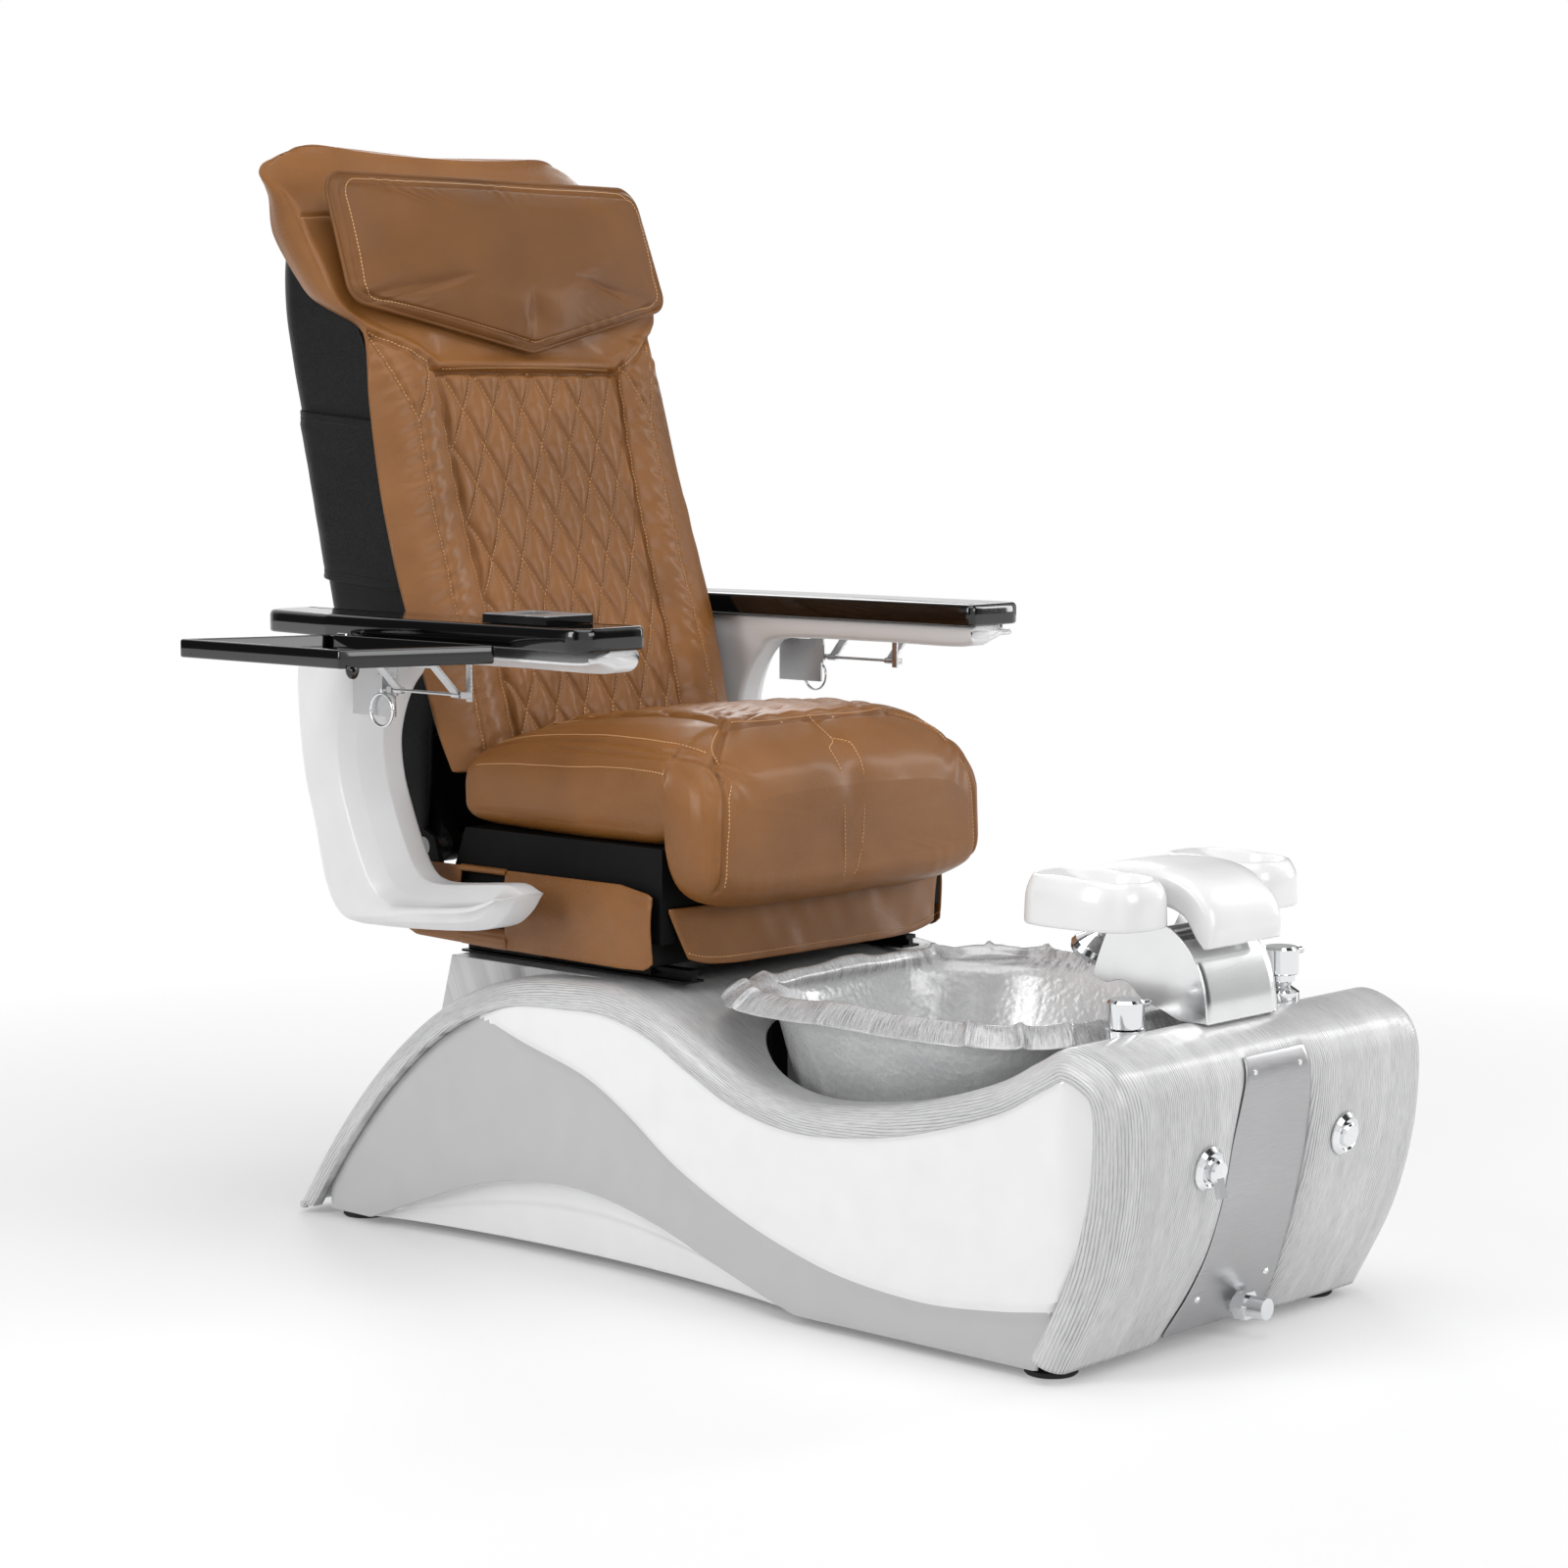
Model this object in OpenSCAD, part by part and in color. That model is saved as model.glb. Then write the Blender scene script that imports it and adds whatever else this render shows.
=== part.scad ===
// Pedicure spa chair: a massage armchair on slide rails over a moulded foot-bath base.
// The chair faces -Y, +Z is up and the sitter's right is -X. The origin is on the floor,
// under the middle of the whole chair.

/* [Base] */
// Width of the moulded base
base_w = 600; // [560:5:640]
// Gap under the base, held by the levelling feet
base_clear = 12; // [10:1:20]
// Rear end of the base at the floor
base_rear = 644; // [620:2:670]
// Foremost point of the front lobes
base_front = -718; // [-740:2:-700]
// Height of the deck that carries the chair
deck_h = 362; // [350:2:380]
// Height of the low valley beside the basin
valley_h = 262; // [240:2:290]
// Height of the front deck behind the lobes
front_h = 372; // [360:2:390]
// Height of the fullest point of the front lobes
bulge_h = 285; // [250:5:300]
// Wall of the moulded shell
shell_wall = 6; // [4:0.5:9]
// Height of the rolled edge band that frames each side panel
band_h = 34; // [28:1:42]
// Radius of the rolled side edges
edge_r = 28; // [16:1:32]
// Depth of the recess between the front lobes
lobe_recess = 9; // [4:1:14]
// Half-width of that recess
recess_w = 62; // [50:1:80]
// Height of the arch in each side panel
arch_h = 106; // [80:2:120]
// Depth of the toe recess behind the arch
toe_depth = 42; // [30:1:50]

/* [Basin] */
// Half-width of the basin over its rim
rim_w = 283; // [265:1:290]
// Half-length of the basin over its rim
rim_l = 277; // [262:1:280]
// Middle of the basin along Y
basin_y = -315; // [-320:1:-310]
// Top of the rim
rim_top = 377; // [370:1:379]
// Height of the rim's rolled edge
rim_h = 25; // [18:1:26]
// Floor of the bowl, inside
bowl_floor = 140; // [130:1:170]
// Wall of the bowl
bowl_wall = 7; // [5:0.5:9]
// Radius of the drain hole
drain_r = 24; // [18:1:30]
// Radius of the jet hole in the front wall
jet_r = 32; // [26:1:36]

/* [Fittings] */
// Spacing of the two deck valves from the middle
valve_x = 148; // [140:1:160]
// Place of the deck valves along Y
valve_y = -612; // [-620:1:-605]
// Radius of a valve knob
valve_r = 21; // [17:1:22]
// Height of a valve knob
valve_h = 32; // [24:1:36]
// Spacing of the front knob and the air button from the middle
button_x = 131; // [120:1:150]
// Height of the front knob and the air button
button_z = 228; // [210:1:240]
// Radius of their bezels
bezel_r = 25; // [20:1:28]
// Radius of a levelling foot
foot_r = 30; // [20:1:34]

/* [Footrest] */
// Half-width of the footrest bracket
bracket_w = 53; // [45:1:56]
// Sheet of the bracket
bracket_t = 3; // [2:0.5:3.5]
// Place of the footrest axle along Y
axle_y = -575; // [-585:1:-565]
// Height of the footrest axle above the front top
axle_rise = 90; // [87:1:93]
// Radius of the footrest axle
axle_r = 6; // [5:0.5:7]
// Half-width of the centre saddle
saddle_w = 68; // [64:1:72]
// Half-width of the whole footrest
pads_w = 178; // [165:1:190]
// Underside of the foot pads
pads_rise = 19; // [16:1:24]
// Height of the foot pads
pads_h = 58; // [45:1:64]

/* [Seat] */
// Half-width of the seat cushion
seat_w = 266; // [255:1:272]
// Front of the seat cushion
seat_front = -78; // [-90:1:-60]
// Rear of the seat cushion
seat_rear = 352; // [330:1:360]
// Underside of the seat cushion
seat_under = 530; // [520:1:540]
// Top of the seat cushion at its crown
seat_top = 662; // [640:1:680]
// Half-spacing of the slide rails
rail_x = 200; // [180:1:210]
// Length of the slide rails
rail_l = 400; // [340:5:410]
// Lower edge of the skirts
skirt_z = 384; // [382:1:390]
// Upper edge of the skirts
skirt_top = 482; // [470:1:490]
// Leather of the skirts
skirt_t = 4; // [3:0.5:6]
// Place of the recline shaft along Y
hinge_y = 420; // [410:1:430]
// Height of the recline shaft
hinge_z = 500; // [495:1:510]
// Radius of the recline shaft
hinge_r = 12; // [10:0.5:14]

/* [Back] */
// Lean of the back from upright, in degrees
back_lean = 16; // [14:0.5:18]
// Half-width of the black back shell
shell_w = 250; // [235:1:256]
// Top of the head wings
back_top = 1386; // [1370:1:1400]
// Half-width of the back pad over the bolsters
pad_w = 269; // [262:1:280]
// Half-width of the quilted centre panel
quilt_w = 160; // [140:1:175]
// Half-width of the head pillow
pillow_w = 280; // [260:1:285]
// Full thickness of the head pillow
pillow_t = 58; // [40:1:64]

/* [Arms] */
// Inner face of the arm moulding
arm_in = 305; // [304:1:312]
// Outer face of the arm moulding
arm_out = 385; // [378:1:392]
// Inner edge of the black arm top
top_in = 297; // [296:1:303]
// Outer edge of the black arm top
top_out = 405; // [398:1:412]
// Top of the arm
arm_z = 800; // [790:1:810]
// Thickness of the black arm top
top_t = 28; // [22:1:30]
// Front end of the arm top
arm_front = -18; // [-30:1:-10]
// Rear end of the arm top
arm_rear = 590; // [575:1:600]
// Place of the arm pivot along Y
pivot_y = 300; // [295:1:305]
// Height of the arm pivot
pivot_z = 442; // [439:1:445]
// Radius of the arm pivot bolt
pivot_r = 8; // [6:0.5:10]
// Width of a tray across the chair
tray_w = 190; // [150:5:200]
// Length of a tray along the chair
tray_l = 300; // [260:5:310]
// Height of a tray's rim
tray_h = 22; // [16:1:24]

/* [Clearances] */
// Gap of parts that seat on each other
seat_gap = 0.3; // [0.2:0.05:0.5]
// Radial clearance of a running fit
run_gap = 0.05; // [0.02:0.01:0.09]

/* [Hidden] */
axle_z = front_h + axle_rise;
pads_z = axle_z + pads_rise;
$fn = 48;
eps = 0.01;

// ---------- shared maths ----------
function mix(a, b, t) = a + (b - a) * t;
function clamp01(t) = max(0, min(1, t));
function ease(t) = let (u = clamp01(t)) u * u * (3 - 2 * u);
function flat(rows) = [for (row = rows) for (p = row) p];
function reversed(list) = [for (i = [len(list) - 1:-1:0]) list[i]];

// A smooth curve through knots, with n steps in each span.
function catmull(a, b, c, d, t) =
  0.5 * (2 * b + (c - a) * t + (2 * a - 5 * b + 4 * c - d) * t * t
         + (3 * b - a - 3 * c + d) * t * t * t);
function spline(knots, n) =
  let (last = len(knots) - 1)
  [for (s = [0:last - 1]) for (k = [0:n - 1])
      catmull(knots[max(s - 1, 0)], knots[s], knots[s + 1], knots[min(s + 2, last)], k / n),
   knots[last]];

// Unit normal of a polyline at point i, on the left-hand side as it rises from the rear.
function curve_normal(c, i) =
  let (d = c[min(i + 1, len(c) - 1)] - c[max(i - 1, 0)], l = norm(d)) [d.y, -d.x] / l;

// Superellipse outline: angle a, half-sizes, squareness e.
function squircle(a, rx, ry, e) =
  [rx * sign(cos(a)) * pow(abs(cos(a)), 2 / e), ry * sign(sin(a)) * pow(abs(sin(a)), 2 / e)];

// Arc points around c, from angle a0 to a1.
function arc(c, r, a0, a1, n) = [for (k = [0:n]) c + r * [cos(mix(a0, a1, k / n)), sin(mix(a0, a1, k / n))]];

// Closed solid between an outer and an inner grid of points, [row][column].
// Column direction crossed with row direction points out of the outer grid.
module grid_solid(outer, inner) {
  rows = len(outer);
  cols = len(outer[0]);
  total = rows * cols;
  function at(j, i) = j * cols + i;
  skin = [for (j = [0:rows - 2]) for (i = [0:cols - 2]) for (t =
      [[at(j, i), at(j + 1, i), at(j + 1, i + 1)], [at(j, i), at(j + 1, i + 1), at(j, i + 1)]]) t];
  back = [for (t = skin) [t[0] + total, t[2] + total, t[1] + total]];
  border = concat([for (i = [0:cols - 2]) [at(0, i), at(0, i + 1)]],
    [for (j = [0:rows - 2]) [at(j, cols - 1), at(j + 1, cols - 1)]],
    [for (i = [cols - 1:-1:1]) [at(rows - 1, i), at(rows - 1, i - 1)]],
    [for (j = [rows - 1:-1:1]) [at(j, 0), at(j - 1, 0)]]);
  rim = [for (b = border) for (t =
      [[b[0], b[1], b[1] + total], [b[0], b[1] + total, b[0] + total]]) t];
  polyhedron(points = concat(flat(outer), flat(inner)), faces = concat(skin, back, rim));
}

// Closed solid through rings that run anticlockwise about the stacking direction.
module ring_solid(rings) {
  n = len(rings[0]);
  m = len(rings);
  function at(j, i) = j * n + (i % n);
  function centre(r) = [for (k = [0:2]) let (v = [for (p = r) p[k]]) (max(v) + min(v)) / 2];
  low = n * m;
  high = n * m + 1;
  skin = [for (j = [0:m - 2]) for (i = [0:n - 1]) for (t =
      [[at(j, i), at(j + 1, i), at(j + 1, i + 1)], [at(j, i), at(j + 1, i + 1), at(j, i + 1)]]) t];
  caps = [for (i = [0:n - 1]) for (t =
      [[low, at(0, i), at(0, i + 1)], [high, at(m - 1, i + 1), at(m - 1, i)]]) t];
  polyhedron(points = concat(flat(rings), [centre(rings[0]), centre(rings[m - 1])]),
    faces = concat(skin, caps));
}

// Extrudes an outline given in Y,Z across X, from x0 to x1.
module across(x0, x1) {
  translate([x0, 0, 0]) rotate([90, 0, 90]) linear_extrude(x1 - x0) children();
}

// Cylinder along X, from x0 to x1, at y, z.
module rod_x(x0, x1, y, z, r) { translate([x0, y, z]) rotate([0, 90, 0]) cylinder(h = x1 - x0, r = r); }

module mirrored(left) { if (left) mirror([1, 0, 0]) children(); else children(); }

// ---------- base outline ----------
crest_y = 110;
valley_y = -260;
front_top_y = -640;
function on_rear(a, b) = [mix(base_rear, crest_y, a), mix(base_clear, deck_h, b)];
function on_drop(a, b) = [mix(crest_y, valley_y, a), mix(deck_h, valley_h, b)];
function on_rise(a, b) = [mix(valley_y, front_top_y, a), mix(valley_h, front_h, b)];
function on_nose(a, b) = [mix(base_front, front_top_y, a), mix(base_clear, bulge_h, b)];
base_knots = [on_rear(0, 0), on_rear(0.148, 0.309), on_rear(0.326, 0.6), on_rear(0.532, 0.834),
  on_rear(0.757, 0.968), [crest_y, deck_h], on_drop(0.19, 0.03), on_drop(0.378, 0.22),
  on_drop(0.568, 0.56), on_drop(0.757, 0.86), [valley_y, valley_h], on_rise(0.295, 0.1),
  on_rise(0.521, 0.285), on_rise(0.742, 0.55), on_rise(0.882, 0.81), [front_top_y, front_h],
  [mix(base_front, front_top_y, 0.38), front_h - 16], [mix(base_front, front_top_y, 0.08), mix(bulge_h,
      front_h, 0.5)],
  [base_front, bulge_h], on_nose(0.1, 0.7), on_nose(0.45, 0.36), [base_front + 86, base_clear]];
base_curve = [for (p = spline(base_knots, 2)) [p.x, p.x > valley_y ? min(p.y, deck_h) : p.y]];
base_n = len(base_curve);
front_start = 2 * 15;

// The base outline moved inwards by d, kept above the floor gap.
function inset_point(i, d) =
  let (p = base_curve[i] - d * curve_normal(base_curve, i)) [p.x, max(p.y, base_clear)];
// Height of the top of the base at y, behind the front lobes.
deck_table = [for (i = [front_start:-1:0]) base_curve[i]];
function deck_z(y) = lookup(y, deck_table);
// Place of the front face at z.
nose_table = [for (i = [base_n - 1:-1:front_start + 6]) [base_curve[i].y, base_curve[i].x]];
function nose_y(z) = lookup(z, nose_table);
function nose_tilt(z) = atan2(nose_y(z + 12) - nose_y(z - 12), 24);

half_w = base_w / 2;
// Half-width of the recess between the lobes, wider at the foot.
function groove_half(z) = recess_w + 24 * clamp01((front_h - 60 - z) / 240);
// Columns across half the shell: distance from the rolled side, then from the recess.
side_steps = [0, 1.5, 7, 16, edge_r, edge_r + 5, edge_r + 6];
groove_steps = [64, 34, 20, 8, 0];
function column_x(k, z) = k < len(side_steps) ? half_w - side_steps[k]
  : groove_half(z) + groove_steps[k - len(side_steps)];
half_cols = len(side_steps) + len(groove_steps);
function edge_inset(k) = k > 4 ? 0
  : let (t = 1 - side_steps[k] / edge_r) edge_r * (1 - sqrt(1 - t * t * 0.985));
function lobe_inset(k, i) = let (g = k - len(side_steps)) g < 1 ? 0
  : lobe_recess * [0, 0.08, 0.35, 0.85, 1][g] * ease((i - front_start - 2) / 4);

module base_form() {
  cols = [for (k = [0:half_cols - 1]) [k, -1]];
  both = concat(cols, [for (k = [half_cols - 1:-1:0]) [k, 1]]);
  outer = [for (c = both) [for (i = [0:base_n - 1])
      let (p = inset_point(i, edge_inset(c[0]) + lobe_inset(c[0], i))) [c[1] * column_x(c[0], p.y), p.x,
          p.y]]];
  inner = [for (c = both) [for (i = [0:base_n - 1])
      let (p = inset_point(i, c[0] < 6 ? band_h : shell_wall + lobe_inset(c[0], i)))
      [c[1] * column_x(c[0], p.y), p.x, p.y]]];
  grid_solid(outer, inner);
}

riser_w = 245;
riser_rear = 388;
module seat_riser() {
  across(-riser_w, riser_w)
    polygon([[crest_y, deck_h - 2], [crest_y, deck_h], [riser_rear - 3, deck_h], [riser_rear, deck_h - 3],
        [riser_rear + 27, deck_z(riser_rear + 27) - 2], [riser_rear - 40, deck_z(riser_rear - 40) - 2],
        [300, deck_z(300) - 2], [200, deck_z(200) - 2]]);
}

module base_shell() {
  color("gainsboro") difference() {
    union() {
      base_form();
      seat_riser();
    }
    bowl_block(seat_gap);
    for (s = [-1, 1]) translate([s * valve_x, valve_y, front_h - 80]) cylinder(h = 120,
        r = shank_r + run_gap);
    for (s = [-1, 1]) on_nose_face(s * button_x) translate([0, 0, -40]) cylinder(h = 60,
        r = barrel_r + run_gap);
    outlet_notch();
  }
}

// ---------- side panels ----------
// Face of the lower field, thickness of the skin, and how far the upper field stands out.
panel_x = half_w - 16;
panel_t = 6;
crease_out = 13;
crease_drop = 30;
arch_knots = [[506, base_clear], [409, 49], [298, 0.82 * arch_h], [190, arch_h], [87, 0.98 * arch_h],
  [-14, 0.79 * arch_h], [-111, 52], [-206, 22], [-240, base_clear]];
arch_curve = spline(arch_knots, 3);
arch_table = reversed(arch_curve);
crease_knots = [[310, 320], [206, 290], [100, 262], [28, 226], [-52, 175], [-144, 133], [-237, 102],
  [-328, 82], [-445, 74], [-544, 82], [-610, 92], [-645, 98]];
crease_table = reversed(spline(crease_knots, 2));
panel_edge = [for (i = [0:base_n - 1]) inset_point(i, band_h + 0.5)];
panel_tip = 2 * 18;
nose_edge = [for (i = [panel_tip:base_n - 1]) panel_edge[i]];

function arch_z(y) = y > arch_knots[0].x || y < arch_knots[8].x ? base_clear : max(base_clear, lookup(y,
    arch_table));
function panel_low(y) = y < base_front + 120 ? max(base_clear, lookup(y, nose_edge)) : arch_z(y);
// Heights of one column of the panel: foot, under the crease, crease, upper field, top.
function panel_levels(y, top) =
  let (low = min(panel_low(y), top - 4), crease = max(low + 2, min(top - 1.2, lookup(y, crease_table))),
       foot = max(low + 0.9, crease - crease_drop))
  [low, mix(low, foot, 0.5), foot, mix(foot, crease, 0.85), crease, mix(crease, top, 0.3), mix(crease,
      top, 0.7), top];
function crease_depth(y) = crease_out * ease((330 - y) / 120) * ease((y + 690) / 60);
module side_panel() {
  cols = [for (i = [2:panel_tip]) panel_edge[i]];
  share = [0, 0, 0.03, 0.86, 1, 1, 1, 1];
  face = [for (v = [0:7]) [for (c = cols) [-panel_x - crease_depth(c.x) * share[v], c.x, panel_levels(c.x,
      c.y)[v]]]];
  grid_solid(face, [for (r = face) [for (p = r) p + [panel_t, 0, 0]]]);
}
module side_panel_right() { color("white") side_panel(); }
module side_panel_left() { color("white") mirrored(true) side_panel(); }

// Toe panels close the arches: dished inwards, with a lip behind the side panel.
toe_cols = 22;
module toe_panel() {
  x0 = panel_x - panel_t - seat_gap;
  levels = [0, 0.3, 0.5, 0.58, 1, 1];
  depth = [1, 0.9, 0.8, 0.6, 0.32, 0];
  function row(v) = [for (i = [0:toe_cols]) let (y = mix(arch_knots[0].x - 2, arch_knots[8].x + 2,
      i / toe_cols),
      s = pow(sin(180 * clamp01(i / toe_cols)), 0.7), top = arch_z(y) + 8 + (v == 5 ? 4 : 0))
      [-x0 + toe_depth * s * depth[v], y, mix(base_clear, top, levels[v])]];
  face = [for (v = [0:5]) row(v)];
  grid_solid(face, [for (v = [0:5]) [for (p = face[v]) p + (v > 3 ? [3, 0, v == 5 ? 3 : 1] : [4, 0, 0])]]);
}
module toe_panels() { color("whitesmoke") for (left = [false, true]) mirrored(left) toe_panel(); }

// ---------- sub-frame and feet ----------
frame_x = half_w - 95;
frame_tube = 30;
frame_z = 18;
foot_x = half_w - 55;
foot_front_y = -590;
foot_rear_y = 560;
post_y = [70, 250];
function post_top(y) = min(deck_z(y - 15), deck_z(y + 15)) - shell_wall - seat_gap - 0.5;
module base_frame() {
  half = frame_tube / 2;
  color("dimgray") {
    for (s = [-1, 1]) {
      translate([s * frame_x - half, foot_front_y, frame_z]) cube([frame_tube, foot_rear_y - foot_front_y,
          frame_tube]);
      for (y = post_y) translate([s * frame_x - half, y - half, frame_z + frame_tube])
          cube([frame_tube, frame_tube, post_top(y) - frame_z - frame_tube]);
      for (y = [foot_front_y - half + 1, foot_rear_y - half - 1]) difference() {
        translate([s > 0 ? frame_x : -foot_x - 14, y, frame_z]) cube([foot_x + 14 - frame_x, frame_tube,
            frame_tube]);
        translate([s * foot_x, y + half, frame_z - 1]) cylinder(h = frame_tube + 2, r = 6 + run_gap);
      }
    }
    for (y = [150, foot_rear_y - frame_tube]) translate([-frame_x, y - half, frame_z]) cube([2 * frame_x,
        frame_tube, frame_tube]);
  }
}

module levelling_feet() {
  color("black") for (s = [-1, 1]) for (y = [foot_front_y + 1, foot_rear_y - 1]) translate([s * foot_x, y,
      0]) {
    rotate_extrude() polygon([[0, 0], [foot_r - 2, 0], [foot_r, 2], [foot_r, 6], [foot_r - 8, 10], [9, 11],
        [9, frame_z - seat_gap], [6, frame_z - seat_gap], [6, frame_z + frame_tube + 14], [0,
            frame_z + frame_tube + 14]]);
  }
}

// ---------- front panel ----------
plate_t = 1.5;
plate_top = 334;
plate_low = 46;
plate_lift = 0.4;
function plate_half(z) = groove_half(z) - 7;
plate_rows = 14;
module front_panel() {
  back = [for (j = [0:plate_rows]) let (z = mix(plate_low, plate_top, j / plate_rows))
      [for (u = [-1, -0.5, 0, 0.5, 1]) [u * plate_half(z), nose_y(z) + lobe_recess - seat_gap - plate_lift,
        max(z, base_clear + (1 - u * u) * (j == 0 ? 30 : 0))]]];
  front = [for (r = back) [for (p = r) p - [0, plate_t, 0]]];
  color("silver") difference() {
    grid_solid(front, back);
    outlet_notch();
  }
}
outlet_x = 28;
outlet_r = 12.5;
module outlet_notch() { translate([outlet_x - 22, base_front - 10, 0]) cube([44, 160, 54]); }
screw_places = [[-43, plate_top - 12], [43, plate_top - 12], [-62, 58], [62, 70]];
module panel_screws() {
  color("silver") for (s = screw_places)
    translate([s.x, nose_y(s.y) + lobe_recess - plate_lift - 2 * seat_gap - plate_t, s.y])
      rotate([90 - nose_tilt(s.y), 0, 0]) cylinder(h = 2.4, r1 = 4.5, r2 = 3);
}

// ---------- basin ----------
bowl_e = 3;
rim_e = 4;
ripples = 9;
bowl_n = 45;
bowl_mouth = rim_top - rim_h;
// Half-width and half-length of the bowl's outside at height z.
bowl_w_table = [[100, 140], [130, 152], [145, 168], [200, 186], [262, 203], [330, 226], [bowl_mouth, 236]];
bowl_l_table = [[100, 176], [130, 190], [145, 208], [200, 226], [262, 236], [330, 246], [bowl_mouth, 252]];
function bowl_ring(z, grow) = [for (k = [0:bowl_n - 1])
    let (p = squircle(360 * k / bowl_n, lookup(z, bowl_w_table) + grow, lookup(z, bowl_l_table) + grow,
        bowl_e))
    [p.x, p.y + basin_y, z]];
module bowl_block(grow) {
  ring_solid([for (z = [100, 145, 200, 262, 330, bowl_mouth, bowl_mouth + 68]) [for (p = bowl_ring(min(z,
      bowl_mouth), grow)) [p.x, p.y, z]]]);
}
// A ring of the rim: inset from its outer edge, height, and how much it ripples.
function rim_ring(inset, z, ripple) = [for (k = [0:bowl_n - 1])
    let (a = 360 * k / bowl_n, w = ripple * sin(ripples * a), p = squircle(a, rim_w - inset + w,
        rim_l - inset + w, rim_e))
    [p.x, p.y + basin_y, z + w * 0.8]];
module basin() {
  color("lightgray") difference() {
    ring_solid([bowl_ring(bowl_floor - bowl_wall, -12), bowl_ring(bowl_floor - bowl_wall + 6, 0),
        bowl_ring(200, 0),
        bowl_ring(262, 0), bowl_ring(330, 0), bowl_ring(bowl_mouth, 0), rim_ring(8, bowl_mouth, 0),
            rim_ring(0, bowl_mouth + 3, 0), rim_ring(3, bowl_mouth + 8, 1.5),
        rim_ring(16, rim_top - 4, 2), rim_ring(27, rim_top, 2), rim_ring(36, rim_top - 3, 2),
        bowl_ring(340, -bowl_wall), bowl_ring(262, -bowl_wall),
        bowl_ring(200, -bowl_wall), bowl_ring(bowl_floor + 10, -bowl_wall - 4), bowl_ring(bowl_floor,
            -bowl_wall - 18)]);
    translate([0, basin_y, bowl_floor - 20]) cylinder(h = 40, r = drain_r);
    translate([0, basin_y - 150, jet_z]) rotate([90, 0, 0]) cylinder(h = 160, r = jet_r);
  }
}
jet_z = 224;

module drain_flange() {
  color("silver") translate([0, basin_y, 0]) rotate_extrude()
    polygon([[14, bowl_floor - 26], [drain_r - 1, bowl_floor - 26], [drain_r - 1, bowl_floor + seat_gap],
        [drain_r + 8, bowl_floor + seat_gap], [drain_r + 5, bowl_floor + 3], [18, bowl_floor + 3], [18,
            bowl_floor - 8], [14, bowl_floor - 8]]);
}
module drain_stopper() {
  color("silver") translate([0, basin_y, 0]) rotate_extrude()
    polygon([[0, bowl_floor - 24], [4, bowl_floor - 24], [4, bowl_floor - 7.5], [17, bowl_floor - 7.5],
        [17, bowl_floor - 3],
        [12, bowl_floor + 4], [0, bowl_floor + 5]]);
}

// ---------- whirlpool jet ----------
jet_lean = 11;
// Frame of the jet: the origin on the bowl's inner face, Z into the bowl.
module on_jet() {
  wall_y = basin_y - lookup(jet_z, bowl_l_table) + bowl_wall;
  translate([0, wall_y, jet_z]) rotate([jet_lean - 90, 0, 0]) children();
}
module jet_cover() {
  color("silver") on_jet() difference() {
    union() {
      translate([0, 0, 3.1]) cylinder(h = 4, r = jet_r + 7);
      translate([0, 0, 7.1]) cylinder(h = 8, r1 = jet_r + 5, r2 = jet_r - 6);
    }
    translate([0, 0, 1]) cylinder(h = 9, r = jet_r - 6);
    for (a = [0:30:330]) rotate(a) translate([9, -1.6, 0]) cube([13, 3.2, 20]);
  }
}
module jet_impeller() {
  color("white") on_jet() difference() {
    union() {
      translate([0, 0, -8]) cylinder(h = 4, r = 24);
      translate([0, 0, -8]) cylinder(h = 13, r = 7);
      for (a = [0:60:300]) rotate(a) translate([6, -1, -5]) cube([16, 2, 8]);
    }
    translate([0, 0, -10]) cylinder(h = 12, r = 3 + run_gap);
  }
}
module jet_motor() {
  color("dimgray") on_jet() {
    translate([0, 0, -bowl_wall - 6.5]) difference() {
      cylinder(h = 6, r = jet_r + 8);
      translate([0, 0, 2]) cylinder(h = 6, r = jet_r - 4);
    }
    translate([0, 0, -bowl_wall - 39]) cylinder(h = 33, r = 34);
    translate([0, 0, -bowl_wall - 6.5]) cylinder(h = bowl_wall + 6.5, r = 3);
  }
}

// ---------- drain pump and outlet ----------
module drain_pump() {
  pump_y = -420;
  color("dimgray") {
    translate([0, basin_y, 60]) difference() {
      cylinder(h = bowl_floor - 26 - seat_gap - 60, r = 17);
      translate([0, 0, -1]) cylinder(h = 90, r = 13);
    }
    translate([0, basin_y + 17, 60]) rotate([90, 0, 0]) cylinder(h = 17 + basin_y - pump_y, r = 17);
    translate([0, pump_y - 70, 60]) rotate([-90, 0, 0]) cylinder(h = 72, r = 34);
    translate([0, pump_y - 150, 60]) rotate([-90, 0, 0]) cylinder(h = 82, r = 24);
    translate([outlet_x, pump_y - 20, 36]) rotate([90, 0, 0]) cylinder(h = 205, r = 12);
  }
  color("silver") translate([outlet_x, pump_y - 224, 36]) rotate([90, 0, 0]) {
    cylinder(h = 16, r = 18, $fn = 6);
    translate([0, 0, 15]) cylinder(h = 25, r = outlet_r);
  }
}

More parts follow.
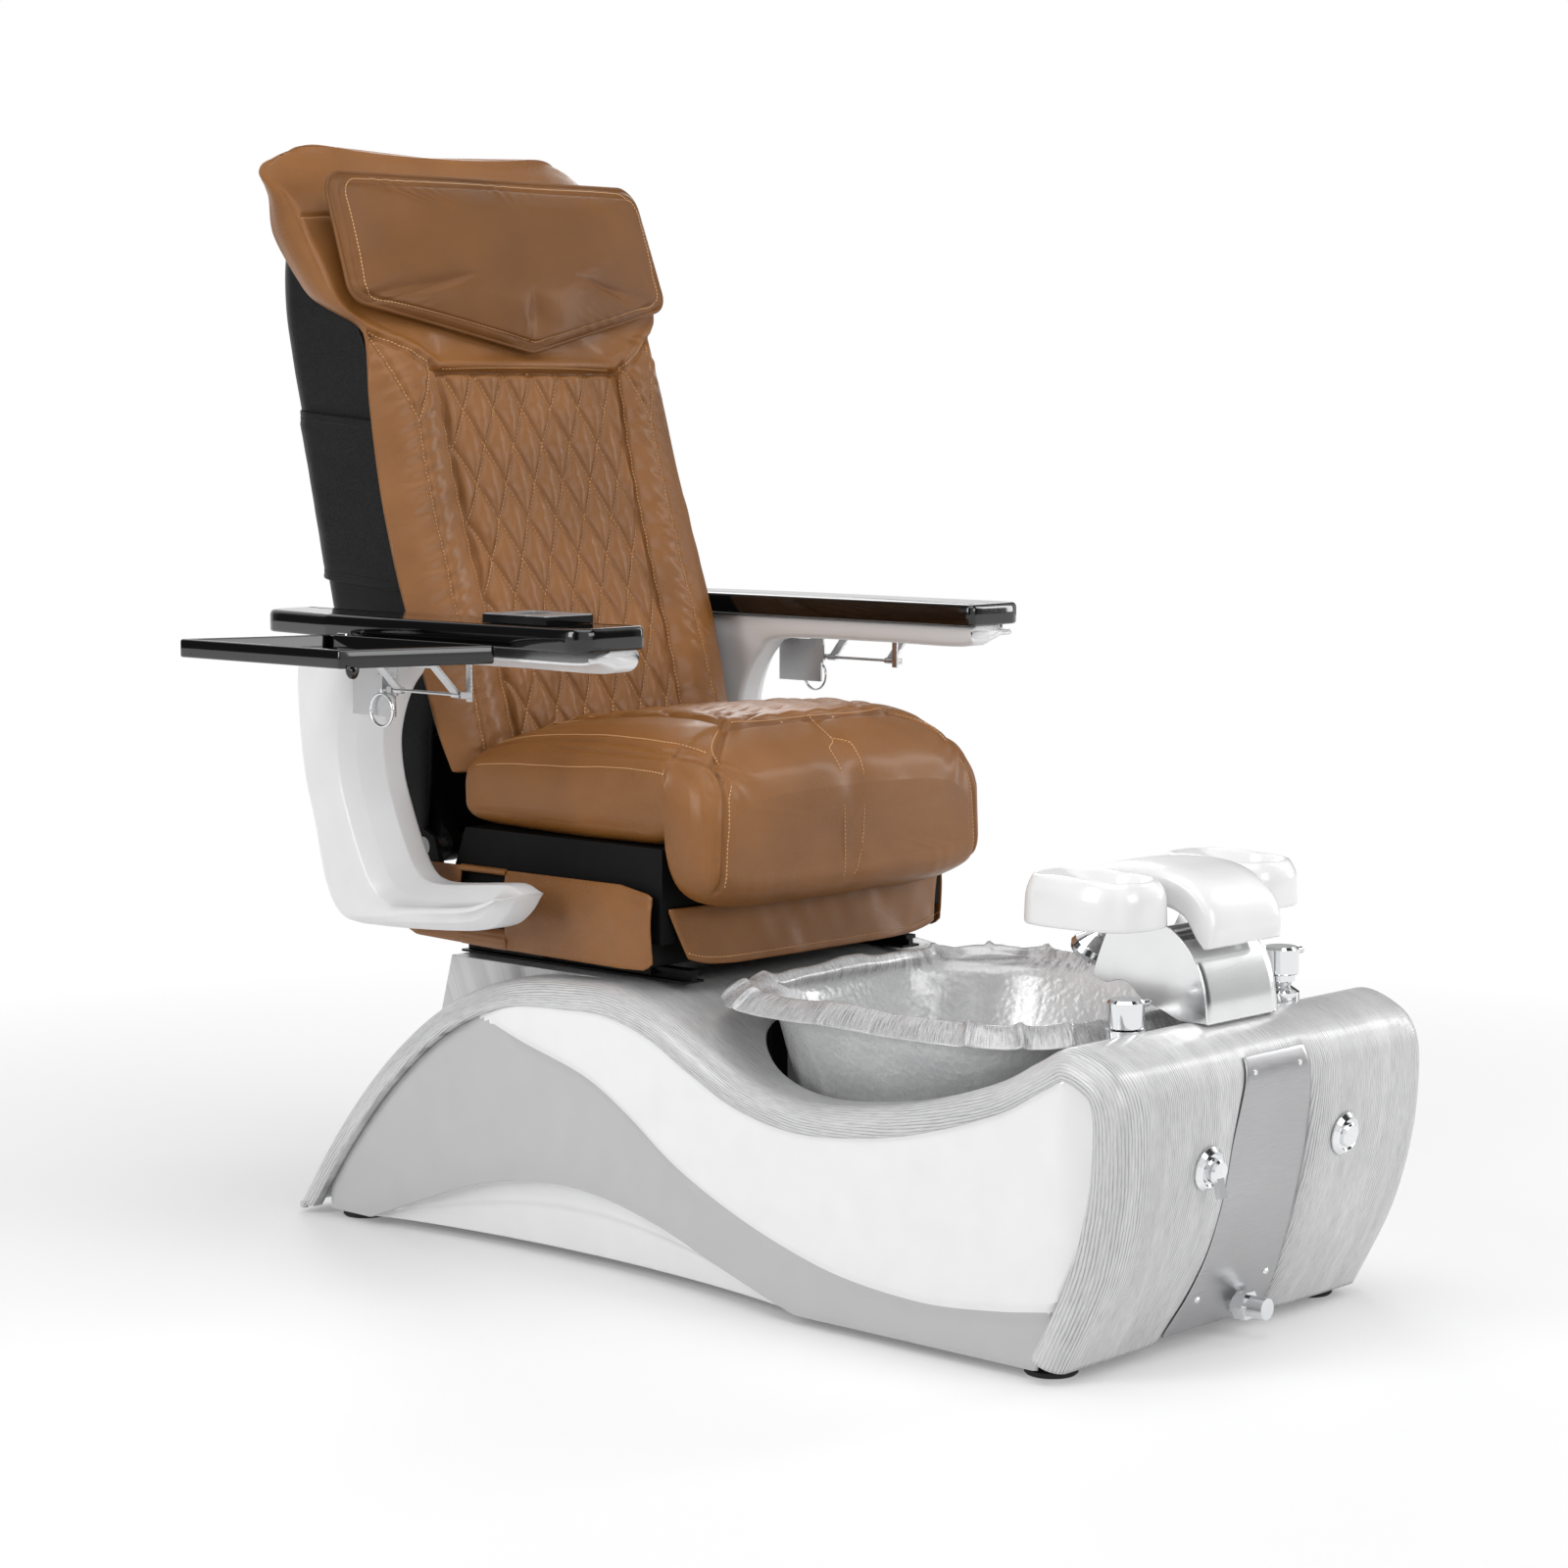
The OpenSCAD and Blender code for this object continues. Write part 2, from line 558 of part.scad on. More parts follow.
// ---------- deck valves, front knob and air button ----------
shank_r = 11;
barrel_r = 17;
knob_r = 14;
valve_z = deck_z(valve_y - valve_r - 1) + seat_gap;
module shank() {
  translate([0, 0, -46]) cylinder(h = 46, r = shank_r);
  translate([0, 0, -38]) cylinder(h = 8, r = shank_r + 6, $fn = 6);
}
collar_h = 8;
left_collar_h = 30;
module valve_collars() {
  color("silver") {
    for (s = [-1, 1]) translate([s * valve_x, valve_y, valve_z]) shank();
    for (s = [-1, 1]) difference() {
      translate([s * valve_x, valve_y, valve_z - 34]) cylinder(h = 34, r = valve_r + 1);
      across(s * valve_x - 40, s * valve_x + 40)
        polygon(concat([for (y = [valve_y - 40:8:valve_y + 40]) [y, deck_z(y) + 3 * seat_gap]],
            [[valve_y + 40, 250], [valve_y - 40, 250]]));
    }
    translate([-valve_x, valve_y, valve_z]) rotate_extrude()
      polygon([[0, 0], [valve_r + 1, 0], [valve_r + 1, 2], [6, 3], [6, collar_h - 4 + valve_h / 2], [0,
          collar_h - 4 + valve_h / 2]]);
    translate([valve_x, valve_y, valve_z]) rotate_extrude()
      polygon([[0, 0], [valve_r + 1, 0], [valve_r + 1, 9], [valve_r - 3, 12], [valve_r - 9, 16],
          [valve_r - 8, 20],
          [valve_r - 4, 22], [valve_r - 4, left_collar_h - 1], [6, left_collar_h - 1], [6,
              left_collar_h + valve_h / 2], [0, left_collar_h + valve_h / 2]]);
  }
}
module valve_knob(x, lift) {
  color("silver") translate([x, valve_y, valve_z + lift]) {
    difference() {
      rotate_extrude() polygon([[6 + run_gap, 0], [valve_r - 1, 0], [valve_r, 1], [valve_r, valve_h - 3],
          [valve_r - 3, valve_h],
          [0, valve_h], [0, valve_h / 2 + 1], [6 + run_gap, valve_h / 2 + 1]]);
    }
    translate([valve_r - 4, 0, valve_h * 0.72]) rotate([0, 90, 0]) cylinder(h = 24, r = 4);
    translate([valve_r + 19, 0, valve_h * 0.72]) rotate([0, 90, 0]) cylinder(h = 4, r1 = 4, r2 = 2.5);
  }
}
module valve_knob_right() { valve_knob(-valve_x, 3.5); }
module valve_knob_left() { valve_knob(valve_x, left_collar_h); }

// Frame of a fitting on the front face: Z points out of the face.
module on_nose_face(x) {
  translate([x, nose_y(button_z) - seat_gap - 0.7, button_z]) rotate([90 - nose_tilt(button_z), 0, 0])
      children();
}
module knob_bezels() {
  color("silver") for (x = [-button_x, button_x]) on_nose_face(x) rotate_extrude()
    polygon([[knob_r + run_gap, -32], [barrel_r, -32], [barrel_r, 0], [bezel_r, 0], [bezel_r, 2],
        [bezel_r - 4, 6],
        [bezel_r - 6, 7], [bezel_r - 8, 5], [knob_r + run_gap, 5]]);
}
module drain_knob() {
  color("silver") on_nose_face(-button_x) {
    rotate_extrude() polygon([[0, -30], [knob_r, -30], [knob_r, 14], [knob_r - 2, 17], [0, 18]]);
    translate([0, -6, 12]) rotate([-22, 0, 0]) translate([-6, -24, -2]) cube([12, 26, 7]);
  }
}
module air_button() {
  color("silver") on_nose_face(button_x) rotate_extrude()
    polygon([[0, -24], [knob_r, -24], [knob_r, 9], [knob_r - 1.5, 10.5], [0, 11]]);
}

// ---------- footrest ----------
plate_side = [[-664, 0], [-661, 30], [-652, 60], [-636, 84], [-612, 103], [-585, 110], [-546, 108], [-527,
    98],
  [-518, 80], [-505, 44], [-510, 36], [-524, 33], [-540, 37], [-553, 36], [-562, 29], [-575, 18], [-600,
      10], [-625, 0]];
nose_side = [[-664, 0], [-661, 30], [-652, 60], [-636, 84], [-622, 96]];
bracket_z = front_h + seat_gap + 0.5;
module bracket_plate() { translate([0, bracket_z]) polygon(plate_side); }
module footrest_bracket() {
  inner = inset_list_back(nose_side, bracket_t);
  color("silver") difference() {
    union() {
      for (s = [-1, 1]) difference() {
        across(s > 0 ? bracket_w - bracket_t : -bracket_w, s > 0 ? bracket_w : -bracket_w + bracket_t)
            bracket_plate();
        translate([0, -548, bracket_z + 42]) rotate([0, 90, 0]) cylinder(h = 200, r = 4, center = true);
      }
      across(-bracket_w + bracket_t - eps, bracket_w - bracket_t + eps) translate([0, bracket_z])
          polygon(concat(nose_side, reversed(inner)));
      across(-bracket_w + bracket_t - eps, bracket_w - bracket_t + eps)
        polygon([for (p = [[30, 52], [36, 52], [42, 88], [36, 88]]) [axle_y + p.x, bracket_z + p.y]]);
      for (s = [-1, 1]) translate([s * (bracket_w - bracket_t) - (s > 0 ? 22 : 0), -650, bracket_z])
          cube([22, 26, 3]);
    }
    rod_x(-80, 80, axle_y, axle_z, axle_r + run_gap);
    translate([0, -600, bracket_z + 112]) rotate([90, 0, 0]) cylinder(h = 80, r = 34);
  }
}
function inset_list_back(c, d) = [for (i = [0:len(c) - 1]) c[i] + d * curve_normal(c, i)];

module footrest_axle() {
  color("silver") difference() {
    rod_x(-saddle_w + 2, saddle_w - 2, axle_y, axle_z, axle_r);
    rod_x(-saddle_w, saddle_w, axle_y, axle_z, 2);
  }
}
// Saddle: a padded block that rolls over the nose. Its outline over the top and its underside run from
// the front lip to the rear, each as distances from the axle: out, up.
saddle_over = [[-93, -4], [-97, 16], [-89, 43], [-65, 68], [-30, 81], [15, 83], [60, 79], [97, 68], [105,
    58]];
saddle_under = [[-82, -6], [-76, -1], [-66, 8], [-52, 26], [-28, 35], [15, 39], [60, 41], [94, 44], [103,
    50]];
saddle_n = 28;
saddle_square = 6.5;
function saddle_ring(over, under) = [for (k = [0:saddle_n - 1])
    let (p = squircle(360 * k / saddle_n, saddle_w, 1, saddle_square), at = mix(under, over, (p.y + 1) / 2))
    [-p.x, axle_y + at.x, axle_z + at.y]];
module footrest_saddle() {
  color("white") {
    ring_solid([for (j = [0:len(saddle_over) - 1]) saddle_ring(saddle_over[j], saddle_under[j])]);
    for (s = [-1, 1]) difference() {
      translate([s * (saddle_w - 6 - 4) - 4, axle_y - 14, axle_z - 13]) cube([8, 28, 56]);
      rod_x(-saddle_w, saddle_w, axle_y, axle_z, axle_r + run_gap);
    }
  }
}
pad_mid = (saddle_w + pads_w) / 2 - 0.2;
pad_half = (pads_w - saddle_w) / 2 - 0.5;
pad_front = -632;
pad_rear = -472;
// A ring of a foot pad: share of its size, height, how far it moves to the front, rise to the rear.
function pad_ring(size, z, shift, rise) = [for (k = [0:27])
    let (p = squircle(360 * k / 28, pad_half * size, (pad_rear - pad_front) / 2 * (1 - (1 - size) * 0.8),
        3.6))
    [p.x, p.y + (pad_front + pad_rear) / 2 - shift, z + rise * (p.y + 80) / 160]];
module footrest_pad() {
  z = pads_z;
  translate([pad_mid, 0, 0]) ring_solid([pad_ring(0.96, z, 0, 0), pad_ring(1, z + 5, 0, 0), pad_ring(1,
      z + pads_h * 0.45, 0, 2),
      pad_ring(0.97, z + pads_h * 0.66, 0, 5), pad_ring(0.9, z + pads_h * 0.81, 0, 7), pad_ring(0.78,
          z + pads_h * 0.87, 1, 8),
      pad_ring(0.62, z + pads_h * 0.84, 5, 7), pad_ring(0.42, z + pads_h * 0.72, 12, 6), pad_ring(0.2,
          z + pads_h * 0.66, 15, 3)]);
}
module footrest_pads() { color("white") for (left = [true, false]) mirrored(left) footrest_pad(); }

// ---------- spray head ----------
spray_y = -452;
spray_z = bracket_z + 51.2;
spray_tilt = 28;
spray_stem = 38;
module on_spray() { translate([0, spray_y, spray_z]) rotate([spray_tilt, 0, 0]) children(); }
module spray_head() {
  color("silver") on_spray() rotate_extrude()
    polygon([[0, -2], [27, -2], [29, 1], [30, 6], [27, 13], [18, 22], [11, 27], [8, 30], [8, 32], [7, 32],
        [7, 32 + spray_stem], [0, 32 + spray_stem]]);
}
module spray_holder() {
  color("silver") on_spray() {
    rotate_extrude() polygon([[7 + run_gap, 34], [12, 34], [14, 38], [12, 50], [10, 58], [7 + run_gap, 58]]);
    translate([-9, -68.3, 44]) cube([18, 60.3, 8]);
  }
}

// ---------- slide rails and carriage ----------
rail_z = deck_h + seat_gap;
rail_y0 = 0;
rail_h = 16;
module slide_rails() {
  color("gray") for (s = [-1, 1]) translate([s * rail_x, rail_y0 + rail_l, rail_z]) rotate([90, 0, 0])
      linear_extrude(rail_l)
    polygon([[-16, 0], [16, 0], [16, 3], [4, 3], [4, 11], [9, 11], [9, rail_h], [-9, rail_h], [-9, 11],
        [-4, 11], [-4, 3], [-16, 3]]);
}
runner_y = [60, 250];
module slide_carriage() {
  color("dimgray") {
    for (s = [-1, 1]) for (y = runner_y) translate([s * rail_x, y + 90, rail_z]) rotate([90, 0, 0])
        linear_extrude(90)
      polygon([[-15, 6], [-5, 6], [-5, 10.4], [-9.6, 10.4], [-9.6, rail_h + 0.4], [9.6, rail_h + 0.4],
          [9.6, 10.4], [5, 10.4],
          [5, 6], [15, 6], [15, rail_h + 5], [-15, rail_h + 5]]);
    difference() {
      translate([-side_x + 6, 30, rail_z + rail_h + 5]) cube([2 * side_x - 12, 362, 5]);
      translate([-120, 110, rail_z]) cube([240, 180, 40]);
    }
  }
}
plate_z = rail_z + rail_h + 10;

// ---------- seat frame, pan and cushion ----------
side_x = 256;
tube = 26;
module seat_frame() {
  side = [[40, plate_z], [435, plate_z], [446, hinge_z - 8], [440, hinge_z + 14], [420, hinge_z + 22],
      [400, hinge_z + 14],
    [384, 470], [330, 462], [270, 462], [240, 440], [40, 440]];
  color("black") {
    for (s = [-1, 1]) translate([s > 0 ? side_x - tube : -side_x, 20, plate_z]) cube([tube, 390, tube]);
    for (y = [20, 374]) translate([-side_x + tube / 2, y, plate_z]) cube([2 * side_x - tube, tube, tube]);
    for (s = [-1, 1]) difference() {
      across(s > 0 ? side_x - 1 : -side_x - 6, s > 0 ? side_x + 6 : -side_x + 1) polygon(side);
      rod_x(-300, 300, hinge_y, hinge_z, hinge_r);
      rod_x(-300, 300, pivot_y, pivot_z, pivot_r + run_gap);
    }
  }
}
pivot_end = arm_out - 24;
module arm_pivots() {
  color("black") for (s = [-1, 1]) mirrored(s > 0) {
    rod_x(-pivot_end, -side_x + 8, pivot_y, pivot_z, pivot_r);
    rod_x(-arm_in + 0.6, -side_x - 6 - seat_gap, pivot_y, pivot_z, pivot_r + 6);
    rod_x(-side_x + 1 + seat_gap, -side_x + 8, pivot_y, pivot_z, pivot_r + 6);
  }
}
module recline_shaft() { color("silver") rod_x(-side_x - 5, side_x + 5, hinge_y, hinge_z,
    hinge_r - run_gap); }
module recline_motor() {
  color("dimgray") difference() {
    union() {
      rod_x(-70, -17, hinge_y - 4, hinge_z - 42, 24);
      translate([-18, hinge_y - 26, hinge_z - 66]) cube([34, 44, 84]);
      translate([-72, 376, plate_z + tube]) cube([90, 22, hinge_z - 66 - plate_z - tube + 4]);
    }
    rod_x(-40, 40, hinge_y, hinge_z, hinge_r + run_gap);
  }
}
module seat_pan() {
  z0 = plate_z + tube + seat_gap;
  z1 = seat_under - seat_gap;
  y0 = skirt_front_y + skirt_t + 14 + seat_gap;
  w = side_x - 1 - seat_gap;
  color("black") difference() {
    across(-w, w) polygon([[y0, z0], [368, z0], [368, 480], [348, z1], [y0, z1]]);
    across(-w + 8, w - 8) polygon([[y0 + 8, z0 - 1], [345, z0 - 1], [345, z1 - 8], [y0 + 8, z1 - 8]]);
    rod_x(-w - 1, w + 1, pivot_y, pivot_z, pivot_r + 8);
  }
}

cushion_n = 28;
// Rows of the cushion: y, underside, top, half-width.
cushion_rows = [[seat_front, 492, 608, 205], [seat_front + 4, 474, 630, 234], [seat_front + 14, 463,
    seat_top - 12, 250],
  [seat_front + 32, 460, seat_top - 2, 257], [-22, 464, seat_top, 261], [-3, 474, seat_top - 1, 263],
      [-0.5, seat_under + 1, seat_top - 1, 263],
  [60, seat_under, seat_top - 4, 265], [140, seat_under, seat_top - 12, seat_w], [220, seat_under, 644,
      seat_w],
  [300, seat_under, 624, 265], [seat_rear - 10, seat_under + 2, 606, 262], [seat_rear, seat_under + 14,
      590, 254]];
function cushion_ring(r) = [for (k = [0:cushion_n - 1])
    let (a = 360 * k / cushion_n, p = squircle(a, r[3], (r[2] - r[1]) / 2, 6))
    [-p.x, r[0], (r[1] + r[2]) / 2 + p.y + (p.y > 0 ? 8 * (1 - pow(p.x / r[3], 2)) - 8 : 0)]];
module seat_cushion() { color("peru") ring_solid([for (r = cushion_rows) cushion_ring(r)]); }

// ---------- skirts ----------
skirt_x = side_x + 6 + seat_gap;
skirt_curve = spline([[462, skirt_z + 22], [440, skirt_z + 3], [300, skirt_z], [60, skirt_z - 2], [34,
    skirt_z + 2], [22, skirt_z + 22]], 3);
module side_skirt() {
  window = [[262, 345], [skirt_z + 24, 478]];
  color("peru") difference() {
    across(-skirt_x - skirt_t, -skirt_x)
      polygon(concat(skirt_curve, [[14, skirt_top - 14], [4, skirt_top - 22], [4, skirt_top - 2], [60,
          skirt_top + 2], [400, skirt_top], [452, skirt_top - 14]]));
    translate([-skirt_x - skirt_t - 1, window[0][0], window[1][0]])
      cube([skirt_t + 2, window[0][1] - window[0][0], window[1][1] - window[1][0]]);
  }
}
module skirt_right() { side_skirt(); }
module skirt_left() { mirrored(true) side_skirt(); }
skirt_front_y = -18;
module skirt_front() {
  n = 12;
  function row(v, off) = [for (i = [0:n]) let (u = 2 * i / n - 1, w = mix(226, 244, v),
      z = mix(skirt_z + 2 + 14 * pow(abs(u), 8), 456, v)) [u * w, skirt_front_y + 8 * pow(abs(u),
          4) + off + 6 * v, z]];
  color("peru") grid_solid([for (j = [0:4]) row(j / 4, 0)], [for (j = [0:4]) row(j / 4, skirt_t)]);
}

// ---------- back ----------
// Front face of the pad along the middle, Y and Z.
pad_knots = [[352, 606], [372, 660], [402, 760], [437, 860], [468, 960], [492, 1060], [514, 1147]];
pad_curve = spline(pad_knots, 4);
pad_table = [for (p = pad_curve) [p.y, p.x]];
function pad_y(z) = lookup(z, pad_table);
pad_t = 36;
pad_cols = 22;
pad_rows_n = len(pad_curve) - 1;
function pad_u(i) = i <= 3 ? mix(-1, -quilt_w / pad_w, i / 3) : i >= pad_cols - 3 ? mix(quilt_w / pad_w,
    1, (i - pad_cols + 3) / 3)
  : mix(-quilt_w / pad_w, quilt_w / pad_w, (i - 3) / (pad_cols - 6));
function pad_half(z) = pad_w - 8 * ease((700 - z) / 100) - 16 * ease((z - 1080) / 60);
quilt_step = 4;
quilt_rise = 6;
function quilt(i, j) = let (a = (i - 3 + j * quilt_step / quilt_rise) / quilt_step,
    b = (i - 3 - j * quilt_step / quilt_rise) / quilt_step)
  5 * min(1, 2.4 * min(abs(a - round(a)), abs(b - round(b))) * 2);
module back_pad() {
  function front_of(i, j) = let (z = pad_curve[j].y, u = pad_u(i), inside = i > 3 && i < pad_cols - 3,
      seam = (i == 3 || i == pad_cols - 3), side = max(0, abs(u) - quilt_w / pad_w) / (1 - quilt_w / pad_w),
      bolster = 16 * sin(180 * clamp01(side)) - 20 * pow(side, 3),
      puff = inside && z < 1096 ? quilt(i, j) : 0)
    [u * pad_half(z), pad_y(z) - bolster - puff + (seam ? 3 : 0), z];
  function back_of(i, j) = let (z = pad_curve[j].y, u = pad_u(i))
    [u * pad_half(z), pad_y(z) + pad_t, z];
  color("peru") grid_solid([for (j = [0:pad_rows_n]) [for (i = [0:pad_cols]) front_of(i, j)]],
    [for (j = [0:pad_rows_n]) [for (i = [0:pad_cols]) back_of(i, j)]]);
}

// Head wings: a padded sheet that leans further back than the pad and rolls over the shell.
wing_rows = [[1147.3, 514, 256, 36], [1164, 528, 278, 38], [1184, 546, 294, 42], [1220, 566, 301, 50],
    [1260, 590, 303, 56],
  [1300, 616, 302, 60], [1340, 644, 299, 60], [back_top - 18, 664, 294, 52], [back_top - 4, 678, 286, 36],
      [back_top + 4, 692, 276, 22]];
// Front face of the wings at a height, along the middle.
function wing_y(z) = lookup(z, [for (r = wing_rows) [r[0], r[1]]]);
module head_wings() {
  n = 16;
  function row(r, t) = [for (i = [0:n]) let (u = 2 * i / n - 1, e = 1 - ease((abs(u) - 0.87) / 0.13),
      high = ease((r[0] - 1330) / 56))
      [u * r[2], r[1] + (t > 0 ? mix(12, r[3], e) : -6 * (1 - u * u) + 6 * (1 - e)),
        r[0] - high * (14 * (1 - pow(abs(u), 3)) + 22 * pow(abs(u), 10))]];
  color("peru") grid_solid([for (r = wing_rows) row(r, 0)], [for (r = wing_rows) row(r, 1)]);
}

// Head pillow: a shield with a point at the bottom middle.
module head_pillow() {
  n = 18;
  m = 9;
  function low(x) = 1128 + 63 * pow(abs(x) / pillow_w, 1.05);
  function high(x) = 1354 - 6 * pow(x / pillow_w, 2);
  function pt(i, j, front) = let (u = 2 * i / n - 1, v = j / m, x = u * mix(pillow_w, pillow_w - 8, v),
      corner = 16 * pow(abs(u), 14) * (v > 0.5 ? -1 : 0.4) * pow(abs(2 * v - 1), 6),
      z = mix(low(x), high(x), v) + corner,
      dome = pow(max(0, 1 - pow(abs(u), 5)), 0.5) * pow(max(0, sin(180 * mix(0.04, 0.96, v))), 0.55),
      mid = mix(508, 586, clamp01((z - 1128) / 220)) - 12 * (1 - u * u) * (1 - v),
      space = max(2, (z < wing_rows[0][0] ? pad_y(z) - 13 : wing_y(z) - (z < wing_rows[1][0] ? 9
          : 6)) - mid - seat_gap - 0.7))
    [x, front ? mid - 4 - (pillow_t / 2 - 4) * dome : mid + min(6, space - 1) + max(0, space - 6) * dome, z];
  color("peru") grid_solid([for (j = [0:m]) [for (i = [0:n]) pt(i, j, true)]], [for (j = [0:m])
      [for (i = [0:n]) pt(i, j, false)]]);
}

// Back shell: a deep tray with soft corners. Rows: height, front edge, rear face, half-width.
function pad_back(z) = pad_y(z) + pad_t + seat_gap;
function wing_back(z) = lookup(z, [for (r = wing_rows) [r[0], r[1] + r[3]]]) + seat_gap;
function rear_face(z) = lookup(z, [[640, 596], [700, 606], [800, 632], [960, 668], [1098, 704], [1180,
    722], [1240, 730], [1285, 731]]);
function pad_row(z) = [z, pad_back(z), rear_face(z), shell_w];
function wing_row(z, half) = [z, wing_back(z) + 2 * seat_gap, rear_face(z), half];
shell_rows = concat([[486, 457, 512, 243], [500, 441, 540, 245], [560, 430, 570, 247], [640, 424, 596, 248]],
  [for (z = [700, 760, 810, 860, 910, 960, 1010, 1060, 1098]) pad_row(z)],
  [wing_row(1180, 248), wing_row(1192, 247.5), wing_row(1206, 247), wing_row(1222, 245), wing_row(1240, 242),
    wing_row(1260, 238), wing_row(1285, 232), [1306, 700, 724, 218]]);
shell_corner = 26;
shell_skin = 9;
shell_cols = 12;
// Walks from the +X front edge, round the rear, to the -X front edge.
function shell_point(r, i, inset) =
  let (c = min(shell_corner, (r[2] - r[1]) * 0.8), w = r[3] - inset, rear = r[2] - inset,
      q = max(c - inset, 3),
       side = [w, mix(r[1], rear - q, 0.5)],
       half = concat([[w, r[1]], side], [for (k = [0:3]) [w - q, rear - q] + q * [cos(30 * k),
           sin(30 * k)]], [[0, rear]]),
       p = i <= 6 ? half[i] : [-half[12 - i].x, half[12 - i].y])
  [p.x, p.y, r[0]];
module back_shell() {
  color("black") grid_solid([for (r = shell_rows) [for (i = [0:shell_cols]) shell_point(r, i, 0)]],
    [for (r = shell_rows) [for (i = [0:shell_cols]) shell_point(r, i, shell_skin)]]);
}
function shell_row_at(z) = concat([z], [for (k = [1:3]) lookup(z, [for (r = shell_rows) [r[0],
    r[k]]]) + (k == 1 ? 2 : 0)]);
module wrap_strap() {
  rows = [for (z = [838, 890, 960, 1030, 1052]) shell_row_at(z)];
  color("black") grid_solid([for (r = rows) [for (i = [0:shell_cols]) shell_point(r, i, -4.5) + [0, 1, 0]]],
    [for (r = rows) [for (i = [0:shell_cols]) shell_point(r, i, -0.8) + [0, 1, 0]]]);
}

// Direction of the back, and the line of the massage guides.
guide_y = 506;
guide_z = 690;
guide_l = 430;
module on_guide() { translate([0, guide_y, guide_z]) rotate([-back_lean, 0, 0]) children(); }
guide_x = 96;
bar_x = 214;
bar_w = 18;
clip_x = shell_w - shell_skin - seat_gap;
roller_y = -50;
roller_h = 25;
module back_frame() {
  lug_y = (hinge_y - guide_y) * cos(back_lean) - (hinge_z - guide_z) * sin(back_lean);
  lug_z = (hinge_y - guide_y) * sin(back_lean) + (hinge_z - guide_z) * cos(back_lean);
  color("dimgray") {
    for (s = [-1, 1]) difference() {
      on_guide() union() {
        rod_x(s > 0 ? bar_x : -bar_x - bar_w, s > 0 ? bar_x + bar_w : -bar_x, lug_y, lug_z, 22);
        across(s > 0 ? bar_x : -bar_x - bar_w, s > 0 ? bar_x + bar_w : -bar_x)
          polygon([[lug_y - 16, lug_z + 6], [lug_y + 16, lug_z - 8], [20, -96], [16, 560], [-8, 560],
              [-10, -80]]);
      }
      rod_x(-260, 260, hinge_y, hinge_z, hinge_r + run_gap);
    }
    on_guide() {
      for (s = [-1, 1]) translate([s * guide_x, 0, -56]) cylinder(h = guide_l + 60, r = 7);
      for (h = [-60, guide_l]) translate([-bar_x - 4, -8, h]) cube([2 * bar_x + 8, 20, 24]);
      for (s = [-1, 1]) for (h = [100, guide_l - 50]) translate([s > 0 ? bar_x : -clip_x, -4, h])
          cube([clip_x - bar_x, 12, 24]);
    }
  }
}
module massage_carriage() {
  color("gray") on_guide() difference() {
    union() {
      translate([-118, -16, -18]) cube([236, 34, 86]);
      translate([-60, 12, -8]) cube([120, 34, 66]);
      for (s = [-1, 1]) translate([s * 82 - 5, roller_y - 10, roller_h - 12]) cube([10, 46, 24]);
    }
    for (s = [-1, 1]) translate([s * guide_x, 0, -30]) cylinder(h = 120, r = 7 + run_gap);
    rod_x(-100, 100, roller_y, roller_h, 5 + run_gap);
  }
}
module massage_rollers() {
  color("black") on_guide() {
    rod_x(-94, 94, roller_y, roller_h, 5);
    for (s = [-1, 1]) for (v = [-1, 1]) {
      translate([s * 62 - 3, roller_y - 4, v > 0 ? roller_h : roller_h - 36]) cube([6, 8, 36]);
      rod_x(s * 62 - 11, s * 62 + 11, roller_y - 2, roller_h + v * 36, 15);
    }
  }
}

// ---------- arms ----------
// Outer and inner edges of the C-shaped side view, from the foot tip round to the front of the rail.
rail_under = 744;
arm_under_top = arm_z - top_t - seat_gap;
arm_outer = [for (p = spline([[152, 464], [172, 440], [208, 423], [302, 414], [400, 410], [452, 414],
    [484, 452], [506, 530], [526, 600], [535, 680],
  [533, 740], [505, arm_under_top], [350, arm_under_top], [160, arm_under_top], [0, arm_under_top],
      [arm_front + 10, arm_under_top]], 2)) [p.x, min(p.y, arm_under_top)]];
arm_inner = spline([[154, 472], [176, 479], [212, 477], [290, 470], [325, 472], [346, 484], [364, 512],
    [384, 555], [400, 600], [404, 645],
  [390, 690], [366, 722], [330, rail_under - 3], [160, rail_under], [10, rail_under], [arm_front + 6,
      rail_under + 12]], 2);
function arm_edge(a, b, t) = [for (i = [0:len(a) - 1]) let (d = b[i] - a[i], l = norm(d)) a[i]
    + d * min(t / l, 0.42)];
arm_sections = [[arm_in, 7], [arm_in + 7, 0], [arm_out - 26, 0], [arm_out - 6, 9], [arm_out, 17]];
module arm_frame(left) {
  rows = [for (s = arm_sections) [for (p = arm_edge(arm_outer, arm_inner, s[1])) [-s[0], p.x, p.y]]];
  under = [for (s = arm_sections) [for (p = arm_edge(arm_inner, arm_outer, s[1])) [-s[0], p.x, p.y]]];
  color("white") mirrored(left) difference() {
    grid_solid(rows, under);
    rod_x(-pivot_end - 1, -arm_in + 20, pivot_y, pivot_z, pivot_r + run_gap);
  }
}
module arm_frame_right() { arm_frame(false); }
module arm_frame_left() { arm_frame(true); }

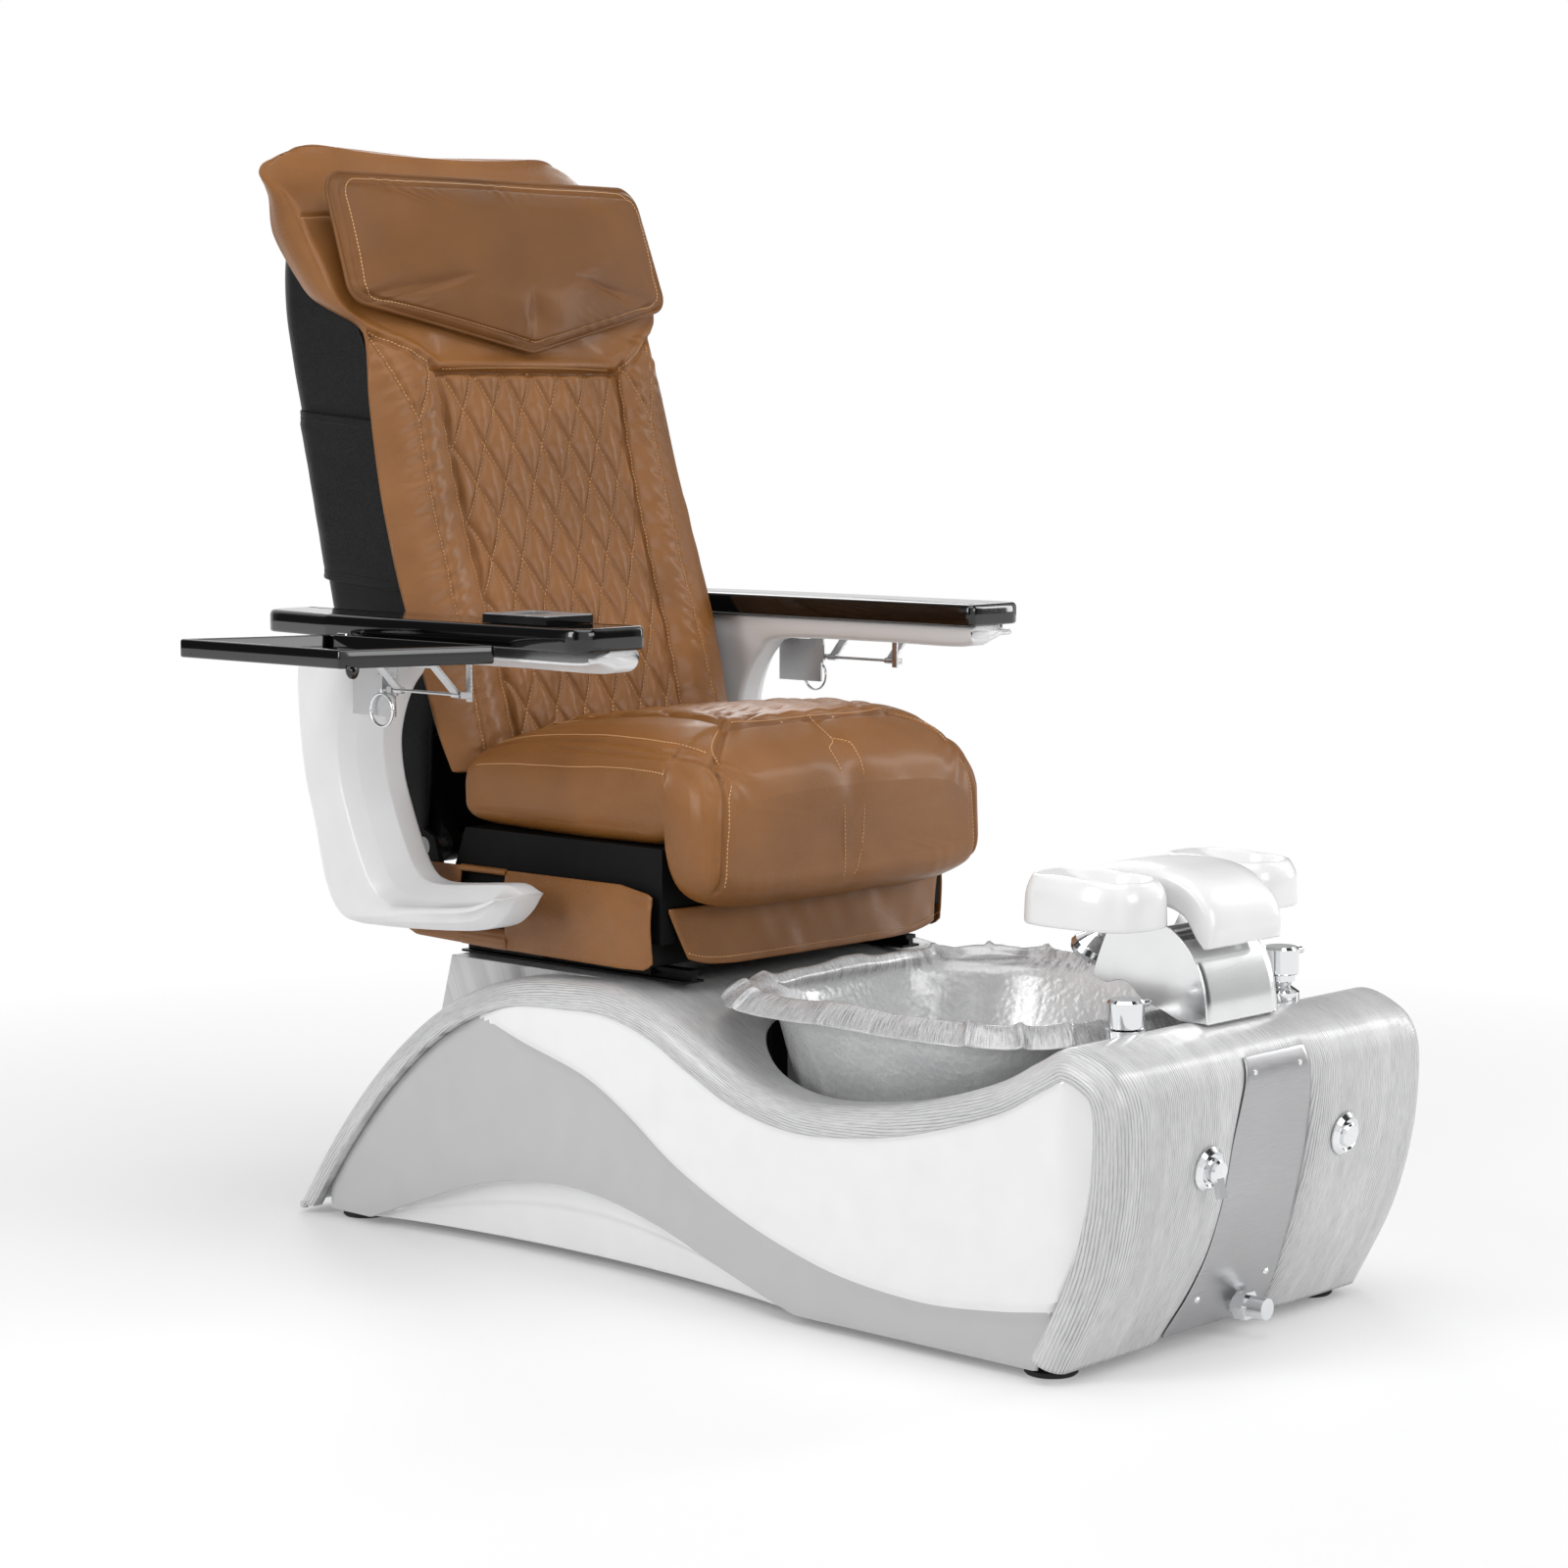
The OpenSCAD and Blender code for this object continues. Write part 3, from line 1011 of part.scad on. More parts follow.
top_r = 26;
function top_outline() = concat(
  arc([-top_in - 10, arm_front + 10], 10, 270, 360, 4),
  [[-top_in, 300]],
  arc([-top_in - 14, arm_rear - 14], 14, 0, 80, 4),
  arc([-top_in - 60, arm_rear - 34], 30, 90, 172, 5),
  [[-top_out + 6, 420], [-top_out, 330], [-top_out, 120]],
  arc([-top_out + top_r, arm_front + top_r], top_r, 180, 270, 6));
module arm_top() {
  translate([0, 0, arm_z - top_t]) linear_extrude(top_t) polygon(top_outline());
}
module arm_top_right() { color("black") arm_top(); }
module arm_top_left() { color("black") mirrored(true) arm_top(); }

// ---------- trays ----------
tray_hinge_x = top_out + 5;
tray_hinge_z = 766;
tray_front = 112;
tray_shear = 66;
tray_rim = 7;
module tray_outline(grow) {
  y0 = tray_front + grow * 1.2;
  x0 = -tray_hinge_x - 6 - grow;
  x1 = -tray_hinge_x - tray_w + grow;
  polygon([[x0, y0 + grow * 0.3], [x0, y0 + tray_l - 2.4 * grow], [x1,
      y0 + tray_l + tray_shear - 2.6 * grow], [x1, y0 + tray_shear + 0.3 * grow]]);
}
module tray() {
  z0 = tray_hinge_z - tray_h / 2;
  difference() {
    translate([0, 0, z0]) linear_extrude(tray_h) tray_outline(0);
    translate([0, 0, z0 + 5]) linear_extrude(tray_h) tray_outline(tray_rim);
  }
  for (y = [tray_front + 40, tray_front + tray_l - 60]) difference() {
    union() {
      translate([-tray_hinge_x, y, tray_hinge_z]) rotate([-90, 0, 0]) cylinder(h = 20, r = 4.5);
      translate([-tray_hinge_x - 7, y, tray_hinge_z - 3]) cube([6, 20, 6]);
    }
    translate([-tray_hinge_x, y - 1, tray_hinge_z]) rotate([-90, 0, 0]) cylinder(h = 22, r = 2 + run_gap);
  }
  translate([-tray_hinge_x - tray_w + 16, tray_front + tray_shear - 1, z0]) rotate([90, 0, 0])
      cylinder(h = 5, r = 9);
}
module tray_right() { color("black") tray(); }
module tray_left() { color("black") mirrored(true) tray(); }

// Fixed hinge leaf under the overhang of the arm top, with the webs that carry the stay.
stay_x = tray_hinge_x - 16;
stay_z = 712;
stay_y = [200, 318];
stay_r = 4.2;
leaf_y = [tray_front + 36, tray_front + tray_l - 6];
knuckle_y = [tray_front + 40, tray_front + tray_l - 60];
module tray_hinge() {
  leaf_top = arm_z - top_t - seat_gap;
  color("silver") {
    translate([-tray_hinge_x + 5, leaf_y[0], tray_hinge_z + 1.5]) cube([19, leaf_y[1] - leaf_y[0],
        leaf_top - tray_hinge_z - 1.5]);
    for (y = knuckle_y) {
      translate([-tray_hinge_x, y + 20.3, tray_hinge_z]) rotate([-90, 0, 0]) cylinder(h = 14, r = 4.5);
      translate([-tray_hinge_x, y + 20.3, tray_hinge_z + 1.5]) cube([6, 14, 3]);
      translate([-tray_hinge_x, y - 1, tray_hinge_z]) rotate([-90, 0, 0]) cylinder(h = 30, r = 2);
    }
    for (y = [stay_y[0] - 12, stay_y[1] + 4]) {
      translate([-stay_x + 5, y, stay_z - 8]) cube([3, 8, leaf_top - stay_z + 8]);
      translate([-stay_x - 4, y, stay_z - 4]) cube([11, 8, 8]);
    }
    translate([-stay_x + 5, stay_y[1] + 8, stay_z - 34]) cube([3, 78, 58]);
    translate([-stay_x + 5, stay_y[1] + 8, stay_z + 20]) cube([3, 20, leaf_top - stay_z - 20]);
    translate([-stay_x - 4, ring_y - 6, stay_z]) difference() {
      cube([11, 12, 18]);
      translate([4, 6, -1]) cylinder(h = 20, r = 1.8 + run_gap);
    }
    translate([-stay_x, stay_y[0] - 8, stay_z]) rotate([-90, 0, 0]) cylinder(h = stay_y[1] - stay_y[0]
        + 14, r = 2);
  }
}
module tray_hinge_right() { tray_hinge(); }
module tray_hinge_left() { mirrored(true) tray_hinge(); }

// Folding stay: a plate frame that props the tray and hangs down when the tray is folded.
stay_l = (tray_hinge_z - tray_h / 2 - 0.5 - stay_z) / sin(45) - 1.5;
module tray_brace() {
  w = stay_y[1] - stay_y[0];
  color("silver") translate([-stay_x, stay_y[0], stay_z]) rotate([0, 45, 0]) difference() {
    union() {
      translate([-stay_l, 0, -1.5]) cube([stay_l, w, 3]);
      for (y = [0, w - 14]) translate([0, y, 0]) rotate([-90, 0, 0]) cylinder(h = 14, r = stay_r);
    }
    translate([-stay_l + 10, 14, -5]) cube([stay_l + 10, w - 28, 10]);
    translate([0, -1, 0]) rotate([-90, 0, 0]) cylinder(h = w + 2, r = 2 + run_gap);
  }
}
module tray_brace_right() { tray_brace(); }
module tray_brace_left() { mirrored(true) tray_brace(); }
ring_y = 344;
ring_r = 20;
// Pull ring on its plunger, under the stay's boss.
module release_ring() {
  color("silver") translate([-stay_x, ring_y, stay_z - 6 - ring_r]) {
    rotate([0, 90, 0]) rotate_extrude() translate([ring_r, 0]) circle(r = 1.8, $fn = 20);
    translate([0, 0, ring_r]) cylinder(h = 30, r = 1.8);
  }
}
module release_ring_right() { release_ring(); }
module release_ring_left() { mirrored(true) release_ring(); }

// ---------- control panel ----------
panel_mid = [-350, 112];
panel_w = 76;
panel_l = 110;
key_l = 13;
key_w = 44;
module on_panel() { translate([panel_mid.x - panel_w / 2, panel_mid.y - panel_l / 2, arm_z + seat_gap])
    children(); }
module control_panel() {
  color("black") on_panel() difference() {
    cube([panel_w, panel_l, 10]);
    translate([13, 40, 8]) cube([panel_w - 26, 48, 5]);
    translate([(panel_w - key_w) / 2 - 0.6, 14 - 0.6, 3]) cube([key_w + 1.2, key_l + 1.2, 10]);
    translate([(panel_w - key_w) / 2 - 4, 14 + key_l / 2, 6]) rotate([0, 90, 0]) cylinder(h = key_w + 8,
        r = 1.5 + run_gap);
  }
}
// Rocker key on its cross pin.
module control_key() {
  color("gray") on_panel() {
    translate([(panel_w - key_w) / 2, 14, 5]) cube([key_w, key_l, 6.5]);
    translate([(panel_w - key_w) / 2 - 3, 14 + key_l / 2, 6]) rotate([0, 90, 0]) cylinder(h = key_w + 6,
        r = 1.5);
  }
}

// ---------- assembly ----------
base_shell();
side_panel_right();
side_panel_left();
toe_panels();
base_frame();
levelling_feet();
front_panel();
panel_screws();
basin();
drain_flange();
jet_cover();
jet_motor();
drain_pump();
valve_collars();
knob_bezels();
footrest_bracket();
spray_holder();
slide_rails();
jet_impeller();
drain_stopper();
valve_knob_right();
valve_knob_left();
drain_knob();
air_button();
spray_head();
footrest_axle();
footrest_saddle();
footrest_pads();
slide_carriage();
seat_frame();
seat_pan();
seat_cushion();
skirt_right();
skirt_left();
skirt_front();
recline_shaft();
recline_motor();
arm_pivots();
back_frame();
back_shell();
back_pad();
head_wings();
head_pillow();
wrap_strap();
massage_carriage();
massage_rollers();
arm_frame_right();
arm_frame_left();
arm_top_right();
arm_top_left();
tray_right();
tray_left();
tray_hinge_right();
tray_hinge_left();
tray_brace_right();
tray_brace_left();
release_ring_right();
release_ring_left();
control_panel();
control_key();
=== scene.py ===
"""Pedicure spa chair: finishes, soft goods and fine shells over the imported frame.

Metres, +Z up, the chair faces -Y and its right arm is at -X. Lengths are written in millimetres
and turned to metres where a mesh is built.
"""
import math

import bmesh
import bpy
import numpy as np
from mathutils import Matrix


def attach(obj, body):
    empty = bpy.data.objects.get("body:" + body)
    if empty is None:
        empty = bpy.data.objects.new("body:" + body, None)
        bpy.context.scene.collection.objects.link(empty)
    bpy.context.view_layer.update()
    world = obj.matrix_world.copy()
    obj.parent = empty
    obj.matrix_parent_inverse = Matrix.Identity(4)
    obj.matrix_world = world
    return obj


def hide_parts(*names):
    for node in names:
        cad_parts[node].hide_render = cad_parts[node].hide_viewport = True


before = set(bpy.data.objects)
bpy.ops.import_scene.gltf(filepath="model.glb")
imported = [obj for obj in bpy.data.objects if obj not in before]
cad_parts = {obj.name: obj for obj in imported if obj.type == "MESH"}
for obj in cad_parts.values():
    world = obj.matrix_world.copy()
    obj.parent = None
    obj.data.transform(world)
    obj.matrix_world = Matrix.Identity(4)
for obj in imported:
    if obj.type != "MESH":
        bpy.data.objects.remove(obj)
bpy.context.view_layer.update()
MM = 0.001
BOARD = "board"
scene = bpy.context.scene


# ---------------------------------------------------------------- curves and grids
def ease(t):
    """Smooth step: zero slope at 0 and at 1."""
    t = np.clip(t, 0.0, 1.0)
    return t * t * (3 - 2 * t)


def mix(a, b, t):
    """Straight blend from a to b."""
    return a + (b - a) * t


def spline(knots, n):
    """Catmull-Rom curve through the knots, with n steps in each span."""
    k = np.asarray(knots, float)
    pad = np.vstack([k[:1], k, k[-1:]])
    t = (np.arange(n) / n)[None, :, None]
    a, b, c, d = (pad[i : len(pad) - 3 + i][:, None, :] for i in range(4))
    body = 0.5 * (2 * b + (c - a) * t + (2 * a - 5 * b + 4 * c - d) * t**2 + (3 * b - a - 3 * c + d) * t**3)
    return np.vstack([body.reshape(-1, k.shape[1]), k[-1:]])


def unit(v):
    """Vectors scaled to a length of one."""
    return v / np.maximum(np.linalg.norm(v, axis=-1, keepdims=True), 1e-9)


def bell(t):
    """Bell curve: 1 at zero and next to nothing past 2."""
    return np.exp(-(t**2))


def surface(x, y, z):
    """Grid of points from coordinates that are spread to one shape."""
    return np.stack(np.broadcast_arrays(x, y, z), -1)


def around(n):
    """Angles of n even steps round a circle."""
    return np.arange(n) * 2 * math.pi / n


def both_ways(line):
    """A line of (across, up) points and its mirror."""
    return [[(s * x, v) for x, v in line] for s in (-1, 1)]


def look(x, table):
    """Value at x in a table of (x, value) pairs, straight between them."""
    t = np.asarray(sorted(map(tuple, table)), float)
    return np.interp(x, t[:, 0], t[:, 1])


def squircle(angle, rx, ry, e):
    """Superellipse: each coordinate is a cosine or sine raised to 2/e, with its sign kept."""
    c, s = np.cos(angle), np.sin(angle)
    return rx * np.sign(c) * np.abs(c) ** (2 / e), ry * np.sign(s) * np.abs(s) ** (2 / e)


def rounded(corners, radii, steps=6):
    """Closed outline through the corners, each turned with its own radius."""
    c = np.asarray(corners, float)
    out = []
    for k, r in enumerate(radii):
        before, here, after = c[k - 1], c[k], c[(k + 1) % len(c)]
        a, b = unit(before - here), unit(after - here)
        half = math.acos(np.clip(a @ b, -1, 1)) / 2
        reach = r / math.tan(half)
        middle = here + unit(a + b) * r / math.sin(half)
        p, q = here + a * reach - middle, here + b * reach - middle
        t = np.linspace(0, 1, steps + 1)[:, None]
        out.append(middle + unit(p * (1 - t) + q * t) * r)
    return np.vstack(out)


def lengths(curve):
    """Length along a polyline at each of its points."""
    return np.concatenate([[0], np.cumsum(np.linalg.norm(np.diff(curve, axis=0), axis=1))])


def at_length(t, s, values):
    """Values at the lengths t of a polyline, with s its length at each point."""
    return np.stack([np.interp(t, s, column) for column in values.T], -1)


def resample(curve, n):
    """n points spaced evenly along a polyline."""
    c = np.asarray(curve, float)
    s = lengths(c)
    return at_length(np.linspace(0, s[-1], n), s, c)


def grid_normals(p, closed=False):
    """Unit normals of a grid of points: column direction crossed with row direction."""
    dv = np.gradient(p, axis=0)
    if closed:
        du = (np.roll(p, -1, 1) - np.roll(p, 1, 1)) / 2
    else:
        du = np.gradient(p, axis=1)
    return unit(np.cross(du, dv))


def grid_faces(rows, cols, closed=False, start=0):
    """Quads of a grid whose columns crossed with rows point outwards."""
    j = np.arange(rows - 1)[:, None]
    i = np.arange(cols if closed else cols - 1)[None, :]
    k = (i + 1) % cols
    quads = np.stack([j * cols + i, j * cols + k, (j + 1) * cols + k, (j + 1) * cols + i], -1)
    return (start + quads.reshape(-1, 4)).tolist()


# ---------------------------------------------------------------- meshes
def add(name, points, faces, material, body, stands_for=(), slot=None, smooth=True):
    """One piece from points in millimetres; it rides on a body and may stand for CAD nodes."""
    mesh = bpy.data.meshes.new(name)
    mesh.from_pydata((np.asarray(points, float).reshape(-1, 3) * MM).tolist(), [], faces)
    mesh.validate()
    mesh.polygons.foreach_set("use_smooth", [smooth] * len(mesh.polygons))
    obj = bpy.data.objects.new(name, mesh)
    scene.collection.objects.link(obj)
    obj.data.materials.append(material)
    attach(obj, body)
    if stands_for:
        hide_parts(*stands_for)
    return obj


def merged(points, faces, tolerance=0.02):
    """Points and faces with points closer than the tolerance joined and flat faces dropped."""
    bm = bmesh.new()
    verts = [bm.verts.new(p) for p in np.asarray(points, float).reshape(-1, 3)]
    for f in faces:
        if len(set(f)) == len(f):
            bm.faces.new([verts[i] for i in f])
    bmesh.ops.remove_doubles(bm, verts=bm.verts, dist=tolerance)
    bmesh.ops.dissolve_degenerate(bm, edges=bm.edges, dist=tolerance)
    bm.verts.index_update()
    out = np.array([v.co for v in bm.verts]), [[v.index for v in f.verts] for f in bm.faces]
    bm.free()
    return out


def rings(stack, cap_low=True, cap_high=True):
    """Closed skin through rings that run anticlockwise about the stacking direction."""
    p = np.asarray(stack, float)
    m, n = p.shape[:2]
    faces = grid_faces(m, n, closed=True)
    points = p.reshape(-1, 3)
    for on, row, flip in ((cap_low, 0, True), (cap_high, m - 1, False)):
        if on:
            centre = len(points)
            points = np.vstack([points, (p[row].max(0) + p[row].min(0)) / 2])
            ring = [row * n + i for i in range(n)]
            pairs = list(zip(ring, ring[1:] + ring[:1]))
            faces += [[centre, b, a] if flip else [centre, a, b] for a, b in pairs]
    return points, faces


def slab(front, thickness, rim=4, toward=None):
    """Sheet with a rounded rim: a grid, its copy moved back by the thickness, and half rounds between.

    The half round follows the border: a cosine along the normal and a sine outwards.
    """
    f = np.asarray(front, float)
    normal = grid_normals(f) if toward is None else np.broadcast_to(-np.asarray(toward, float), f.shape)
    m, n = f.shape[:2]
    border = [(0, i) for i in range(n)] + [(j, n - 1) for j in range(1, m)]
    border += [(m - 1, i) for i in range(n - 2, -1, -1)] + [(j, 0) for j in range(m - 2, 0, -1)]
    bj, bi = np.array(border).T
    edge = f[bj, bi]
    along = np.roll(edge, -1, 0) - np.roll(edge, 1, 0)
    out = unit(np.cross(along, normal[bj, bi]))
    turn = np.linspace(0, math.pi, rim + 1)[1:-1]
    half = thickness / 2
    arcs = [edge - half * (normal[bj, bi] * (1 - math.cos(a)) - out * math.sin(a)) for a in turn]
    back = f - normal * thickness
    points = np.vstack([f.reshape(-1, 3), back.reshape(-1, 3)] + arcs)
    total, length = m * n, len(border)
    faces = grid_faces(m, n) + [q[::-1] for q in grid_faces(m, n, start=total)]
    loops = [bj * n + bi] + [2 * total + k * length + np.arange(length) for k in range(len(arcs))]
    loops.append(total + bj * n + bi)
    for a, b in zip(loops[:-1], loops[1:]):
        faces += np.stack([a, b, np.roll(b, -1), np.roll(a, -1)], -1).tolist()
    return points, faces


ASIDE = (0.31, 0.17, 0.94)


def hoop(path, radius, sides):
    """Round cord along a closed path: circles square to it, turned as little as possible on the way."""
    p = np.asarray(path, float)
    along = np.roll(p, -1, 0) - np.roll(p, 1, 0)
    along = unit(along)
    up = np.zeros_like(p)
    up[0] = unit(np.cross(along[0], ASIDE))
    for k in range(1, len(p)):
        up[k] = unit(up[k - 1] - along[k] * np.dot(up[k - 1], along[k]))
    side = np.cross(along, up)
    a = around(sides)[None, :, None]
    ring = p[:, None, :] + radius * (np.cos(a) * up[:, None, :] + np.sin(a) * side[:, None, :])
    ring = np.concatenate([ring, ring[:1]])
    return merged(ring, grid_faces(len(p) + 1, sides, closed=True), 1e-3)


def prism(outline, x0, x1):
    """Outline in Y,Z carried across X, with flat ends."""
    o = np.asarray(outline, float)
    n = len(o)
    lo = np.column_stack([np.full(n, x0), o])
    hi = np.column_stack([np.full(n, x1), o])
    faces = [[i, (i + 1) % n, n + (i + 1) % n, n + i] for i in range(n)]
    faces += [list(range(n))[::-1], list(range(n, 2 * n))]
    return np.vstack([lo, hi]), faces


def bevel(obj, width, segments=3):
    """Small rounds on the sharp edges, with weighted normals so that flats stay flat."""
    b = obj.modifiers.new("edge", "BEVEL")
    b.width = width * MM
    b.segments = segments
    b.limit_method = "ANGLE"
    b.angle_limit = math.radians(30)
    b.harden_normals = True


def outward(obj):
    """Turns every face of a closed mesh outwards."""
    bm = bmesh.new()
    bm.from_mesh(obj.data)
    bmesh.ops.recalc_face_normals(bm, faces=bm.faces)
    bm.to_mesh(obj.data)
    bm.free()
    return obj


def mirrored(points, faces):
    """The same skin on the other side of the middle plane, with its faces kept outwards."""
    return np.asarray(points) * [-1, 1, 1], [f[::-1] for f in faces]


def write_board(obj, u, v):
    """Board map of a mesh, from U and V in metres at each of its points."""
    corner = np.empty(len(obj.data.loops), int)
    obj.data.loops.foreach_get("vertex_index", corner)
    layer = obj.data.uv_layers.new(name=BOARD)
    layer.data.foreach_set("uv", np.stack([u, v], -1)[corner].reshape(-1))


def joined(*skins):
    """Several skins as one list of points and faces."""
    points, faces, start = [], [], 0
    for p, f in skins:
        points.append(np.asarray(p, float).reshape(-1, 3))
        faces += [[i + start for i in q] for q in f]
        start += len(points[-1])
    return np.vstack(points), faces


# ---------------------------------------------------------------- shader groups
def new_group(name, values, outputs):
    """An empty shader group: a vector and numbers go in, numbers come out."""
    g = bpy.data.node_groups.new(name, "ShaderNodeTree")
    g.interface.new_socket("Vector", in_out="INPUT", socket_type="NodeSocketVector")
    for label, value in values.items():
        socket = g.interface.new_socket(label, in_out="INPUT", socket_type="NodeSocketFloat")
        socket.default_value = value
    for label in outputs:
        g.interface.new_socket(label, in_out="OUTPUT", socket_type="NodeSocketFloat")
    return g, g.nodes.new("NodeGroupInput").outputs


def finished(group, **links):
    """The group with its outputs linked, each by its name."""
    out = group.nodes.new("NodeGroupOutput")
    for label, source in links.items():
        group.links.new(source, out.inputs[label])
    return group


def node(tree, kind, links=None, **values):
    """A node with its properties or input values set, and links to its inputs by name or number."""
    n = tree.nodes.new(kind)
    for key, value in values.items():
        if hasattr(n, key):
            setattr(n, key, value)
        else:
            n.inputs[key.replace("_", " ")].default_value = value
    for key, source in (links or {}).items():
        tree.links.new(source, n.inputs[key])
    return n


def math_node(tree, operation, a, b=0.0):
    """One arithmetic step on links or numbers."""
    n = tree.nodes.new("ShaderNodeMath")
    n.operation = operation
    for socket, value in zip(n.inputs, (a, b)):
        if isinstance(value, (int, float)):
            socket.default_value = value
        else:
            tree.links.new(value, socket)
    return n.outputs[0]


def plus(tree, total, *terms):
    """Sum of links or numbers."""
    for term in terms:
        total = math_node(tree, "ADD", total, term)
    return total


def times(tree, a, b):
    """Product of two links or numbers."""
    return math_node(tree, "MULTIPLY", a, b)


def ramp(tree, source, low, high):
    """Turns the span from low to high into 0 to 1, clamped."""
    n = node(tree, "ShaderNodeMapRange", {"Value": source})
    n.inputs["From Min"].default_value = low
    n.inputs["From Max"].default_value = high
    return n.outputs["Result"]


def noise(tree, vector, scale, detail, **values):
    """Noise from 0 to 1 at a vector."""
    n = node(tree, "ShaderNodeTexNoise", {"Vector": vector}, Scale=scale, Detail=detail, **values)
    return n.outputs["Fac"]


def stretched(tree, vector, *scale):
    """A vector with each of its axes scaled."""
    return node(tree, "ShaderNodeMapping", {"Vector": vector}, Scale=scale).outputs[0]


def wandering(tree, vector, scale, reach):
    """A vector pushed about by slow noise."""
    push = node(tree, "ShaderNodeTexNoise", {"Vector": vector}, Scale=scale, Detail=2.0)
    small = node(tree, "ShaderNodeVectorMath", {0: push.outputs["Color"]}, operation="SCALE", Scale=reach)
    return node(tree, "ShaderNodeVectorMath", {0: vector, 1: small.outputs[0]}, operation="ADD").outputs[0]


def colour_mix(tree, share, a, b):
    """Blend of two colours, given as links or as values."""
    n = tree.nodes.new("ShaderNodeMix")
    n.data_type = "RGBA"
    for socket, value in ((n.inputs[0], share), (n.inputs[6], a), (n.inputs[7], b)):
        if hasattr(value, "is_output"):
            tree.links.new(value, socket)
        elif isinstance(value, (int, float)):
            socket.default_value = value
        else:
            socket.default_value = (*value, 1)
    return n.outputs[2]


def leather_group():
    """Pebbled hide: small cells with soft valleys, fine creases, and slow cloudy tone."""
    g, given = new_group("Leather grain", {"Cell size mm": 1.3, "Crease": 0.5}, ["Height", "Tone", "Polish"])
    at = given["Vector"]
    scale = math_node(g, "DIVIDE", 1000.0, given["Cell size mm"])
    cells = node(g, "ShaderNodeTexVoronoi", {"Vector": at, "Scale": scale}, feature="DISTANCE_TO_EDGE")
    pebble = ramp(g, cells.outputs["Distance"], 0.0, 0.22)
    fine = noise(g, at, 420.0, 3.0, Roughness=0.6)
    folds = ramp(g, noise(g, stretched(g, at, 1.0, 1.0, 3.2), 14.0, 4.0, Distortion=0.8), 0.3, 0.7)
    height = plus(g, times(g, pebble, 0.5), times(g, fine, 0.25), times(g, folds, given["Crease"]))
    tone = ramp(g, noise(g, at, 5.0, 3.0, Roughness=0.55), 0.35, 0.65)
    return finished(g, Height=height, Tone=tone, Polish=times(g, pebble, ramp(g, fine, 0.2, 0.8)))


def wood_group():
    """White wood film: fine dark pores that run along V, bent by slow cathedral arches."""
    g, given = new_group("Wood film", {"Line pitch mm": 3.6, "Bend": 20.0}, ["Lines", "Height", "Cloud"])
    at = given["Vector"]
    long = stretched(g, at, 1.0, 0.16, 1.0)
    arch = noise(g, long, 7.5, 1.5, Roughness=0.35)
    bend = times(g, math_node(g, "SUBTRACT", arch, 0.5), given["Bend"])
    across = times(g, node(g, "ShaderNodeSeparateXYZ", {0: at}).outputs["X"], 1000.0)
    even = math_node(g, "DIVIDE", across, given["Line pitch mm"])
    phase = plus(g, even, bend, times(g, noise(g, long, 120.0, 3.0), 0.9))
    wave = math_node(g, "SINE", times(g, phase, 2 * math.pi))
    broken = times(g, ramp(g, wave, -0.05, 0.9), ramp(g, noise(g, long, 42.0, 3.0), 0.22, 0.58))
    pores = noise(g, stretched(g, at, 1.0, 0.07, 1.0), 620.0, 3.0, Roughness=0.7)
    line = plus(g, times(g, broken, 0.72), times(g, ramp(g, pores, 0.42, 0.75), 0.5))
    cloud = ramp(g, noise(g, long, 16.0, 4.0), 0.3, 0.7)
    return finished(g, Lines=line, Height=math_node(g, "SUBTRACT", 1.0, line), Cloud=cloud)


def hammered_group():
    """Cast silver skin: overlapping dimples, fine pits and a slow mottling."""
    g, given = new_group("Hammered skin", {"Dimple mm": 7.0}, ["Height", "Mottle", "Pits"])
    at = given["Vector"]
    bent = wandering(g, at, 60.0, 0.008)
    scale = math_node(g, "DIVIDE", 1000.0, given["Dimple mm"])
    dimple = node(g, "ShaderNodeTexVoronoi", {"Vector": bent, "Scale": scale}, feature="SMOOTH_F1")
    dimple.inputs["Smoothness"].default_value = 0.4
    pits = noise(g, at, 260.0, 3.0, Roughness=0.7)
    mottle = ramp(g, noise(g, at, 11.0, 5.0, Roughness=0.6), 0.35, 0.65)
    height = plus(g, dimple.outputs["Distance"], times(g, pits, 0.35))
    return finished(g, Height=height, Mottle=mottle, Pits=ramp(g, pits, 0.56, 0.7))


def bark_group():
    """Live edge of the rim: long brush strokes that wander, with shallow knots between them."""
    g, given = new_group("Live edge", {}, ["Height", "Stroke"])
    at = given["Vector"]
    bent = wandering(g, at, 16.0, 0.012)
    stroke = noise(g, stretched(g, bent, 1.0, 0.22, 1.0), 300.0, 3.0, Roughness=0.6)
    height = plus(g, times(g, stroke, 0.8), times(g, noise(g, at, 60.0, 2.0), 0.5))
    return finished(g, Height=height, Stroke=ramp(g, stroke, 0.42, 0.66))


def smudge_group():
    """Handling marks: broad soft patches and fine hairlines that change only the polish."""
    g, given = new_group("Smudges", {"Amount": 0.08, "Base": 0.2}, ["Roughness", "Ripple"])
    at = given["Vector"]
    hair = node(g, "ShaderNodeMapping", {"Vector": at}, Scale=(1.0, 1.0, 0.05), Rotation=(0.4, 0.7, 0.3))
    broad = ramp(g, noise(g, at, 9.0, 4.0, Roughness=0.6), 0.35, 0.7)
    marks = plus(g, broad, times(g, noise(g, hair.outputs[0], 500.0, 2.0), 0.5))
    rough = plus(g, times(g, marks, given["Amount"]), given["Base"])
    return finished(g, Roughness=rough, Ripple=noise(g, at, 22.0, 1.0))


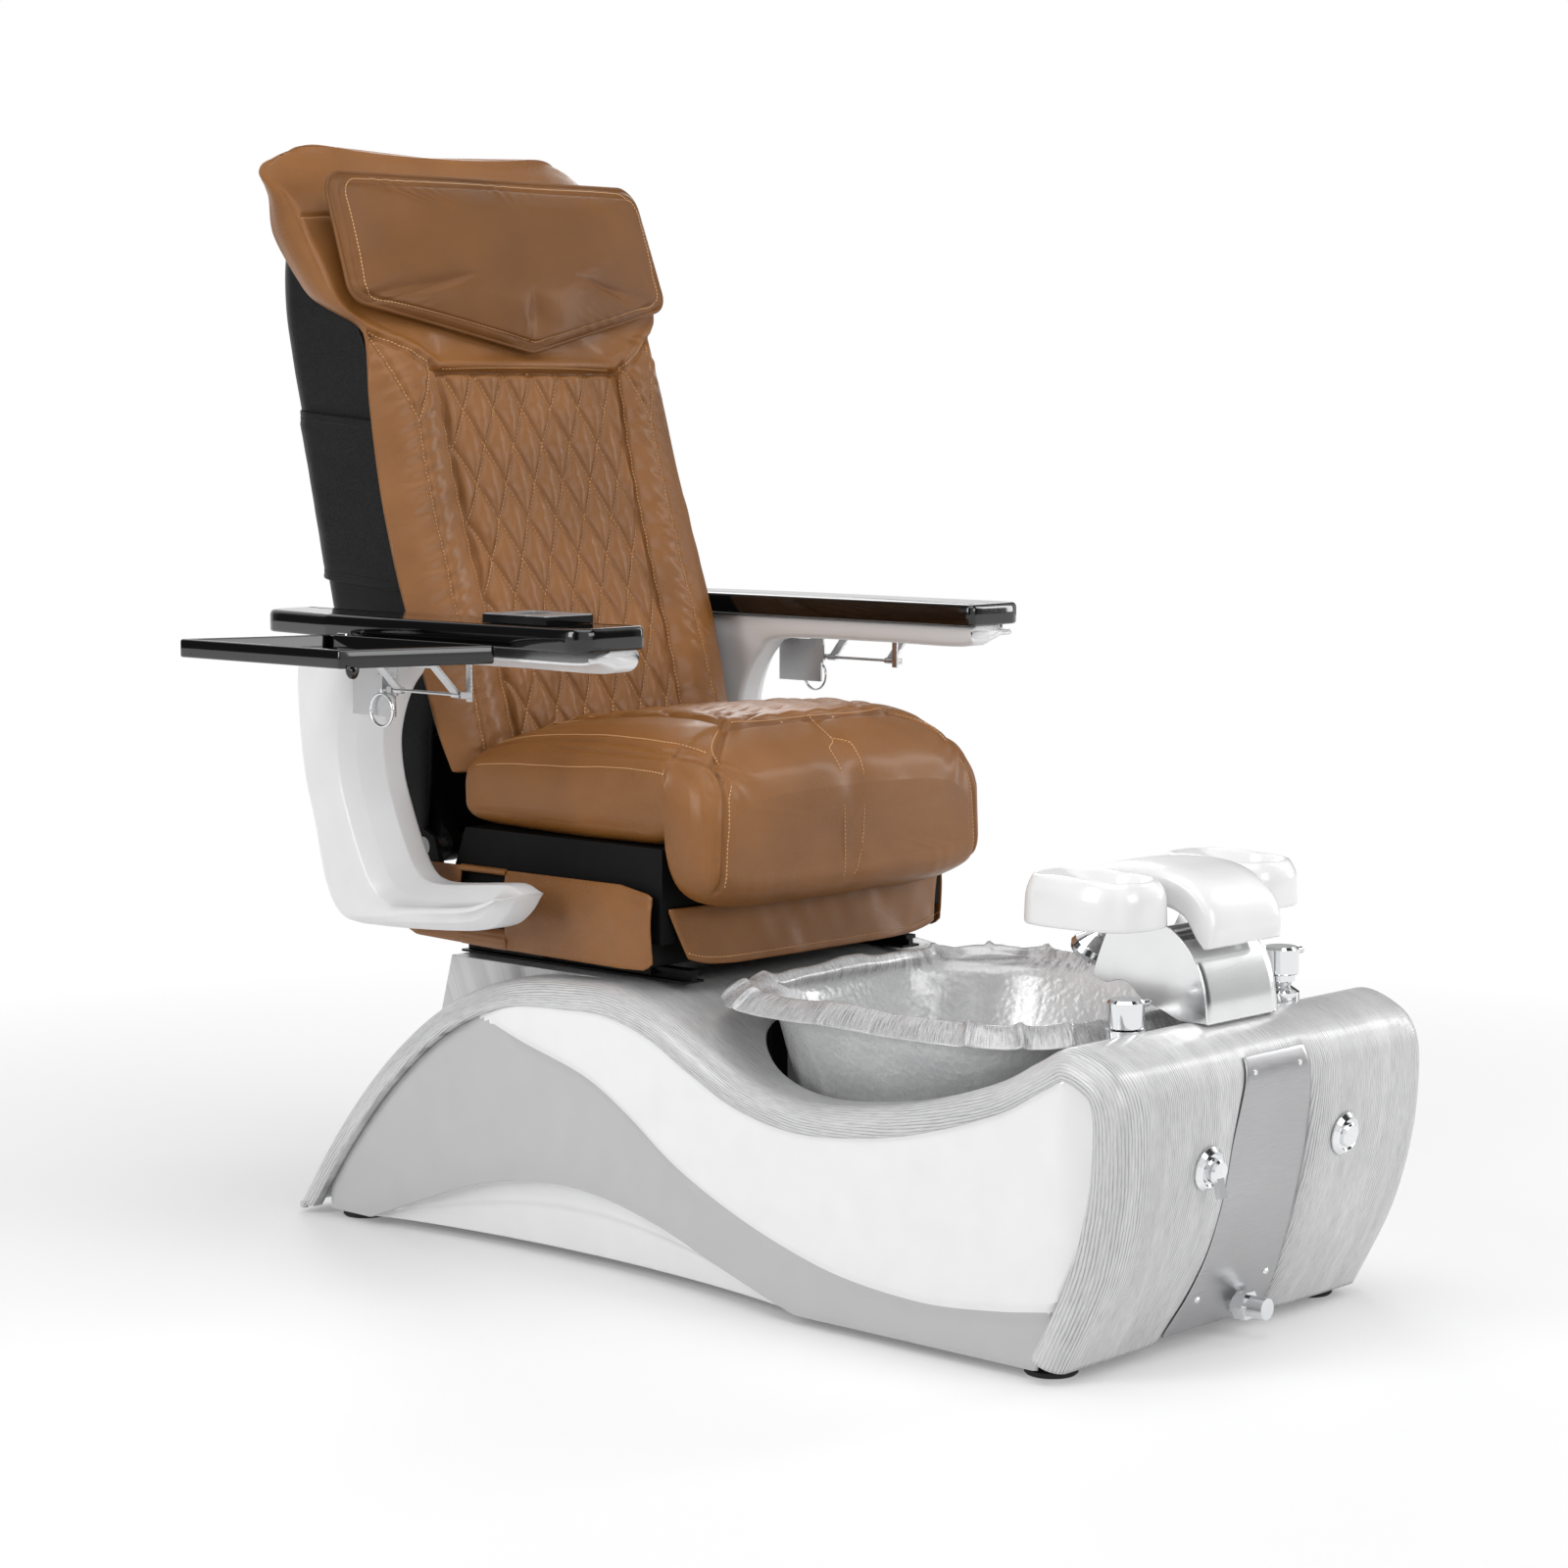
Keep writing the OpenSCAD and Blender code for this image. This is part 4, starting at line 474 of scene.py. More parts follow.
def brushed_group():
    """Brushed sheet: very long thin streaks along one direction."""
    g, given = new_group("Brushed metal", {"Streak mm": 0.5}, ["Streak", "Patch"])
    at = given["Vector"]
    scale = math_node(g, "DIVIDE", 1000.0, given["Streak mm"])
    links = {"Vector": stretched(g, at, 0.02, 1.0, 1.0), "Scale": scale}
    streak = node(g, "ShaderNodeTexNoise", links, Detail=3.0, Roughness=0.6).outputs["Fac"]
    patch = ramp(g, noise(g, at, 14.0, 3.0), 0.35, 0.65)
    return finished(g, Streak=ramp(g, streak, 0.3, 0.7), Patch=patch)


LEATHER = leather_group()
WOOD = wood_group()
HAMMERED = hammered_group()
BARK = bark_group()
SMUDGES = smudge_group()
BRUSHED = brushed_group()


# ---------------------------------------------------------------- materials
def material(name, **shader_values):
    """A Principled material with its plain values set; returns material, tree, shader and coordinates."""
    m = bpy.data.materials.new(name)
    m.use_nodes = True
    t = m.node_tree
    shader = t.nodes["Principled BSDF"]
    for key, value in shader_values.items():
        socket = shader.inputs[key.replace("_", " ")]
        socket.default_value = (*value, 1) if isinstance(value, tuple) and len(value) == 3 else value
    return m, t, shader, node(t, "ShaderNodeTexCoord").outputs["Object"]


def placed(tree, group, coords, **values):
    """Outputs of a group that is placed in a material with its own values."""
    n = tree.nodes.new("ShaderNodeGroup")
    n.node_tree = group
    tree.links.new(coords, n.inputs["Vector"])
    for key, value in values.items():
        n.inputs[key.replace("_", " ")].default_value = value
    return n.outputs


def surfaced(tree, shader, colour, rough, height, depth_mm):
    """Links the shader to a colour, a roughness and a bump with its depth in millimetres."""
    b = node(tree, "ShaderNodeBump", {"Height": height}, Distance=depth_mm * MM, Strength=1.0)
    for key, source in (("Base Color", colour), ("Roughness", rough), ("Normal", b.outputs[0])):
        tree.links.new(source, shader.inputs[key])


def leather(name, low, high, rough, cell=1.3, crease=0.5, depth=0.35, coat=0.0, shine=0.42):
    """Leather between two tones, with pebbles, creases and a polish that follows them."""
    m, t, s, co = material(name, Coat_Weight=coat, Coat_Roughness=0.2, Specular_IOR_Level=shine)
    g = placed(t, LEATHER, co, Cell_size_mm=cell, Crease=crease)
    tone = colour_mix(t, g["Tone"], low, high)
    colour = colour_mix(t, times(t, g["Polish"], 0.35), tone, high)
    spread = plus(t, times(t, g["Polish"], -0.1), times(t, g["Tone"], 0.07), rough)
    surfaced(t, s, colour, spread, g["Height"], depth)
    return m


def gloss(name, colour, rough, amount, ripple_mm=0.02, metallic=0.0, coat=0.0, shine=0.5):
    """Plastic, lacquer or plated metal with handling marks and a faint orange-peel ripple."""
    plain = {"Base_Color": colour, "Metallic": metallic, "Specular_IOR_Level": shine}
    m, t, s, co = material(name, Coat_Weight=coat, Coat_Roughness=0.05, **plain)
    g = placed(t, SMUDGES, co, Amount=amount, Base=rough)
    tone = colour_mix(t, g["Ripple"], colour, tuple(c * 0.93 for c in colour))
    surfaced(t, s, tone, g["Roughness"], g["Ripple"], ripple_mm * 4)
    return m


def board_map(tree):
    """Coordinates that follow the board map of the mesh."""
    return node(tree, "ShaderNodeUVMap", uv_map=BOARD).outputs["UV"]


def wood_film():
    """White wood-grain film under a clear coat; its lines follow the board map of the mesh."""
    m, t, s, _ = material("white wood film", Coat_Weight=0.3, Coat_Roughness=0.15, Specular_IOR_Level=0.45)
    g = placed(t, WOOD, board_map(t))
    pale = colour_mix(t, g["Cloud"], (0.6, 0.6, 0.605), (0.71, 0.71, 0.71))
    colour = colour_mix(t, g["Lines"], pale, (0.29, 0.29, 0.3))
    surfaced(t, s, colour, plus(t, times(t, g["Lines"], 0.18), 0.3), g["Height"], 0.1)
    return m


def basin_skin():
    """Silver basin: pearl grey with shallow dimples and pits; the rim is paler, with brush strokes."""
    m, t, s, co = material("hammered silver", Metallic=0.12, Coat_Weight=0.7, Coat_Roughness=0.07)
    g = placed(t, HAMMERED, co, Dimple_mm=9.0)
    rim = placed(t, BARK, board_map(t))
    on_rim = ramp(t, node(t, "ShaderNodeSeparateXYZ", {0: co}).outputs["Z"], 0.349, 0.357)
    tone = colour_mix(t, g["Mottle"], (0.55, 0.555, 0.56), (0.68, 0.685, 0.69))
    bowl = colour_mix(t, times(t, g["Pits"], 0.5), tone, (0.36, 0.36, 0.37))
    edge = colour_mix(t, rim["Stroke"], (0.58, 0.58, 0.585), (0.27, 0.27, 0.28))
    low = times(t, g["Height"], math_node(t, "SUBTRACT", 1.0, on_rim))
    high = times(t, rim["Height"], times(t, on_rim, 1.3))
    rough = plus(t, times(t, g["Pits"], 0.2), 0.26)
    surfaced(t, s, colour_mix(t, on_rim, bowl, edge), rough, plus(t, low, high), 0.7)
    return m


def brushed(name, colour, rough):
    """Stainless sheet with streaks in its colour and polish."""
    m, t, s, co = material(name, Metallic=1.0, Anisotropic=0.4)
    g = placed(t, BRUSHED, co)
    tone = colour_mix(t, g["Streak"], tuple(c * 0.82 for c in colour), colour)
    spread = plus(t, times(t, g["Patch"], 0.08), times(t, g["Streak"], 0.1), rough)
    surfaced(t, s, tone, spread, g["Streak"], 0.01)
    return m


TAN = leather("tan leather", (0.19, 0.072, 0.0135), (0.28, 0.11, 0.024), 0.31, coat=0.16, shine=0.34)
# Painted shade: the pillow's leather is the same hide as the tan leather, made darker because the pillow lies in
# poorer light.
SHADED_PILLOW_TAN = leather(
    "tan leather darkened by painted shade for the pillow", (0.125, 0.047, 0.0095), (0.18, 0.07, 0.015), 0.4, coat=0.1, shine=0.26
)
BLACK_LEATHER = leather("black leather", (0.006,) * 3, (0.009,) * 3, 0.34, cell=1.6, coat=0.03, shine=0.12)
THREAD = leather("thread", (0.62, 0.35, 0.15), (0.76, 0.46, 0.23), 0.6, cell=0.6, crease=0.0, depth=0.1)
BLACK_THREAD = leather("black thread", (0.01,) * 3, (0.02,) * 3, 0.6, cell=0.6, crease=0.0, depth=0.1)
WOOD_FILM = wood_film()
BASIN_SKIN = basin_skin()
WHITE_GLOSS = gloss("white gloss shell", (0.86, 0.86, 0.865), 0.07, 0.04, coat=0.6)
# Grey copy of the white gloss shell: painted shade for the flare under the crease and the lower field of the side
# panels.
SHADED_WHITE_GLOSS = gloss("white gloss shell greyed as painted shade", (0.50, 0.50, 0.505), 0.08, 0.04, coat=0.6)
WHITE_SATIN = gloss("white satin plastic", (0.75, 0.75, 0.755), 0.3, 0.08, 0.03, coat=0.15)
WHITE_SKIN = gloss("white foam skin", (0.84, 0.84, 0.84), 0.16, 0.06, 0.04, coat=0.3)
BLACK_GLOSS = gloss("black piano lacquer", (0.003, 0.003, 0.003), 0.05, 0.04, coat=0.4)
DARK_GLASS = gloss("dark screen", (0.02, 0.022, 0.025), 0.08, 0.05)
SILVER_TRIM = gloss("silver trim", (0.45, 0.45, 0.46), 0.28, 0.06, metallic=0.8)
BLACK_PAINT = gloss("black frame paint", (0.006, 0.006, 0.006), 0.38, 0.12, 0.05, shine=0.2)
DARK_PLASTIC = gloss("dark plastic", (0.004, 0.004, 0.0042), 0.55, 0.12, 0.05, shine=0.12)
RUBBER = gloss("black rubber", (0.01, 0.01, 0.01), 0.7, 0.12, 0.06)
CHROME = gloss("polished chrome", (0.84, 0.85, 0.86), 0.04, 0.04, 0.004, metallic=1.0)
STEEL = brushed("brushed stainless", (0.66, 0.66, 0.67), 0.2)
POLISHED = gloss("polished stainless", (0.86, 0.865, 0.87), 0.12, 0.07, 0.008, metallic=1.0)
SHEET_STEEL = brushed("satin stainless sheet", (0.5, 0.5, 0.51), 0.24)

FINISHES = (
    (BLACK_PAINT, "base_frame slide_rails slide_carriage seat_frame arm_pivots back_frame"),
    (CHROME, "panel_screws drain_flange jet_cover drain_pump valve_collars knob_bezels spray_holder"),
    (CHROME, "drain_stopper valve_knob_right valve_knob_left drain_knob air_button spray_head"),
    (CHROME, "release_ring_right release_ring_left"),
    (STEEL, "footrest_axle recline_shaft tray_hinge_right tray_hinge_left tray_brace_right tray_brace_left"),
    (DARK_PLASTIC, "jet_motor seat_pan recline_motor massage_carriage"),
    (RUBBER, "levelling_feet massage_rollers"),
    (WHITE_SATIN, "jet_impeller arm_frame_right arm_frame_left"),
    (BLACK_GLOSS, "control_panel arm_top_right arm_top_left tray_right tray_left"),
    (SILVER_TRIM, "control_key"),
    (WOOD_FILM, "base_shell"),
    (WHITE_GLOSS, "side_panel_right side_panel_left toe_panels"),
    (SHEET_STEEL, "front_panel"),
    (BASIN_SKIN, "basin"),
    (POLISHED, "footrest_bracket"),
    (WHITE_SKIN, "footrest_saddle footrest_pads"),
    (BLACK_LEATHER, "back_shell wrap_strap"),
)
for finish, names in FINISHES:
    for node_name in names.split():
        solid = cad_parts[node_name].data
        solid.materials.clear()
        solid.materials.append(finish)


# ---------------------------------------------------------------- foot-bath base
BASE_HALF = 300.0
BASE_CLEAR = 12.0
BASE_REAR, BASE_FRONT = 644.0, -718.0
CREST_Y, VALLEY_Y, FRONT_TOP_Y = 110.0, -260.0, -640.0
DECK_H, VALLEY_H, FRONT_H, BULGE_H = 362.0, 262.0, 372.0, 285.0
BAND = 34.0
EDGE_R = 28.0
PANEL_HALF = [(12, 96), (40, 90), (64, 84), (110, 76), (170, 72), (240, 71), (290, 65), (322, 59), (345, 56)]
PANEL_HALF.append((FRONT_H, 55))
PANEL_GAP = 3.0
PLATE_GAP, PLATE_LIFT = 0.7, 2.4
RECESS_DEPTHS = [(12, 9), (40, 9), (64, 9.4), (110, 12.5), (170, 14.5), (235, 14), (285, 9), (322, 3.8)]
RECESS_DEPTHS += [(350, 0), (FRONT_H, 0)]
RECESS_WALL = 50.0
BASIN_Y = -315.0
RISER_HALF = 244.0
SPAN = 12


def base_outline():
    """Side outline from the rear floor edge over deck, valley and front top to the front floor edge."""
    rear = [(0, 0), (0.148, 0.309), (0.326, 0.6), (0.532, 0.834), (0.757, 0.968)]
    drop = [(0.19, 0.03), (0.378, 0.22), (0.568, 0.56), (0.757, 0.86)]
    rise = [(0, 0), (0.295, 0.1), (0.521, 0.285), (0.742, 0.55), (0.882, 0.81)]
    nose = [(0.1, 0.7), (0.45, 0.36)]
    knots = [(mix(BASE_REAR, CREST_Y, a), mix(BASE_CLEAR, DECK_H, b)) for a, b in rear] + [(CREST_Y, DECK_H)]
    knots += [(mix(CREST_Y, VALLEY_Y, a), mix(DECK_H, VALLEY_H, b)) for a, b in drop]
    knots += [(mix(VALLEY_Y, FRONT_TOP_Y, a), mix(VALLEY_H, FRONT_H, b)) for a, b in rise]
    knots += [(FRONT_TOP_Y, FRONT_H), (mix(BASE_FRONT, FRONT_TOP_Y, 0.38), FRONT_H - 16)]
    knots += [(mix(BASE_FRONT, FRONT_TOP_Y, 0.08), mix(BULGE_H, FRONT_H, 0.5)), (BASE_FRONT, BULGE_H)]
    knots += [(mix(BASE_FRONT, FRONT_TOP_Y, a), mix(BASE_CLEAR, BULGE_H, b)) for a, b in nose]
    return spline(knots + [(BASE_FRONT + 86, BASE_CLEAR)], SPAN)


OUTLINE = base_outline()
STEP = np.gradient(OUTLINE, axis=0)
OUTWARD = unit(np.stack([STEP[:, 1], -STEP[:, 0]], -1))
FRONT_START = 15 * SPAN


def inset(depth):
    """The outline moved inwards by a depth, kept above the floor."""
    p = OUTLINE - np.asarray(depth)[..., None] * OUTWARD
    p[..., 1] = np.maximum(p[..., 1], BASE_CLEAR)
    return p


def deck_z(y):
    """Height of the top of the base at y, behind the front lobes."""
    return look(y, OUTLINE[: FRONT_START + 1])


def nose_y(z):
    """Place of the front face at height z."""
    face = OUTLINE[FRONT_START + SPAN :]
    return look(z, face[:, ::-1])


def recess_depth(z):
    """Depth of the recess behind the bulged face at height z; it runs out under the top edge."""
    return look(z, spline(RECESS_DEPTHS, SPAN))


def recess_half(z):
    """Half-width of the recess between the front lobes, wider at the foot."""
    return look(z, spline(PANEL_HALF, SPAN)) + PANEL_GAP


def base_half(side):
    """One half of the shell: inner lip, side band, quarter-round edge, then flat to the middle or basin hole."""
    lip = [(16, BAND), (10, BAND), (4, BAND)]
    corner = [(4 - 4 * math.sin(a), BAND - 4 + 4 * math.cos(a)) for a in np.radians([20, 40, 60, 90])]
    turn = [(EDGE_R * (1 - math.cos(a)), EDGE_R * (1 - math.sin(a))) for a in np.linspace(0, math.pi / 2, 11)]
    fixed = np.array(lip + corner + turn)
    rows = len(OUTLINE)
    y = OUTLINE[:, 0]
    reach = np.clip(1 - np.abs((y - BASIN_Y) / 258) ** 3, 0, None) ** (1 / 3)
    hole = 240 * reach * (np.arange(rows) < FRONT_START)
    t = np.linspace(0, 1, 26)[1:]
    even_x = mix(BASE_HALF - EDGE_R, hole[:, None], t[None, :])
    half = recess_half(OUTLINE[:, 1])[:, None]
    outer = (BASE_HALF - EDGE_R - half - RECESS_WALL) * np.clip(t / 0.32, 0, 1)
    wall = RECESS_WALL * np.sin(math.pi / 2 * np.clip((t - 0.32) / 0.48, 0, 1))
    front_x = BASE_HALF - EDGE_R - outer - wall - half * np.clip((t - 0.8) / 0.2, 0, 1)
    at_front = ease((np.arange(rows) - FRONT_START) / SPAN)[:, None]
    flat_x = even_x + (front_x - even_x) * at_front
    x = np.concatenate([np.tile(BASE_HALF - fixed[:, 0], (rows, 1)), flat_x], 1)
    near = 1 - np.sqrt(1 - np.clip((half + RECESS_WALL - flat_x) / RECESS_WALL, 0, 1) ** 2)
    reach_in = (recess_depth(OUTLINE[:, 1]) * (np.arange(rows) > FRONT_START))[:, None]
    depth = np.concatenate([np.tile(fixed[:, 1], (rows, 1)), reach_in * near], 1)
    yz = np.stack([inset(depth[:, k]) for k in range(depth.shape[1])], 1)
    p = np.concatenate([x[..., None], yz], -1)
    return (p * [-1, 1, 1])[:, ::-1] if side < 0 else p


def lay_film(obj):
    """Board map of the film: U runs across the board from its middle, V along the outline, both in metres."""
    v = np.empty(len(obj.data.vertices) * 3)
    obj.data.vertices.foreach_get("co", v)
    x, y, z = (v.reshape(-1, 3) / MM).T
    gap = np.stack([y, z], -1)[:, None] - OUTLINE[None]
    k = (gap**2).sum(-1).argmin(1)
    depth = -(gap[np.arange(len(k)), k] * OUTWARD[k]).sum(-1)
    over = np.maximum(np.abs(x) - (BASE_HALF - EDGE_R), 0)
    turn = np.arctan2(over, np.maximum(EDGE_R - depth, 0.01)) * EDGE_R
    wide = BASE_HALF - EDGE_R + turn + np.maximum(depth - EDGE_R, 0)
    across = np.sign(x) * np.where(over > 0, wide, np.abs(x))
    write_board(obj, across * MM, lengths(OUTLINE)[k] * MM)


def make_base_shell():
    """Wood-film shell: two halves joined in the middle, given a wall, plus the low riser under the rails."""
    halves = [base_half(s) for s in (-1, 1)]
    grids = [(h.reshape(-1, 3), grid_faces(*h.shape[:2])) for h in halves]
    points, faces = merged(*joined(*grids))
    shell = add("moulded_base", points, faces, WOOD_FILM, "base", ["base_shell"], "grain_shell")
    lay_film(shell)
    wall = shell.modifiers.new("wall", "SOLIDIFY")
    wall.thickness = 4.5 * MM
    wall.offset = -1
    low = [(y, float(deck_z(y)) - 1.5) for y in (415, 380, 300, 200)]
    high = [(y, DECK_H - 0.1) for y in (CREST_Y, *np.linspace(CREST_Y + 2, 388, 12))]
    skin = prism([(CREST_Y - 4, DECK_H - 1.6), *high, *low], -RISER_HALF, RISER_HALF)
    riser = outward(add("rail_riser", *skin, WOOD_FILM, "base", ["base_shell"], "grain_shell", smooth=False))
    lay_film(riser)
    bevel(riser, 2.0)


PANEL_X = BASE_HALF - 16
CREASE_OUT, CREASE_DROP = 13.0, 30.0
ARCH_H = 106.0
ARCH = [(506, 12), (409, 49), (298, 0.82 * ARCH_H), (190, ARCH_H), (87, 0.98 * ARCH_H),
        (-14, 0.79 * ARCH_H), (-111, 52), (-206, 22), (-240, 12)]
ARCH_LINE = spline(ARCH, 10)
CREASE = [(310, 320), (206, 290), (100, 262), (28, 226), (-52, 175), (-144, 133), (-237, 102),
          (-328, 82), (-445, 74), (-544, 82), (-610, 92), (-645, 98)]
CREASE_LINE = spline(CREASE, 8)


def arch_z(y):
    """Height of the arch cut in the foot of the side panel."""
    inside = (y < ARCH[0][0]) & (y > ARCH[-1][0])
    return np.where(inside, np.maximum(BASE_CLEAR, look(y, ARCH_LINE)), BASE_CLEAR)


def make_side_panels():
    """Gloss panel: a lower field, a wave crease that flares out over 30 mm, and a full upper field; the flare under
    the crease and the lower field are coloured grey as painted shade.
    """
    edge = inset(np.full(len(OUTLINE), BAND + 0.5))
    cols = edge[SPAN // 2 : 18 * SPAN]
    y, top = cols[:, 0], cols[:, 1]
    nose = edge[18 * SPAN :]
    low = np.where(y < BASE_FRONT + 120, np.maximum(BASE_CLEAR, look(y, nose)), arch_z(y))
    low = np.minimum(low, top - 4)
    crease = np.maximum(low + 2, np.minimum(top - 1.2, look(y, CREASE_LINE)))
    foot = np.maximum(low + 0.9, crease - CREASE_DROP)
    depth = CREASE_OUT * ease((330 - y) / 120) * ease((y + 690) / 60)
    under, flare, over = np.linspace(0, 1, 6)[:-1], np.linspace(0, 1, 13)[:-1], np.linspace(0, 1, 16)
    z = [mix(low, foot, v) for v in under] + [mix(foot, crease, v) for v in flare]
    z += [mix(crease, top, v) for v in over]
    share = [0.0] * 5 + [float(mix(v, ease(v), 0.6)) * 0.985 for v in flare] + [1.0] * 16
    soften = [0.0] * 17 + [-0.4 * math.exp(-k / 1.2) for k in range(16)]
    out = [depth * s + depth / CREASE_OUT * f for s, f in zip(share, soften)]
    rows = [np.stack([-PANEL_X - w, y, h], -1) for w, h in zip(out, z)]
    skin = slab(np.array(rows), 5.0, 4, toward=(1, 0, 0))
    for side, half in (("right", skin), ("left", mirrored(*skin))):
        panel = add(f"gloss_panel_{side}", *half, WHITE_GLOSS, "base", [f"side_panel_{side}"], "white_panel")
        # Painted shade: faces below the crease, on the downward flare and on the lower field, take the grey copy of
        # the white gloss.
        panel.data.materials.append(SHADED_WHITE_GLOSS)
        for f in panel.data.polygons:
            high = f.center.z / MM > look(f.center.y / MM, CREASE_LINE) - CREASE_DROP * 0.45
            f.material_index = int(not high)


def make_toe_panels():
    """Dished panels that close the arches, with a lip behind the side panel."""
    x0 = PANEL_X - 6.3
    t = np.linspace(0, 1, 60)
    y = mix(ARCH[0][0] - 2.0, ARCH[-1][0] + 2.0, t)
    bow = np.sin(math.pi * np.clip(t, 0.0005, 0.9995)) ** 0.7
    levels = np.linspace(0, 1, 22)
    depth = look(levels, [(0, 1), (0.3, 0.9), (0.5, 0.8), (0.58, 0.62), (0.75, 0.52), (0.9, 0.42), (1, 0.3)])
    top = arch_z(y) + 8
    rows = [np.stack([-x0 + 42 * bow * d, y, mix(BASE_CLEAR, top, v)], -1) for v, d in zip(levels, depth)]
    skin = slab(np.array(rows), 3.0, 3, toward=(1, 0, 0))
    add("toe_board_right", *skin, WHITE_GLOSS, "base", ["toe_panels"], "white_panel")
    add("toe_board_left", *mirrored(*skin), WHITE_GLOSS, "base", ["toe_panels"], "white_panel")


def make_front_panel():
    """Stainless access panel that follows the recess and stands a little proud of its floor."""
    z = np.linspace(17, 340, 70)
    u = np.linspace(-1, 1, 25)
    half = recess_half(z) - PANEL_GAP
    y = nose_y(z) + recess_depth(z) - PLATE_GAP - PLATE_LIFT
    p = surface(u[None, :] * half[:, None], y[:, None], z[:, None])
    add("access_panel", *slab(p, 2.0, 4), SHEET_STEEL, "base", ["front_panel"], "stainless")


BOWL_W = [(100, 140), (130, 152), (145, 168), (200, 186), (262, 203), (330, 226), (352, 236)]
BOWL_L = [(100, 176), (130, 190), (145, 208), (200, 226), (262, 236), (330, 246), (352, 252)]
RIM_W, RIM_L, RIM_TOP, RIM_H = 283.0, 277.0, 377.0, 25.0
BOWL_FLOOR, BOWL_WALL, DRAIN_R = 140.0, 7.0, 25.0
AROUND = 360


def bowl_ring(z, grow):
    """A squircle ring of the bowl at a height."""
    a = around(AROUND)
    x, y = squircle(a, look(z, BOWL_W) + grow, look(z, BOWL_L) + grow, 3)
    return surface(x, y + BASIN_Y, float(z))


def rim_wave(a):
    """Live edge of the rim: a sharp ridge at each knot, a slack dip between knots, and small ripples."""
    phase = 16 * a + 0.9 * np.sin(3 * a + 0.7) + 0.8
    knot = np.exp(-((np.sin(phase / 2) / 0.16) ** 2))
    return 1.6 * knot - 0.6 * np.abs(np.sin(phase / 2)) + 0.2 * np.sin(23 * a + 0.4) + 0.1 * np.sin(41 * a)


def rim_ring(inset_by, z, swell):
    """A ring of the rim: inset from its outer edge, with its knots pushed out and up."""
    a = around(AROUND)
    w = swell * rim_wave(a)
    x, y = squircle(a, RIM_W - inset_by + np.minimum(w, 4), RIM_L - inset_by + np.minimum(w, 4), 4)
    return np.stack([x, y + BASIN_Y, z + np.clip(w, -5, 4) * 0.9], -1)


def make_basin():
    """Silver bowl with a rolled live-edge rim; outside up, over the rim, and down inside to the drain."""
    lip = RIM_TOP - RIM_H
    floor, wall = BOWL_FLOOR, -BOWL_WALL
    a = around(AROUND)
    drain = surface(DRAIN_R * np.cos(a), DRAIN_R * np.sin(a) + BASIN_Y, floor)
    outside = [bowl_ring(floor - 7, -14), bowl_ring(floor - 3, -5), bowl_ring(floor + 8, 0)]
    outside += [bowl_ring(z, 0) for z in (170, 200, 231, 262, 296, 330, 349)]
    band = [(14, -0.4, 0), (3, 0.3, 0.6), (0.6, 1.6, 1.6), (2, 4, 2.2), (6, 9, 2.8), (11, 14.5, 3.0)]
    band += [(17, 19.5, 3.2), (22, RIM_H - 2.4, 3.4), (26, RIM_H - 1, 3.6), (30, RIM_H - 3, 3.0)]
    band += [(34, RIM_H - 8, 2.0), (38, RIM_H - 14, 1.0)]
    roll = [rim_ring(inwards, lip + up, swell) for inwards, up, swell in band]
    inside = [bowl_ring(z, wall) for z in (352, 330, 296, 262, 231, 200, 172)]
    inside += [bowl_ring(floor + up, wall - inwards) for up, inwards in ((14, 3), (5, 10), (1, 22))]
    inside += [mix(bowl_ring(floor, wall - 34), drain, t) for t in (0.0, 0.5, 1.0)]
    stack = np.array(outside + roll + inside)
    fine = np.stack([spline(stack[:, k], 2) for k in range(AROUND)], 1)
    fine = np.concatenate([drain[None] + [0, 0, wall], fine, drain[None]])
    points, faces = rings(fine, cap_low=False, cap_high=False)
    last = (len(fine) - 1) * AROUND
    seam = [[i, (i + 1) % AROUND, last + (i + 1) % AROUND, last + i] for i in range(AROUND)]
    basin = add("silver_basin", points, faces + seam, BASIN_SKIN, "base", ["basin"], "basin_silver")
    x, y, z = points.T
    turn = np.arctan2(y - BASIN_Y, x)
    write_board(basin, 0.27 * np.cos(2 * turn) + 0.54 * np.abs(turn), np.hypot(x, y - BASIN_Y) * MM)


BRACKET_Z = FRONT_H + 0.8
AXLE_Y, AXLE_Z = -575.0, 462.0


def make_bracket():
    """Polished bracket: a nose plate bent from the deck to the saddle, between two finned side plates."""
    nose = spline([(-664, 0), (-661, 30), (-652, 60), (-636, 84), (-612, 103)], 8)
    back = [(-585, 110), (-546, 108), (-527, 98), (-518, 80), (-505, 44), (-510, 36), (-524, 33), (-540, 37),
            (-553, 36), (-562, 29), (-575, 18), (-600, 10), (-625, 0)]
    rear = [spline([(-612, 103)] + back[:3], 6)[:-1], spline(back[2:6], 4)[:-1], spline(back[5:], 5)]
    side = np.vstack([nose[:-1], *rear]) + [0, BRACKET_Z]
    steel = (POLISHED, "base", ["footrest_bracket"], "stainless")
    for name, x0, x1 in (("bracket_cheek_right", -67.6, -64.6), ("bracket_cheek_left", 64.6, 67.6)):
        bevel(outward(add(name, *prism(side, x0, x1), *steel, smooth=False)), 0.8, 2)
    bend = resample(nose + [0, BRACKET_Z], 40)[:33]
    p = surface(np.linspace(-64.8, 64.8, 15)[None, :], bend[:, :1], bend[:, 1:])
    add("bracket_nose", *slab(p, 3.0, 4), *steel)
    cross = [(-545, BRACKET_Z + 52), (-541, BRACKET_Z + 52), (-535, BRACKET_Z + 88), (-539, BRACKET_Z + 88)]
    outward(add("bracket_crossplate", *prism(cross, -65, 65), *steel, smooth=False))


